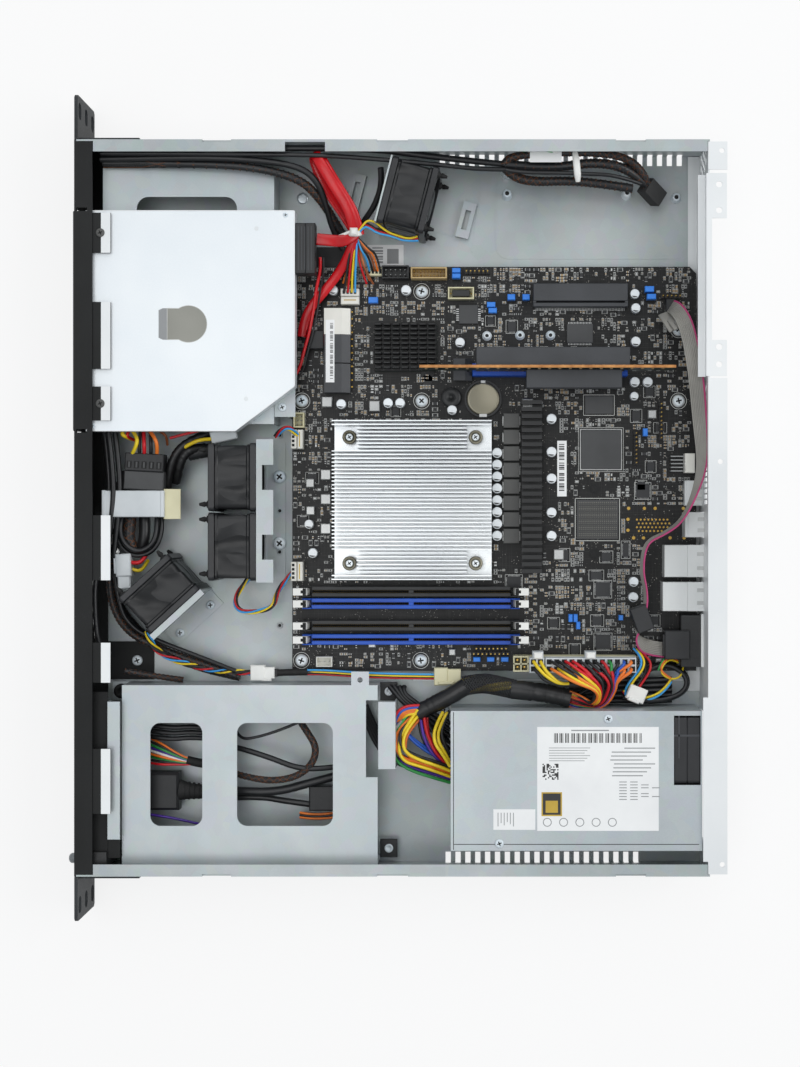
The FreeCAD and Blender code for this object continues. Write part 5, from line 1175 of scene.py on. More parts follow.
# cover screws on the tabs, then the floor's screws
for x in (-160.7, -61.0):
    recessed_screw(metal, x, back(15.0), TAB_TOP, 2.6, 0.9, "choke_grey")
recessed_screw(metal, 92.0, back(28.5), 2.2, 3.2, 1.7)
for x, y in ((-19.4, back(114.9)), (21.0, back(114.9)), (123.1, 26.2)):
    recessed_screw(metal, x, y, 2.2, 3.9, 2.4, turn=0.9)
# open holes in the fan rail's foot, near-black inside as painted shade
for x in (-44.62, 1.164, 26.19, 70.81):
    metal.turned(x, back(114.9), [(1.7, 2.2), (1.6, 2.5), (1.1, 2.5)], "bare_steel", 16)
    metal.turned(x, back(114.9), [(1.1, 2.4), (1.0, 2.52), (0.2, 2.52)], "pit_black", 16)
# the two screws behind the turned front fan
front_x, front_y, front_yaw = 50.4, back(48.6), -47.6
c, s = math.cos(math.radians(front_yaw)), math.sin(math.radians(front_yaw))
for a in (-12.5, 12.5):
    recessed_screw(metal, front_x + a * c - 22.3 * s, front_y + a * s + 22.3 * c, 2.0, 2.7, 1.6, turn=0.1)
recessed_screw(metal, -59.8, -68.4, 27.1, 2.5, 1.2)
# the right cage's front flange, the black fold before it, and the bracket behind the cage
metal.block(113.6, 194.7, back(17.8), back(25.2), 36.0, 36.8, "cage_steel", 0.2)
metal.block(113.6, 194.7, back(17.8), back(18.6), 30.0, 36.0, "cage_steel")
metal.block(108.0, 206.0, back(7.6), back(17.7), 34.0, 34.8, "black_steel", 0.2)
metal.block(194.9, 206.0, back(17.7), back(24.8), 34.0, 34.8, "black_steel", 0.2)
metal.block(114.0, 153.8, back(176.6), back(186.9), 33.0, 34.0, "cage_steel", 0.2)
metal.block(114.0, 153.8, back(186.1), back(186.9), 8.0, 33.0, "cage_steel")
metal.done(replaces=("chassis_screws",), slot="bright_steel")

# marks pressed into the floor, and a bright stake in it
floor = Piece("floor_marks")


def groove(p, points, wide, z, h, material="tin"):
    """A low pressed line on a sheet: a flat bar along each leg of a path."""
    for (ax, ay), (bx, by) in zip(points, points[1:]):
        long = math.hypot(bx - ax, by - ay)
        nx, ny = -(by - ay) / long * wide / 2, (bx - ax) / long * wide / 2
        p.slab([(ax + nx, ay + ny), (ax - nx, ay - ny), (bx - nx, by - ny), (bx + nx, by + ny)], z, z + h,
               material)


for x, d, r in ((-188.7, 128.6, 3.6), (96.0, 236.0, 3.0)):
    floor.turned(x, back(d), [(r, 1.0), (r * 0.96, 1.25), (r * 0.6, 1.35)], "bright_steel", 24)
panel = soft_rect(-202.0, -152.0, back(246.0), back(362.0), 8.0)
groove(floor, panel + panel[:1], 0.6, 1.0, 0.2, "bare_steel")
groove(floor, [(-201.5, back(238)), (-156.0, back(231.5))], 0.8, 1.0, 0.3, "bare_steel")
# three spare posts for a larger board
for x, d, tall in ((-190.2, 252.8, 9.0), (-190.6, 325.3, 9.0), (-188.7, 355.4, 5.0)):
    post = [(3.1, 1.0), (3.0, 1.8), (2.5, 2.2), (2.5, tall), (2.2, tall + 0.4), (1.3, tall + 0.45)]
    floor.turned(x, back(d), post, "screw_painted_highlight", 20)
    floor.turned(x, back(d), [(1.35, tall + 0.4), (1.3, tall + 0.48), (0.2, tall + 0.48)], "pit_black", 16)
groove(floor, [(104.0, back(196.0)), (104.0, back(360.0))], 0.8, 1.0, 0.2, "rail_steel")
floor.block(-160.5, -147.0, back(168.0), back(190.0), 1.0, 1.08, "label_white")
for k in range(6):
    floor.block(-159.0 + k * 1.7, -158.2 + (k % 2) * 0.4 + k * 1.7, back(171.0), back(177.5), 1.08, 1.12,
                "label_grey")
floor.block(-158.0, -149.0, back(180.0), back(187.0), 1.08, 1.12, "label_grey")
# a black insulating sheet on the floor beside the drive adapter, laid there also as painted shade on the dark
# floor between the drive and the board
floor.block(-159.0, -146.4, back(112.0), back(159.0), 1.0, 1.5, "black_plastic")
floor.done(slot="bare_steel")

# ---- optical drive: the mark sunk in its lid, its screws and its seams
lid = Piece("optical_lid")
LX, LY, LZ = -107.7, back(66.1), 40.0
for k in range(3):
    half = 9.2 - 0.5 * k
    tab = [
        (LX - half, back(50.6 - k)), (LX + half, back(50.6 - k)), (LX + 9.2, back(54.0)),
        (LX - 9.2, back(54.0)),
    ]
    lid.slab(tab, LZ, LZ + 0.05 + 0.01 * k, "label_grey")
key = []
for k in range(41):
    turn = math.radians(-122 + 244 * k / 40)
    key.append((LX + 10.8 * math.sin(turn), LY + 10.8 * math.cos(turn)))
key += [(LX + 9.2, back(53.6)), (LX - 9.2, back(53.6))]
lid.slab(key, LZ, LZ + 0.1, "disc_steel")
groove(lid, key + key[:1], 0.3, LZ, 0.2, "tin")
for x, y in ((-171.5, -65.0), (-171.3, -178.0), (-48.2, -178.0)):
    recessed_screw(lid, x, y, LZ, 1.5, 0.3, turn=0.2)
for x, y in ((-163.6, -82.0), (-64.0, -88.0)):
    lid.turned(x, y, [(1.3, LZ), (1.17, LZ + 0.06)], "rail_steel", 16)
outline = [(-45.2, -181.9), (-45.2, -94.6), (-71.4, -59.8), (-174.0, -59.8), (-174.0, -181.9)]
groove(lid, outline, 0.5, LZ, 0.12, "white_steel")
# side seams of the folded case
for x in (-174.06, -45.26):
    lid.block(x, x + 0.12, -180.0, -98.0, 33.2, 33.6, "pit_black")
lid.done(slot="drive_steel")

# what stands on the tray: the spindle, the laser's sledge on its rails, and the pressed rings
deck = Piece("optical_deck")
cx, cy = -111.6, -123.4
spindle = [
    (12.4, 35.4), (12.3, 35.7), (10.6, 35.8), (10.2, 36.4), (7.4, 36.5), (7.2, 37.6), (6.4, 38.0),
    (1.2, 38.05),
]
deck.turned(cx, cy, spindle, "bright_steel", 36)
for k in range(3):
    a = 2 * math.pi * k / 3 + 0.5
    deck.at(cx, cy, 0, math.degrees(a)).block(5.4, 7.7, -1.1, 1.1, 37.0, 37.9, "black_plastic", 0.3)
deck.at()
deck.block(-95.6, -76.6, -138.4, -104.4, 31.0, 33.8, "slot_grey", 0.4)
deck.turned(-86.0, -117.0, [(3.2, 33.8), (3.0, 34.6), (2.0, 34.8), (1.9, 34.5), (0.4, 34.9)], "chip_black",
            24)
for x in (-94.6, -77.6):
    deck.turned_y(x, 35.0, [(0.9, -139.0), (0.9, -104.0)], "bright_steel", 12)
for r in (60.0, 41.0, 23.0):
    ring = ring_of(cx, cy, r - 0.6, 72)
    for k in range(72):
        (ax, ay), (bx, by) = ring[k], ring[(k + 1) % 72]
        if -98.0 < ax < -74.0 and -140.5 < ay < -102.0:
            continue
        groove(deck, [(ax, ay), (bx, by)], 0.5, 34.4, 0.25, "slot_black")
for x in (-171.9, -48.2):
    deck.block(x, x + 0.9, -180.5, -100.0, 33.5, 35.9, "tin")
# the bezel's brow line, its release hole and its lamp
deck.block(-172.0, -47.0, -189.6, -189.3, 38.2, 38.5, "pit_black")
deck.turned_y(-80.5, 33.5, [(0.7, -189.45), (0.7, -189.2)], "pit_black", 12)
deck.block(-92.0, -88.5, -189.5, -189.3, 33.0, 34.0, "clear_plastic")
deck.done(body="tray", slot="black_plastic")

adapter = Piece("drive_adapter")
x0, x1, y0, y1 = -167.0, -137.4, -59.5, -47.9
adapter.block(x0, x1, y0, y0 + 6.0, 28.8, 39.4, "slot_black", 0.4)
adapter.block(x0, x1, y0 + 6.0, y1, 28.8, 32.0, "slot_black")
adapter.block(x0, x1, y0 + 6.0, y1, 36.6, 39.4, "slot_black", 0.4)
adapter.block(x0, x0 + 3.0, y0 + 6.0, y1, 32.0, 36.6, "slot_black")
adapter.block(x1 - 3.6, x1, y0 + 6.0, y1, 32.0, 36.6, "slot_black")
for k in range(9):
    adapter.block(x0 + 4.2 + k * 2.5, x0 + 5.2 + k * 2.5, y0 + 6.0, y1 - 2, 33.6, 34.2, "gold")
for k in range(5):
    adapter.block(x0 + 2.0, x1 - 2.0, y0 + 1.6 + k * 1.9, y0 + 2.2 + k * 1.9, 39.35, 39.46, "slot_grey")
for k in range(3):
    adapter.block(x0 + 4.0 + k * 9.0, x0 + 8.0 + k * 9.0, y1 - 0.1, y1 + 0.2, 37.2, 38.8, "slot_grey")
adapter.done(replaces=("odd_adapter",), bevel=0.15, slot="black_plastic")

# ---- fans: a moulded square frame with a round bore, and a wheel of swept blades
# each fan's X, Y, yaw, and whether its hub faces the rear (1) or the front (-1)
FANS = (
    (-18.2, back(91.5), 0.0, 1),
    (22.6, back(91.5), 0.0, 1),
    (-183.5, back(194.6), -14.4, -1),
    (front_x, front_y, front_yaw, 1),
)
FAN_Z = 21.3


def soft_ring(half, corner, y):
    """A square ring with round corners, in the plane across a fan's axis."""
    sides = 12
    points = []
    for q in range(4):
        mid = math.pi / 2 * q + math.pi / 4
        c = half - corner
        sx, sz = (1 if math.cos(mid) > 0 else -1), (1 if math.sin(mid) > 0 else -1)
        for k in range(sides):
            turn = math.pi / 2 * (q + k / (sides - 1))
            points.append((sx * c + corner * math.cos(turn), y, FAN_Z + sz * c + corner * math.sin(turn)))
    return points


def bore_ring(radius, y):
    """A round ring with a point for each point of the soft ring round it."""
    sides = 12
    points = []
    for q in range(4):
        for k in range(sides):
            turn = math.pi / 2 * (q + k / (sides - 1))
            points.append((radius * math.cos(turn), y, FAN_Z + radius * math.sin(turn)))
    return points


def fan_frame(name, deep, flange, spot, node):
    """A fan's housing: two square flanges round one bore, the film between, and the hub's seat."""
    x, y, yaw, flip = spot
    p = Piece(name).at(x, y, 0, yaw + (180 if flip < 0 else 0))
    h = deep / 2
    for a, b in ((-h, -h + flange), (h - flange, h)):
        edge = ((19.7, a), (20.0, a + 0.4), (20.0, b - 0.4), (19.7, b))
        rings = [soft_ring(half, 2.6, at) for half, at in edge] + [bore_ring(18.8, b), bore_ring(18.8, a)]
        p.rings(rings, "fan_black", closed=True)
    if deep > 20:
        a, b = -h + flange, h - flange
        wrap = [(18.7, a), (19.2, a + 0.5), (19.2, a + 1.5), (18.6, a + 2.2), (18.75, 0)]
        wrap += [(18.6, b - 2.2), (19.2, b - 1.5), (19.2, b - 0.5), (18.7, b)]
        rings = [soft_ring(half, 3.0, at) for half, at in wrap] + [bore_ring(18.5, b), bore_ring(18.5, a)]
        p.rings(rings, "film_black", closed=True)
    # hub seat on four struts, with its plain label
    p.turned_y(0, FAN_Z, [(9.6, h - 2.0), (10.0, h - 1.7), (10.0, h - 0.3), (9.7, h)], "fan_black", 36)
    p.turned_y(0, FAN_Z, [(8.6, h - 0.05), (8.6, h + 0.04)], "label_grey", 32)
    p.turned_y(0, FAN_Z, [(1.45, h - 8.0), (1.45, h - 1.9)], "bright_steel", 16)
    for k in range(4):
        turn = math.radians(45 + 90 * k)
        c, s = math.cos(turn), math.sin(turn)
        strut = ((9.4, -0.9), (18.95, -0.9), (18.95, 0.9), (9.4, 0.9))
        ring = [(r * c - w * s, r * s + w * c) for r, w in strut]
        p.rings([[(i, at, FAN_Z + j) for i, j in ring] for at in (h - 2.0, h - 0.1)], "fan_black")
    p.done(replaces=(node,), slot="fan_black")


def fan_rotor(name, deep, spot, node):
    """A fan's wheel: a round hub and seven swept blades."""
    x, y, yaw, flip = spot
    p = Piece(name).at(x, y, 0, yaw + (180 if flip < 0 else 0))
    front, rear = -deep / 2 + 0.5, deep / 2 - 2.5
    hub = [
        (8.6, front), (9.7, front + 0.5), (10.0, front + 1.6), (10.0, rear - 0.3), (9.8, rear),
        (1.6, rear),
    ]
    p.turned_y(0, FAN_Z, hub, "rotor_black", 40)
    p.turned_y(0, FAN_Z, [(7.4, front - 0.04), (7.4, front + 0.02)], "fan_black", 32)
    reach = 0.86 * (rear - front) / 2
    middle = (front + rear) / 2
    for k in range(7):
        base = 2 * math.pi * k / 7
        rings = []
        for i in range(6):
            out = i / 5
            r = 9.6 + (18.0 - 9.6) * i / 5
            lower, upper = [], []
            for j in range(7):
                t = j / 6 - 0.5
                a = base + t * (1.25 - 0.35 * out) + 0.18 * math.sin(math.pi * out)
                along = middle + 2 * reach * t * (0.80 + 0.20 * out) * 0.98
                along += 0.9 * math.sin(math.pi * (t + 0.5))
                lower.append((r * math.cos(a), along - 0.4, FAN_Z + r * math.sin(a)))
                upper.append((r * math.cos(a), along + 0.4, FAN_Z + r * math.sin(a)))
            rings.append(lower + upper[::-1])
        p.rings(rings, "rotor_black", True)
    p.done(body=node, replaces=(node,), slot="fan_black")


for k, spot in enumerate(FANS):
    fan_frame(f"fan_housing_{k + 1}", 28.0, 3.6, spot, f"fan_frame_{k + 1}")
    fan_rotor(f"fan_wheel_{k + 1}", 28.0, spot, f"fan_rotor_{k + 1}")
PSU_FAN = (141.6, 169.9, 0.0, -1)
fan_frame("psu_fan_housing", 15.0, 7.5, PSU_FAN, "psu_fan_frame")
fan_rotor("psu_fan_wheel", 15.0, PSU_FAN, "psu_fan_rotor")

# rubber pull-through pins at the fans' corners, and the cage's grommets
rubber = Piece("rubber_fixings")
for x, y, yaw, flip in FANS:
    rubber.at(x, y, 0, yaw)
    for sx in (-16, 16):
        for sz in (-16, 16):
            pin = [(2.3, 0.0), (2.2, 0.9), (1.35, 1.1), (1.3, 2.0), (1.7, 2.2), (0.8, 5.5)]
            pin = [(r, -flip * 14.05 - flip * t) for r, t in pin]
            rubber.turned_y(sx, FAN_Z + sz, pin[:: -1 if flip > 0 else 1], "black_rubber", 12)
rubber.at()
grommet = [(4.2, 1.0), (4.4, 1.4), (4.4, 4.2), (4.0, 4.6), (3.0, 4.62), (3.0, 5.6), (4.0, 5.65), (4.4, 6.1)]
grommet += [(4.4, 7.5), (3.9, 8.0), (1.8, 8.0), (1.7, 7.0), (0.3, 7.0)]
REAR_MOUNT = -6.4
for x in (110.2, 204.8):
    for y in (-168.3, REAR_MOUNT):
        rubber.turned(x, y, grommet, "black_rubber", 24)
for x in (110.2, 204.8):
    rubber.block(x - 5.6, x + 5.6, REAR_MOUNT - 5.2, REAR_MOUNT + 5.2, 8.2, 8.8, "slot_black", 0.3)
    eyelet = [(2.6, 8.8), (2.6, 9.6), (1.5, 9.7), (1.4, 9.0), (0.2, 9.0)]
    rubber.turned(x, REAR_MOUNT, eyelet, "screw_painted_highlight", 20)
rubber.done(replaces=("rubber_mounts",), slot="black_rubber")

# ---- power supply: its label, seams, lid screws, rear grille and inlet
psu = Piece("supply_details")
PX0, PX1, PY0, PY1, PZ = 118.6, 200.3, 31.7, 178.7, 41.8
INK = PZ + 0.08
psu.block(127.9, 188.6, back(270.1), back(341.1), PZ, INK, "label_white")


def rule(x0, x1, d0, d1, material="label_grey", low=INK, thick=0.02):
    """A plain printed bar on the supply's lid."""
    psu.block(x0, x1, back(d0), back(d1), low, low + thick, material)


# a bar pattern, then rules where the label would carry lines of print
d = 280.0
for k in range(62):
    wide = 0.32 * (1 + (k * 7) % 3 * 0.6)
    if (k * 5) % 4 != 3:
        rule(131.6, 137.2, d, d + wide, "label_ink", thick=0.03)
    d += wide + 0.32
rule(129.6, 130.3, 290.0, 312.0, thick=0.03)
for k in range(6):
    rule(140.0 + k * 1.5, 140.35 + k * 1.5, 277.0, 301.0 - 1.6 * (k % 3))
for k in range(8):
    end = 339.0 - (k % 4) * 2.4
    rule(140.0 + k * 2.3, 140.6 + k * 2.3, end - 18.0 - (k * 5) % 7, end)
for k in range(7):
    for c in range(2 + k % 3):
        rule(159.8 + k * 1.7, 160.3 + k * 1.7, 318.0 + c * 6.4, 322.4 + c * 6.4)
cells = random.Random(21)
for i in range(12):
    for j in range(12):
        if cells.random() < 0.5:
            x, d = 149.4 + 0.78 * i, 273.2 + 0.78 * j
            rule(x, x + 0.78, d, d + 0.78, "label_ink")
rule(166.0, 180.0, 272.6, 284.6, "label_gold", thick=0.03)
rule(166.8, 179.2, 273.4, 283.8, "label_ink", INK + 0.03)
rule(171.0, 178.0, 275.0, 282.2, "label_gold", INK + 0.05)
for k in range(5):
    y = back(276.0 + k * 9.5)
    psu.slab(ring_of(183.6, y, 2.6, 20), INK, INK + 0.02, "label_grey")
    psu.slab(ring_of(183.6, y, 2.1, 20), INK + 0.02, INK + 0.04, "label_white")
# the lower lid's short marks, and the small second label
for x0, x1, d0, d1 in (
    (129.4, 131.6, 345.4, 349.0),
    (132.6, 134.8, 345.4, 349.0),
    (135.8, 138.0, 345.4, 349.0),
    (119.6, 146.4, 352.6, 353.4),
    (132.4, 133.6, 342.8, 365.0),
):
    rule(x0, x1, d0, d1, "slot_grey", PZ - 0.44, 0.3)
rule(176.0, 188.0, 244.5, 269.0, "label_white", PZ, 0.08)
for k in range(6):
    end = 186.0 - 8.0 * (0.08 * ((k * 3) % 5))
    rule(178.0, end, 247.0 + k * 1.8, 247.45 + k * 1.8, thick=0.03)
for x, y in ((123.2, back(311.6)), (196.0, back(248.0))):
    recessed_screw(psu, x, y, PZ, 2.6, 0.9)
psu.block(PX0 + 0.6, PX1 - 0.6, PY0 + 1.4, PY0 + 1.8, PZ, PZ + 0.05, "pit_black")
psu.block(PX1 - 4.0, PX1 - 3.6, PY0 + 1.8, PY1 - 1.8, PZ, PZ + 0.05, "pit_black")
# three rings of wire over the fan, on the rear face
for ring in range(1, 4):
    r = 4.6 * ring + 3.4
    for quad in arc_bars(141.6, FAN_Z, r - 0.5, r + 0.5, 48):
        quad = [quad[0], quad[3], quad[2], quad[1]]
        psu.rings([[(x, y, z) for x, z in quad] for y in (PY1 - 0.9, PY1 - 0.1)], "tin")
psu.done(slot="bare_steel")

inlet = Piece("mains_inlet")
ix, iy = 179.8, 178.7
for x0, x1, z0, z1 in (
    (166.2, 167.8, 10.6, 31.0),
    (191.8, 193.4, 10.6, 31.0),
    (167.8, 191.8, 10.6, 12.2),
    (167.8, 191.8, 29.4, 31.0),
):
    inlet.block(x0, x1, iy - 15.0, iy + 1.0, z0, z1, "black_plastic")
inlet.block(166.2, 193.4, iy - 18.0, iy - 15.0, 10.6, 31.0, "black_plastic")
# the two cut corners, then the three blades
for side in (-1, 1):
    wedge = [(ix + side * 12.0, 29.4), (ix + side * 12.0, 24.8), (ix + side * 7.4, 29.4)][::-side]
    inlet.rings([[(x, y, z) for x, z in wedge] for y in (iy - 15.0, iy + 0.9)], "black_plastic")
for x, z in ((ix - 7.0, 19.3), (ix, 23.3), (ix + 7.0, 19.3)):
    inlet.block(x - 1.0, x + 1.0, iy - 15.5, iy - 6.0, z - 2.0, z + 2.0, "tin", 0.3)
inlet.done(replaces=("psu_inlet",), slot="black_plastic")

# ---- front controls
power = Piece("power_cap")
px, pz = 205.9, 34.0
dome = [(0.6, -193.08), (1.4, -192.95), (2.2, -192.55), (2.75, -191.9), (3.0, -191.2), (3.0, -182.4)]
power.turned_y(px, pz, dome, "button_grey", 32)
power.turned_y(px, pz, [(4.0, -186.38), (4.0, -185.02)], "button_grey", 24)
power.done(body="power_button", replaces=("power_button",), slot="button_grey")

usb = Piece("front_port_board")
bx0, bx1, by = 143.0, 211.5, -186.4
usb.block(bx0, bx1, by, by + 18.0, 8.6, 10.2, "green_board")
for inset in (62.0, 43.0):
    x = 215.0 - inset
    for a, b, c, d in (
        (-7.1, -6.6, 10.2, 17.4), (6.6, 7.1, 10.2, 17.4), (-6.6, 6.6, 10.2, 10.7), (-6.6, 6.6, 16.9, 17.4),
    ):
        usb.block(x + a, x + b, by, by + 15.0, c, d, "port_steel")
    usb.block(x - 6.6, x + 6.6, by + 11.0, by + 11.4, 10.7, 16.9, "pit_black")
    usb.block(x - 5.6, x + 5.6, by + 0.8, by + 11.0, 14.0, 15.8, "blue_plastic", 0.2)
for x in (146.0, 189.5):
    usb.block(x, x + 6.0, by + 9.0, by + 15.0, 2.2, 8.6, "bright_steel")
usb.block(201.9, 211.5, -180.6, by + 16.0, 9.1, 38.0, "slot_black")
for k in range(12):
    usb.block(146.0 + k * 3.4, 147.6 + k * 3.4, by + 15.6, by + 16.6, 10.2, 10.8, "cap_tan")
usb.done(replaces=("front_io_board",), slot="green_board")

# ---- cables and wires ----------------------------------------------------------------
# A route is a given list of (X, D, Z); its cable is the smooth spline over them.


def spline_over(data, route):
    """One smooth spline that starts and ends on the route's own ends."""
    spline = data.splines.new("NURBS")
    spline.points.add(len(route) - 1)
    for point, (x, d, z) in zip(spline.points, route):
        point.co = (x * MM, back(d) * MM, z * MM, 1)
        point.radius = 1
    spline.order_u = 3
    spline.use_endpoint_u = True
    return spline


def followed(route):
    """Points along a route's smooth spline, in millimetres."""
    data = bpy.data.curves.new("guide", "CURVE")
    data.dimensions = "3D"
    data.resolution_u = 7
    spline_over(data, route)
    guide = bpy.data.objects.new("guide", data)
    mesh = bpy.data.meshes.new_from_object(guide)
    points = [vertex.co / MM for vertex in mesh.vertices]
    bpy.data.objects.remove(guide)
    bpy.data.meshes.remove(mesh)
    return points


def beside(line, count, radius, pitch=0, flat=1, start=0):
    """Lines spaced round a line at this radius, which wind once in each pitch."""
    lines = [[] for _ in range(count)]
    side = None
    gone = 0
    for k, point in enumerate(line):
        ahead = (line[min(k + 1, len(line) - 1)] - line[max(k - 1, 0)]).normalized()
        if side is None:
            side = ahead.cross(Vector((0, 0, 1)))
            if side.length < 0.05:
                side = Vector((1, 0, 0))
        side = (side - ahead * side.dot(ahead)).normalized()
        lift = side.cross(ahead)
        if k:
            gone += (point - line[k - 1]).length
        for j in range(count):
            turn = 2 * math.pi * (j / count + start + (gone / pitch if pitch else 0))
            off = side * (radius * math.cos(turn)) + lift * (radius * flat * math.sin(turn))
            lines[j].append(point + off)
    return lines


def wire(p, route, material, radius=0.65, flat=1):
    p.tube(followed(route), radius, material, 8, flat)


FAN_WIRES = ("wire_yellow", "wire_sky", "wire_red", "wire_black")


def fan_wires(p, route, radius, each, pitch, start=0):
    """A fan's four wires, twisted round each other."""
    lines = beside(followed(route), len(FAN_WIRES), radius, pitch, 1, start)
    for line, material in zip(lines, FAN_WIRES):
        p.tube(line, each, material, 7)


def ribbon(p, route, wide, thick, material):
    p.tube(followed(route), wide / 2, material, 12, thick / wide)


def cable(name, route, radius):
    """A free black cable: one curve over the route's points."""
    data = bpy.data.curves.new(name, "CURVE")
    data.dimensions = "3D"
    data.bevel_depth = radius * MM
    data.bevel_resolution = 3
    data.resolution_u = 8
    data.use_fill_caps = True
    spline_over(data, route)
    data.materials.append(MATERIALS["wire_black"])
    piece = bpy.data.objects.new(name, data)
    scene.collection.objects.link(piece)
    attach(piece, "chassis")
    return piece


def wrinkled(p, route, radius, material, seed, lift, sides=14):
    """A taped or sleeved run whose girth wanders a little."""
    chance = random.Random(seed)
    line = followed(route)
    girths = [radius * (1 + lift * (chance.random() - 0.5)) for _ in line]
    p.tube(line, girths, material, sides)


SLEEVE_THREADS = ("thread_brown", "braid_black", "braid_black")


def weave(p, line, radius, strands, each, pitch, materials=SLEEVE_THREADS, flat=1):
    """An open braid: strands wound both ways round a line."""
    for sign in (1, -1):
        for k, one in enumerate(beside(line, strands, radius, sign * pitch, flat)):
            p.tube(one, each, materials[k % len(materials)], 4)


def braided(p, route, radius):
    """A dark sleeve with brown threads crossing in it."""
    line = followed(route)
    p.tube(line, radius - 0.3, "wire_black", 12)
    weave(p, line, radius - 0.15, 8, 0.24, 13)


def main_harness():
    """The supply's harness: loose wires at its face, tape, an open sleeve, tape and the main plug."""
    p = Piece("harness_wires")
    tape = [(122, 199.4, 22), (118.6, 205, 22.6), (113.4, 216, 23.4), (105.6, 228.4, 24)]
    sleeve = [(105.6, 227, 24), (103.6, 236.8, 24), (105, 246, 24), (107.6, 257, 24)]
    tape_2 = [(107.6, 255, 24), (108.8, 268.6, 24), (110.6, 280, 24), (113, 290.4, 24.4)]
    wrinkled(p, tape, 5.1, "tape_black", 3, 0.1, 16)
    wrinkled(p, tape_2, 5.5, "tape_black", 5, 0.1, 16)
    for k, line in enumerate(beside(followed(sleeve), 9, 4.2, 70, 0.8)):
        p.tube(line, 1.1, "wire_black" if k % 4 else "wire_yellow", 6)
    # a near-black core inside the open sleeve: painted shade between its wires
    p.tube(followed(sleeve), 4, "pit_black", 12, 0.8)
    weave(p, followed(sleeve), 5.7, 14, 0.36, 22, ["braid_black"], 0.88)
    for x, d, z in ((108.7, 266, 24), (110, 276, 24), (111.8, 285, 24.2)):
        p.tube([(x, back(d), z), (x + 0.25, back(d + 1.6), z)], 5.75, "tape_black", 16)
    for k in range(5):
        x = 103 + 3.1 * k
        under = [
            (112 + k, 286, 13 + k % 2), (x + 1, 300, 11 + k % 3), (x, 318, 10 + k % 2), (x + 0.6, 338, 11),
            (x - 0.4, 352, 12),
        ]
        wire(p, under, "wire_black", 1.7)
    for k in range(4):
        slack = [
            (141 - 4 * k, 218.9, 12), (131 - 3 * k, 206, 14), (121 - 2 * k, 196, 15),
            (113 - k, 187 + k, 14), (107, 182 + 3 * k, 11),
        ]
        wire(p, slack, "wire_black", 1.5)
    # pairs of wires that swing out round the tape: two colours, where they go under it, and the route
    for colour, neighbour, end, *line in (
        ("yellow", "black", (121.4, 201.4, 24.6),
         (155.6, 218.9, 27), (152, 210.8, 30), (149, 201.8, 31.6), (144.9, 193.4, 32), (139.4, 190.7, 31),
         (131, 193, 28)),
        ("yellow", "orange", (119.4, 199.8, 26.2),
         (159.3, 218.9, 25), (155.4, 209.7, 29), (152.4, 200.7, 30), (149.6, 191.6, 31), (142.9, 188.2, 30),
         (132.2, 190.4, 27)),
        ("orange", "orange", (124.4, 201.6, 21.6),
         (158, 218.9, 23), (155, 211, 27), (151.4, 202, 28.4), (147, 194.4, 29), (141, 191.6, 28),
         (132, 194, 25)),
        ("green", "purple", (118, 197.6, 24.4),
         (163.2, 218.9, 23), (159.6, 208.5, 27), (155.5, 196, 28), (150, 186.9, 28), (141, 184.6, 27),
         (130, 187, 25)),
        ("grey", "black", (120.4, 197.4, 22.6),
         (161.8, 218.9, 21), (157, 206, 24), (152, 196, 25), (147, 188, 26), (139, 184, 27),
         (129, 186, 26)),
        ("blue", "blue", (123.8, 203, 19.6),
         (152, 218.9, 22), (147, 209, 24), (141, 200, 25), (135, 193.6, 25), (130, 192, 24),
         (126, 194, 23)),
    ):
        wire(p, line + [end], "wire_" + colour, 1)
        shifted = [(x - 2.1, d - 0.5 * j, z - 1.3) for j, (x, d, z) in enumerate(line)]
        shifted.append((end[0] + 0.4, end[1] + 0.8, end[2] - 1.9))
        wire(p, shifted, "wire_" + neighbour, 1)
    # wires that go straight in
    for colour, *line in (
        ("yellow", (152.6, 218.9, 30), (145.4, 214.9, 33), (137.9, 209.4, 34),
         (129.2, 209.8, 31), (121, 214.6, 25)),
        ("yellow", (150.6, 218.9, 28), (144, 215.6, 31), (137, 211.6, 32),
         (129.4, 212.4, 29), (121.4, 217, 24)),
        ("black", (147.6, 218.9, 26), (141, 216.4, 29), (134.4, 213.6, 30),
         (127.4, 214.8, 27), (120.4, 218.4, 23)),
        ("red", (154, 218.9, 24), (147, 211.6, 28), (137.4, 206.6, 28), (127.6, 203.6, 25), (121, 203, 23)),
        ("purple", (156, 218.9, 22), (148, 209.6, 26), (137.6, 203.8, 26),
         (128, 201.6, 24), (122, 201, 22)),
        ("red", (151, 218.9, 20), (145, 211.6, 23), (136, 206.2, 24), (127.6, 204.8, 22), (121, 204.6, 20)),
        ("black", (157, 218.9, 18), (149, 210, 20), (139, 203, 22), (129, 200, 21), (121.6, 200.6, 19)),
        ("black", (144, 218.9, 18), (138, 212, 20), (132, 207, 21), (126, 205, 20), (120, 206, 19)),
        ("orange", (148, 218.9, 15), (141, 210, 17), (134, 204, 18), (127, 201.6, 18), (121, 202, 18)),
    ):
        wire(p, line, "wire_" + colour, 1)
    # wires that arch over the tape
    for k, colour in enumerate(("red", "blue", "orange", "orange", "yellow")):
        x = 117.2 + 1.2 * k
        line = [
            (134 - 1.4 * k, 183.2 + 1.4 * k, 21), (126.4 - 0.6 * k, 184.4 + 1.5 * k, 25),
            (x - 0.6, 190.4 + 1.4 * k, 27), (x, 200.6 + 0.8 * k, 25),
        ]
        wire(p, line, "wire_" + colour, 1)
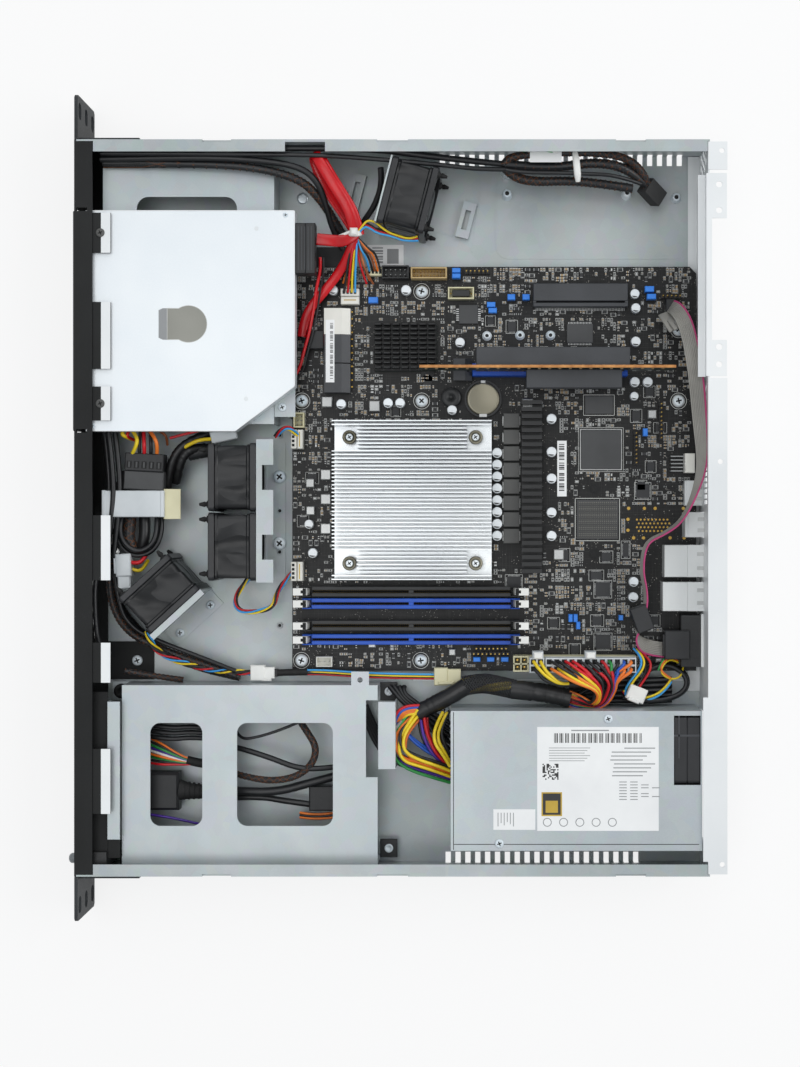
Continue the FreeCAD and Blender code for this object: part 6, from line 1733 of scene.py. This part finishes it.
    # the plug's two rows of twelve
    plug_rows = (
        "black black red red black black black red green black blue orange",
        "orange yellow orange yellow red black red black red blue orange orange",
    )
    for row, names in enumerate(plug_rows):
        x = 90.4 + 4.3 * row
        for k, colour in enumerate(names.split()):
            d = 278.6 + 4.25 * k
            reach = 300.6 + 0.62 * k + 1.5 * row
            tight = 1 - 0.05 * k
            end_x = 108.6 + 0.84 * k
            swing = min(d + 12 * tight, reach + 8)
            line = [
                (x, d, 32.4),
                (x + 0.6, d + 1.6, 36.4 + 0.8 * row),
                (x + 7, swing, 38.6 - 0.35 * k),
                (x + 15 - 2 * row, max(swing, reach + 5 - 0.25 * k), 35 - 0.5 * k),
                (116.8 + 0.1 * k, reach + 2.4, 28.4 - 0.35 * k),
                (end_x + 2.6, 296.6, 26.6 - 0.3 * k),
                (end_x, 289.6, 27.6 - 0.62 * k),
            ]
            wire(p, line, "wire_" + colour, 0.95)
    for k, colour in enumerate(("yellow", "yellow", "black", "black")):
        row, place = divmod(k, 2)
        line = [
            (90.4 + 4.2 * row, 268.2 + 4.2 * place, 32.4),
            (94 + 2.4 * row, 270.6 + 3.4 * place, 37),
            (100.2 - place + 2 * row, 277 + 1.6 * place - 2 * row, 35.2 - 2 * row),
            (104.4, 285.4, 32),
            (103.2 + 0.6 * k, 291, 30.4),
        ]
        wire(p, line, "wire_" + colour, 1)
    wrinkled(p, [(103.9, 289, 30), (103.7, 295.8, 29), (104.6, 302.9, 26), (107, 309, 22)], 2.3,
             "tape_black", 9, 0.1, 12)
    wire(p, [(88.8, 335, 21), (96, 333, 22), (101.6, 318, 20), (106, 304, 19), (112, 294, 20)],
         "wire_black", 1)
    p.done(replaces=("wiring_harness",))

    q = Piece("main_plug")
    x0, x1, y0, y1 = 88.3, 97.1, back(275.2), back(328.8)
    columns = (x0 + 2.3, x0 + 6.5)
    q.block(x0, x1, y0, y1, 20, 32.6, "clear_plastic", 0.4)
    pitch = (y1 - y0) / 12
    for k in range(12):
        for x in columns:
            y = y0 + pitch * (k + 0.5)
            q.block(x - 1.5, x + 1.5, y - 1.5, y + 1.5, 32.5, 32.75, "pit_black")
            q.block(x - 1.9, x + 1.9, y - 1.9, y - 1.55, 32.4, 33.3, "clear_plastic")
            q.block(x - 1.9, x + 1.9, y + 1.55, y + 1.9, 32.4, 33.3, "clear_plastic")
    for d in (267.6, 298.6):
        q.block(84.6, x0 + 0.4, back(d), back(d + 6.4), 22, 33.2, "clear_plastic", 0.6)
        q.block(84.9, x0 + 0.4, back(d + 0.6), back(d + 5.8), 33, 35, "latch_white", 0.6)
    # the four-way plug beside it
    q.block(x0, x1, back(265.8), back(274.6), 20, 32.6, "clear_plastic", 0.4)
    for y in (back(268.1), back(272.3)):
        for x in columns:
            q.block(x - 1.5, x + 1.5, y - 1.5, y + 1.5, 32.5, 32.75, "pit_black")
    q.done()


def drive_data_cables():
    """The red drive cable: from the adapter to the tie, round a loop, and down to the board."""
    p = Piece("data_cables")
    ribbon(p, [(-158.4, 140.6, 34), (-157.6, 148.9, 34), (-157.4, 155, 32), (-159.9, 160.3, 31),
               (-163, 163, 30)], 7, 1.7, "sata_red")
    upper = [
        (-163.2, 162.4, 30), (-174.4, 160.6, 35), (-188.4, 151.6, 38), (-200.4, 144.2, 38.8),
        (-208.2, 139.8, 37), (-208.6, 137.6, 31),
    ]
    lower = [(-200.4, 139.6, 27), (-187.2, 146.6, 25), (-173.4, 156.4, 26), (-163.6, 162.6, 28)]
    ribbon(p, upper + lower, 6.6, 1.9, "sata_red")
    edge = [(x + 1.4, d + 3.6, z - 0.7) for x, d, z in upper]
    ribbon(p, edge + [(x - 1, d - 2.6, z - 1.6) for x, d, z in lower], 4.6, 1.8, "sata_red")
    ribbon(p, [(-162.6, 162.5, 30), (-155.8, 161, 28), (-147.4, 157, 24), (-138.9, 151.2, 20),
               (-129.2, 142.7, 17), (-120.3, 134.6, 15.4), (-110.4, 130.4, 14.4), (-103.4, 129.6, 13.2)],
           5.6, 1.8, "sata_red")
    wire(p, [(-148.4, 142.1, 30), (-142.2, 142.4, 28), (-131, 139.3, 24), (-119.7, 137.5, 21),
             (-105.3, 134.6, 19), (-95.4, 131.6, 18), (-80.2, 127.6, 16), (-64, 110, 15), (-55, 101.6, 14)],
         "sata_red", 0.95, 0.8)
    wire(p, [(-148.4, 143.8, 28), (-141.2, 144.2, 26), (-130, 141.3, 22), (-118.7, 139.6, 19),
             (-104.3, 136.6, 18), (-94.4, 133.4, 17), (-79, 129.6, 15), (-62, 112.4, 14),
             (-53.6, 103.2, 13)], "wire_black", 0.6)
    x, y = BOARD_X + 39.2, BOARD_Y + 9.4
    p.block(x, x + 11.1, y + 0.2, y + 10.3, 10.2, 15.8, "black_plastic", 0.5)
    p.block(x + 1.4, x + 9.7, y + 8.2, y + 13.4, 10.8, 15.2, "sata_red", 0.8)
    strap = "latch_white"
    for tilt, lift in ((0, 0), (0.35, 0.4)):
        ring = []
        for k in range(25):
            turn = 2 * math.pi * k / 24
            a, b = 3.6 * math.cos(turn), 4.2 * math.sin(turn)
            ring.append((-162.8 + a * math.sin(tilt) + lift, back(162.2) + b, 29 + 3.4 * math.cos(turn)))
        p.tube(ring, [1] * 25, strap, 6, 0.6)
    p.block(-165.2, -160.6, back(160), back(164.4), 31.4, 34.6, strap, 1)
    p.tube([(-163, back(160), 32.6), (-160.6, back(153.6), 31.4), (-158.8, back(149.6), 30.4)],
           [0.9, 0.9, 0.7], strap, 6, 0.5)
    p.done(replaces=("sata_cables",))

    q = Piece("left_fan_wires")
    yellow = [
        (-161, 199.5, 28.6), (-159, 195.4, 29.6), (-161.1, 188.2, 30), (-162.7, 182.9, 31),
        (-165.7, 178.4, 32), (-168.7, 174.9, 33), (-169.8, 170.3, 33), (-166.4, 167.1, 32),
        (-162.8, 164.2, 30.4),
    ]
    red = [
        (-159.6, 199.9, 28), (-159, 191.8, 28.6), (-162, 184.6, 29), (-163.6, 175.6, 30),
        (-166.8, 171.1, 30), (-167.6, 167.6, 31), (-163.2, 164.6, 30),
    ]
    wire(q, yellow, "wire_yellow")
    wire(q, red, "wire_red")
    wire(q, [(x + 1.2, d + 0.2, z + 0.7) for x, d, z in red], "wire_sky")
    wire(q, [(x - 1.1, d + 0.4, z - 1) for x, d, z in red], "wire_black")
    pins = (("wire_black", 155.1), ("wire_red", 157.4), ("wire_yellow", 159.8), ("wire_sky", 161.9))
    for k, (material, d) in enumerate(pins):
        middle = (-147.6, 158.4 + 1.6 * k, 25.6 + (k % 2))
        route = [(-160.6, 161.4 + 0.8 * k, 28.6), middle, (-138.6, 157 + 1.7 * k, 21.6), (-129.4, d, 17.4)]
        wire(q, route, material)
    loose = (
        ("wire_orange", (-135.6, 154.2, 13)),
        ("wire_green", (-140.6, 151.6, 13)),
        ("wire_brown", (-134.4, 156, 12)),
        ("wire_yellow", (-137.4, 158.8, 12)),
        ("wire_red", (-135, 168.4, 14)),
        ("wire_brown", (-134.8, 172.4, 14)),
        ("wire_orange", (-137, 170.4, 14)),
    )
    for k, (material, end) in enumerate(loose):
        middle = (-149.6, 160.4 + 0.9 * k, 25.4 - 0.5 * k)
        low = ((-149.6 + end[0]) / 2 + 1, (middle[1] + end[1]) / 2, 20)
        wire(q, [(-160, 161.8 + 0.4 * k, 27.6), middle, low, end], material)
    header = (("sky", 170.2), ("black", 172), ("brown", 173.4), ("orange", 175.2), ("black", 176.8))
    for k, (colour, d) in enumerate(header):
        turn = (-148.8 - 0.6 * k, 169.4 + 1.5 * k, 23)
        wire(q, [(-160, 164.4, 28.6), (-154, 165.4 + 1.2 * k, 28.4), turn, (-142.4, d, 15.4)],
             "wire_" + colour)
    q.block(-144.6, -139.6, back(168.6), back(178), 10.4, 15.6, "ivory_plastic", 0.3)
    for k in range(4):
        q.block(-143.4, -140.8, back(169.4 + 2.2 * k), back(170.9 + 2.2 * k), 15.5, 15.75, "pit_black")
    q.done()


def io_ribbon_cable():
    """The grey ribbon to the rear: flat at its start, on edge along its run, flat again at its end."""
    p = Piece("ribbon_cable")
    route = [
        (-121, 351, 14.8), (-120, 353, 23.5), (-108, 359, 31), (-82, 363.5, 34.5), (-52, 366, 35.5),
        (-27, 368, 35),
    ]
    route += [
        (-9, 363.6, 33.6), (7.5, 356, 32), (15, 345.6, 30), (19, 336.6, 28), (26, 333.4, 27),
        (38, 332.6, 25.6), (48, 335, 24.4), (58, 335.4, 23),
    ]
    route += [(67, 332.6, 22), (75.6, 329.4, 21), (81.6, 333.4, 20), (84, 340.4, 19.4), (84.6, 347, 19)]
    line = followed(route)
    lanes = 9
    tracks = [[] for _ in range(lanes)]
    for k, point in enumerate(line):
        ahead = (line[min(k + 1, len(line) - 1)] - line[max(k - 1, 0)]).normalized()
        flat = ahead.cross(Vector((0, 0, 1))).normalized()
        upright = ahead.cross(flat).normalized()
        share = k / (len(line) - 1)
        rising = min(max((share - 0.1) / 0.28, 0), 1)
        falling = min(max((share - 0.84) / 0.1, 0), 1)
        tilt = math.radians(82) * rising * rising * (3 - 2 * rising) + math.radians(94) * falling
        side = flat * math.cos(tilt) + upright * math.sin(tilt)
        for j in range(lanes):
            tracks[j].append(point + side * (1.02 * (j - (lanes - 1) / 2)))
    for j, track in enumerate(tracks):
        p.tube(track, 0.6, "ribbon_edge" if j == 0 else "ribbon_grey", 6)
    p.block(-126, -114, back(348), back(354), 10.4, 14.9, "black_plastic", 0.5)
    for k in range(3):
        fold = [
            (-117 + k, 347 + 3.2 * k, 16 + k), (-113.5, 348.2 + 3 * k, 22 + 2 * k),
            (-106 - k, 352.4 + 2.6 * k, 26 + 2 * k),
        ]
        ribbon(p, fold, 8, 1, "ribbon_grey")
    # the clip that holds the ribbon upright, and the plug at its rear end
    p.at(65.6, back(332.7), 0, 20)
    p.block(-7.6, 7.6, -5, 5, 15, 28, "chip_black", 0.5)
    for k in range(4):
        p.block(-6.2 + 3.4 * k, -4 + 3.4 * k, -5.15, 5.15, 16, 27, "slot_black", 0.2)
    p.at()
    p.block(72.8, 90, back(346.4), back(361.6), 12, 23.6, "chip_black", 0.6)
    p.block(75, 88, back(345.4), back(346.8), 13, 22.6, "slot_black", 0.3)
    p.done(replaces=("io_ribbon",))


def left_wall_cables():
    """The cables along the left wall, and the spare drive power cable beyond them."""
    route = [
        (-211.4, 11, 27), (-211.2, 62, 34), (-211.4, 120, 36.5), (-211, 176, 36.5), (-206, 214, 34.5),
        (-203, 252, 31),
    ]
    leads = cable("left_wall_cable", route, 1.9)
    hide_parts("left_leads")

    route = [(-203, 252, 31), (-200.9, 278.6, 28.55), (-204.5, 304, 31.5), (-201, 325, 30), (-193, 335, 21)]
    spare = cable("spare_cable", route, 2.8)
    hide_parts("spare_power_cable")
    p = Piece("left_wall_wires")
    weave(p, followed(route), 2.85, 9, 0.24, 14)
    wire(p, [(-208.4, 14, 36), (-208, 43, 38.2), (-207.4, 80, 39), (-207.2, 118, 39), (-206.6, 149, 38.6),
             (-203.6, 190, 37.6), (-201.6, 214, 36), (-199.4, 237, 34), (-199.8, 252, 32.4)], "wire_black",
         1.4)
    wire(p, [(-205.6, 13, 33), (-206, 60, 36.4), (-205, 102, 37), (-201, 131, 36), (-192, 141.5, 33),
             (-178, 145.6, 24), (-166, 148.6, 16), (-156, 154, 12)], "wire_black", 1.9)
    braided(p, [(-204, 14, 30), (-203.2, 70, 33), (-200.6, 106, 34), (-194, 131, 32), (-184, 141.5, 26),
                (-172, 149.6, 18), (-160, 157, 12)], 2.7)
    wire(p, [(-200.6, 178, 33), (-195, 178.6, 30), (-186, 176.6, 24), (-176, 170.6, 18), (-168, 163, 13)],
         "wire_black", 1.8)
    braided(p, [(-201.5, 251, 30), (-196.4, 256, 28), (-193.4, 268, 27), (-194.2, 290, 27.4),
                (-192, 312, 26.6), (-190.2, 327, 24)], 2.9)
    second = [
        (-207.6, 256.6, 33), (-209.4, 280, 33.6), (-209.4, 305, 33.2), (-207.4, 322, 32), (-200, 333, 28),
        (-193.4, 336.4, 22),
    ]
    braided(p, [(-202.4, 250.6, 31.4), (-204.8, 252, 32.2)] + second, 2.4)
    wire(p, [(-199.4, 252, 33.4), (-197.6, 262, 34), (-197.6, 280, 33.6), (-197, 300, 33.6),
             (-196.4, 318, 32), (-192.8, 332, 25)], "wire_black", 1.2)
    for k, material in enumerate(("wire_green", "wire_white")):
        wire(p, [(-209.8, 262 + 3 * k, 35.6), (-210.6, 268 + 3 * k, 37.4), (-210.2, 275 + 3 * k, 37),
                 (-208.6, 281 + 3 * k, 35.4)], material, 0.55)
    p.tube([(-212.2, back(292), 34.4), (-204, back(293.2), 36.6), (-196, back(294), 36),
            (-192.4, back(294.4), 33)], [1.4, 2.1, 2.1, 1.4], "latch_white", 8, 0.35)
    p.block(-212, -203.2, back(266), back(284.6), 35.9, 36.3, "label_white")
    p.done()


def drive_power_cable():
    """The sleeved lead from the supply's harness to the front, round the fan, with its plug."""
    route = [
        (101.2, 92, 11), (96, 66, 10), (84, 42, 9), (62, 18.5, 9), (35, 13, 8.5), (9, 20, 8), (-12, 30, 8),
    ]
    plug = Piece("drive_plug").at(-12, back(30), 0, 244.5)
    plug.block(-13, 13, -6, 6, 4, 11.8, "black_plastic", 0.6)
    for k in range(5):
        plug.block(-10.6 + 4.4 * k, -7.6 + 4.4 * k, -4.6, -0.6, 11.7, 12, "pit_black")
    plug = plug.done()
    lead = cable("drive_cable", route, 2.6)
    sleeve = Piece("drive_cable_sleeve")
    weave(sleeve, followed(route), 2.65, 9, 0.24, 14)
    sleeve.done()
    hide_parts("front_leads")

    route = [(72.8, 40.2, 30), (81, 40.5, 25), (89.5, 50, 17), (95, 66, 14.6), (98, 84, 14), (98.5, 99, 14)]
    joint = Piece("fan_lead_joint")
    joint.block(93.9, 103.1, back(99), back(107.4), 10.8, 17.2, "latch_white", 0.5)
    joint.block(95.1, 101.9, back(107), back(113.4), 11.2, 16.6, "latch_white", 0.4)
    joint.block(101.6, 103.4, back(105.6), back(111.4), 13.2, 17, "latch_white", 0.4)
    joint.block(96.2, 100.8, back(113.2), back(115.2), 12, 16, "black_plastic", 0.3)
    joint = joint.done()
    lead = cable("fan_lead", route, 1.2)
    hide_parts("front_leads")
    strands = Piece("fan_lead_wires")
    fan_wires(strands, route, 1.35, 0.62, 26)

    route = [(98.5, 115, 14), (98, 140, 14.5), (100.5, 172, 15), (101, 209, 14)]
    end = Piece("fan_lead_end")
    end.block(95.5, 106, back(209), back(217.2), 10.4, 17, "ivory_plastic", 0.5)
    end.block(96.3, 105.2, back(217), back(225), 10.8, 16.4, "ivory_plastic", 0.4)
    end.block(103.4, 105.4, back(211.6), back(221), 13, 18, "ivory_plastic", 0.5)
    end = end.done()
    lead = cable("fan_lead_onward", route, 1.2)
    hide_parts("front_leads")
    for k, material in enumerate(("wire_sky", "wire_yellow", "wire_red")):
        along = [(x - 1.5 + 1.3 * k, d, z + 1.1 - 0.4 * k) for x, d, z in [(98.5, 129, 14)] + route[1:]]
        wire(strands, along, material, 0.6)
    wrinkled(strands, [(98.5, 115, 14.6), (98.1, 124, 14.8), (98, 133, 14.8)], 2.1, "black_rubber", 4, 0.05,
             10)
    strands.done()


def front_wires():
    """What lies in the open front: drive power connector, ribbon clamp, loops and fan leads."""
    p = Piece("front_wires")
    p.at(-21.2, back(38), 0, 87)
    p.block(-11.4, 11.4, 0.6, 11.2, 20, 31, "black_plastic", 0.5)
    p.block(-11.8, 11.8, -10.4, 0.8, 18, 30, "chip_grey", 0.6)
    for k in range(5):
        x = -8.8 + 4.4 * k
        p.block(x - 1.5, x + 1.5, 2.2, 6.4, 30.9, 31.15, "pit_black")
        p.block(x - 0.5, x + 0.5, 2.6, 6, 31.1, 31.3, "chip_grey")
    p.at()
    for material, line, radius in (
        ("wire_yellow", [(-46.4, 30, 26), (-42.4, 34.4, 33), (-37.4, 35, 35), (-32.4, 31.2, 30)], 1.15),
        ("wire_yellow", [(-46.8, 25.4, 26), (-44.4, 25, 31), (-42.4, 26.4, 31), (-41, 30, 24)], 1.15),
        ("wire_red", [(-46.4, 28.6, 24), (-44.2, 28, 30), (-41.8, 28, 29), (-40.4, 31.6, 22)], 1),
        ("wire_black", [(-46.4, 35.2, 26), (-40.4, 35.8, 32), (-34.6, 35.4, 31), (-32, 35, 28)], 1.1),
        ("wire_red", [(-46.4, 37, 26), (-39.6, 38.6, 33), (-35.2, 38.8, 33), (-32, 38, 29)], 1.15),
        ("wire_black", [(-46.4, 41, 26), (-40, 42.4, 32), (-35.4, 42.4, 31), (-32, 41.6, 28)], 1.1),
        ("wire_orange", [(-46.4, 40.4, 27), (-42.2, 44.8, 34), (-37, 46.8, 34), (-32, 45.4, 29)], 1.15),
        ("wire_brown", [(-46.4, 45, 25), (-44.6, 49, 27), (-42, 50.8, 26), (-38, 50, 20)], 0.8),
    ):
        wire(p, line, material, radius)
    p.block(-10.4, 5.2, back(14.9), back(49.6), 29.4, 31.4, "clear_plastic", 0.4)
    p.block(-10.6, 5.4, back(13.4), back(15.4), 23, 32, "clear_plastic", 0.3)
    p.block(-11.4, 6.4, back(49.4), back(59.4), 27.6, 28.8, "ivory_plastic", 0.2)
    p.block(-10.4, 5.2, back(48), back(50.2), 28.4, 31.8, "clear_plastic", 0.3)
    loop = [
        (3, 24.4, 24), (12, 22.4, 27), (21.6, 26, 28), (26.2, 34, 28), (22, 42.6, 28), (12, 45.4, 27),
        (3, 44.4, 24),
    ]
    wire(p, loop, "wire_black", 1.5)
    wire(p, [(3, 22, 22), (13, 19.6, 24), (24.6, 23.6, 25), (29, 33, 25), (25, 43.6, 25), (13, 48, 24),
             (3, 47, 22)], "wire_black", 1.5)
    braided(p, [(2, 29, 22), (10, 28.4, 24), (18, 27.4, 24), (25, 30, 22)], 3.6)
    wire(p, [(2, 36.6, 22), (10, 37.4, 24), (18, 37, 24), (25, 34.6, 21)], "tape_black", 3.4)
    p.at(37.4, back(25.6), 0, 3)
    p.block(-10.4, 3, -4.6, 4.6, 21, 29.6, "clear_plastic", 0.7)
    p.block(2.6, 10.4, -3.8, 3.8, 21.8, 28.8, "clear_plastic", 0.7)
    p.block(-8, 1, -5.4, -4.4, 26, 30.4, "clear_plastic", 0.4)
    p.at()
    wire(p, [(32, 29.6, 26), (32.8, 33.4, 27), (30.6, 37, 26), (26, 38.6, 22)], "wire_red", 1.2)
    wire(p, [(36, 30, 24), (37.6, 33.4, 24), (35.4, 36.4, 22), (31, 38, 18)], "wire_yellow", 1.1)
    wire(p, [(26.6, 21.6, 26), (22, 18.6, 24), (16, 17.4, 22)], "wire_white", 1.4)
    wire(p, [(-36.5, 61.4, 25), (-38.6, 65.6, 27.6), (-40.8, 71.6, 28), (-41.2, 77.6, 25.6)], "wire_yellow",
         1.15)
    p.at(-43.2, back(84.4), 0, 103)
    p.block(-7.6, 7.6, -3.6, 3.6, 21.8, 27.6, "clear_plastic", 0.6)
    p.block(-4, 6.4, 2.6, 4.6, 23, 28, "clear_plastic", 0.4)
    p.at()
    wrinkled(p,
             [(-8, 49, 16), (-20, 50.8, 21), (-30, 54, 24), (-38, 60.4, 24), (-43, 70, 22), (-47, 80, 19)],
             2.6, "tape_black", 12, 0.16)
    wrinkled(p, [(-16, 54, 14), (-24, 56.6, 20), (-31, 59.6, 23), (-35.6, 64.6, 23), (-36.2, 72.6, 20)],
             2.9, "tape_black", 14, 0.16)
    wrinkled(p, [(-32.4, 63, 19), (-33.8, 70, 20.4), (-35.6, 77.6, 20)], 4, "black_plastic", 15, 0.1)
    wire(p, [(-41.6, 53, 28), (-44, 62, 29), (-46.4, 72, 28)], "wire_red", 0.8)
    for j, d in enumerate((17, 20.4, 13.8)):
        wire(p, [(-46, d, 30 - 2 * j), (-28, d + 2.6, 32 - 2 * j), (-8, d + 3.4, 31 - 2 * j),
                 (12, d + 1, 30 - 2 * j), (30, d - 1.4, 28 - 2 * j)], "wire_black", 1.7)
    wire(p, [(30, 12, 32), (42, 9.6, 33), (60, 9.6, 33), (80, 11, 32), (98, 14.4, 24)], "wire_black", 1.6)
    braided(p, [(12, 17, 20), (36, 14.6, 18), (58, 16, 17), (74, 25, 15), (83, 42, 14.6), (90.6, 62, 13.6),
                (95.6, 78, 13.6), (100.4, 90, 13)], 2.5)
    wire(p, [(36, 18.6, 22), (58, 21, 21), (71.6, 29, 19.6), (79, 44, 19), (86, 62, 18.4), (92, 77, 17),
             (97.4, 90, 15)], "wire_black", 1.35)
    braided(p, [(97, 24, 18), (101, 44, 15), (103, 58, 12)], 1.9)

    for k in range(4):
        lead = [
            (118 + 3 * k, 168, 14), (130 + 4 * k, 173, 12), (146 + 3 * k, 180 + 2 * k, 8),
            (158, 196 + 2 * k, 6),
        ]
        wire(p, lead, "wire_black", 1.6)
    fan_2 = [
        (40.8, 99.4, 22), (47.1, 94.3, 22), (54, 90.3, 21), (60.3, 91.7, 20), (62.3, 98.3, 18),
        (61, 107.4, 16), (58.3, 112.9, 14), (51, 114.2, 13), (43.9, 119, 14), (37.4, 125.4, 17),
    ]
    fan_wires(p, fan_2, 0.95, 0.6, 34, 0.2)
    fan_1 = [(-43, 114.2, 19), (-47.5, 118.3, 22), (-48.4, 123.9, 22), (-43.8, 127, 17.6)]
    fan_wires(p, fan_1, 0.95, 0.6, 30, 0.6)
    p.done()


def rear_wires():
    """The leads near the supply's rear corner: a fan lead, its plug and slack loops."""
    p = Piece("rear_wires")
    lead = [
        (83.8, 328.5, 18), (88, 332.5, 24), (94.7, 332.4, 25), (102.8, 325.5, 24), (110, 322.5, 20),
        (114.6, 326, 18), (115.2, 336.3, 18), (110.6, 346.6, 18), (103.4, 351.1, 18),
    ]
    wire(p, lead, "wire_sky", 0.75)
    wire(p, [(x + 0.4, d + 1.6, z + 0.6) for x, d, z in lead[:6]], "wire_yellow", 0.7)
    wire(p, [(84, 330.6, 18), (89.4, 337.6, 23), (95.4, 338.4, 24), (102, 334.4, 23), (107, 331, 22)],
         "wire_red", 0.75)
    wire(p, [(84, 329.4, 17), (90, 335, 21), (97, 335.6, 22), (104, 331.6, 22), (107, 329, 22)],
         "wire_black", 0.7)
    wire(p, [(x - 0.9, d - 0.6, z - 1.4) for x, d, z in lead[4:]], "wire_red", 0.7)
    wire(p, [(x - 1.6, d - 0.2, z + 0.6) for x, d, z in lead[4:]], "wire_yellow", 0.7)
    p.at(110.4, back(329.8), 0, -22)
    p.block(-4.4, 4.4, -5.6, 5.6, 20, 24.6, "latch_white", 0.6)
    p.block(2.8, 5.2, -4, 3.2, 21, 25.2, "latch_white", 0.5)
    p.at()
    ring = [
        (97.9, 334, 14), (93, 342, 14), (93.6, 353, 14), (101.3, 362, 14), (110.4, 359.6, 14),
        (115.4, 347, 14), (115.6, 332, 15), (113, 322, 16),
    ]
    wire(p, ring, "wire_black", 1.6)
    wire(p, [(x * 0.94 + 6.3, d * 0.93 + 24.4, z + 2.6) for x, d, z in ring], "wire_black", 1.5)
    small = [
        (92.4, 355.4, 16), (89.6, 351, 19), (92.6, 346, 21), (98.4, 344, 21), (102.4, 350.9, 20),
        (100.4, 357.6, 18), (94.6, 358.4, 15),
    ]
    wire(p, small, "wire_yellow", 0.6)
    wire(p, [(x - 1.1, d - 0.4, z + 0.5) for x, d, z in small[:5]], "wire_orange", 0.6)
    wire(p, [(x - 1.8, d - 1.2, z + 0.4) for x, d, z in small[:4]], "wire_green", 0.6)
    p.block(87.4, 94.4, back(354.6), back(360.6), 10.2, 15.4, "black_plastic", 0.4)
    p.done()


def cage_wires():
    """What shows through the right cage's two windows."""
    p = Piece("cage_wires")
    sleeve_colours = ("orange", "black", "green", "purple", "white", "orange", "green", "black", "red")
    for k, colour in enumerate(sleeve_colours):
        line = [
            (136 + 2 * k, 34, 13 + (k % 2)), (139.6 + 1.7 * k, 44, 16 + (k % 3)), (146 + 0.9 * k, 54, 17),
            (150.6 + 0.35 * k, 63, 16), (152, 72, 15),
        ]
        wire(p, line, "wire_" + colour, 0.75)
    wire(p, [(150.8, 61, 15.4), (153, 69, 15), (154, 78, 14)], "black_rubber", 2.7)
    for k in range(3):
        wire(p, [(128 + 3.6 * k, 32, 16), (131.6 + 3.4 * k, 50, 19), (130 + 3.2 * k, 66, 18),
                 (133 + 3 * k, 84, 15)], "wire_black", 1.5)
    p.block(158, 180.6, back(36), back(56.4), 8, 18, "black_plastic", 1.6)
    p.tube([(168.8, back(56), 13.6), (169.6, back(62), 13.6), (170, back(70), 13.4)], [6.4, 4.8, 4.2],
           "black_rubber", 14, 0.7)
    for k in range(4):
        d = 58.4 + 2.9 * k
        p.tube([(169.2 + 0.15 * k, back(d), 13.6), (169.2 + 0.15 * k, back(d + 1.2), 13.6)], 5.7 - 0.3 * k,
               "black_rubber", 14, 0.75)
    wire(p, [(183, 34, 14), (184.8, 48, 15), (187.6, 62, 15), (191, 74, 13)], "wire_purple", 0.8)
    wire(p, [(126, 88, 16), (138.4, 91.2, 20), (136, 106, 22), (128.9, 125.9, 22), (124, 136, 18)],
         "wire_black", 0.9)
    braided(p, [(158, 86, 14), (160.8, 96.9, 17), (163, 112.9, 19), (160, 128, 20), (152, 137.1, 20),
                (142.2, 139, 20), (133, 133, 19), (126, 128, 17)], 2.1)
    wire(p, [(142, 86, 16), (144.4, 97.5, 19), (149, 112, 20), (154.9, 127.1, 20), (155.6, 140, 20),
             (154, 156, 17)], "wire_black", 1.7)
    wire(p, [(169, 84, 13), (170, 98, 15), (169.5, 116, 16), (164.6, 134, 16), (160, 152, 14)],
         "wire_black", 2.6)
    wire(p, [(174, 88, 11), (173, 104, 12), (176, 120, 12), (178, 136, 12)], "wire_black", 1.9)
    p.block(166.2, 181.3, back(134), back(151), 9, 16, "black_plastic", 0.8)
    for k, colour in enumerate(("orange", "black", "orange")):
        route = [(183 + 1.4 * k, 128, 11), (184.6 + 1.2 * k, 138, 13), (183 + 1.4 * k, 148, 12)]
        wire(p, route, "wire_" + colour, 0.8)
    p.done()


main_harness()
drive_data_cables()
io_ribbon_cable()
left_wall_cables()
drive_power_cable()
front_wires()
rear_wires()
cage_wires()

# ---- floor and the end ---------------------------------------------------------------

ground_mesh = bpy.data.meshes.new("ground")
ground_mesh.from_pydata([(-3, -3, -0.0004), (3, -3, -0.0004), (3, 3, -0.0004), (-3, 3, -0.0004)], [],
                        [(0, 1, 2, 3)])
ground = bpy.data.objects.new("ground", ground_mesh)
scene.collection.objects.link(ground)
pale = bpy.data.materials.new("pale_floor")
pale.use_nodes = True
tree = pale.node_tree
surface = tree.nodes["Principled BSDF"]
surface.inputs["Base Color"].default_value = (0.86, 0.86, 0.86, 1)
surface.inputs["Roughness"].default_value = 0.9
glow = tree.nodes.new("ShaderNodeEmission")
path = tree.nodes.new("ShaderNodeLightPath")


def floor_maths(operation, a, b):
    made = tree.nodes.new("ShaderNodeMath")
    made.operation = operation
    for socket, value in zip(made.inputs, (a, b)):
        if isinstance(value, float):
            socket.default_value = value
        else:
            tree.links.new(value, socket)
    return made.outputs[0]


# what the camera sees of the floor, straight or through a mirror, is four fifths its own glow
seen = floor_maths("MAXIMUM", path.outputs["Is Camera Ray"], path.outputs["Is Glossy Ray"])
seen = floor_maths("MAXIMUM", seen, path.outputs["Is Transmission Ray"])
blend = tree.nodes.new("ShaderNodeMixShader")
tree.links.new(floor_maths("MULTIPLY", seen, 0.8), blend.inputs[0])
tree.links.new(surface.outputs[0], blend.inputs[1])
tree.links.new(glow.outputs[0], blend.inputs[2])
tree.links.new(blend.outputs[0], tree.nodes["Material Output"].inputs["Surface"])
ground_mesh.materials.append(pale)
ground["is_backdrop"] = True

world = bpy.data.worlds.new("studio")
world.use_nodes = True
world.node_tree.nodes["Background"].inputs["Color"].default_value = (0.92, 0.96, 1.0, 1)
world.node_tree.nodes["Background"].inputs["Strength"].default_value = 0.47
scene.world = world

low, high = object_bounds()
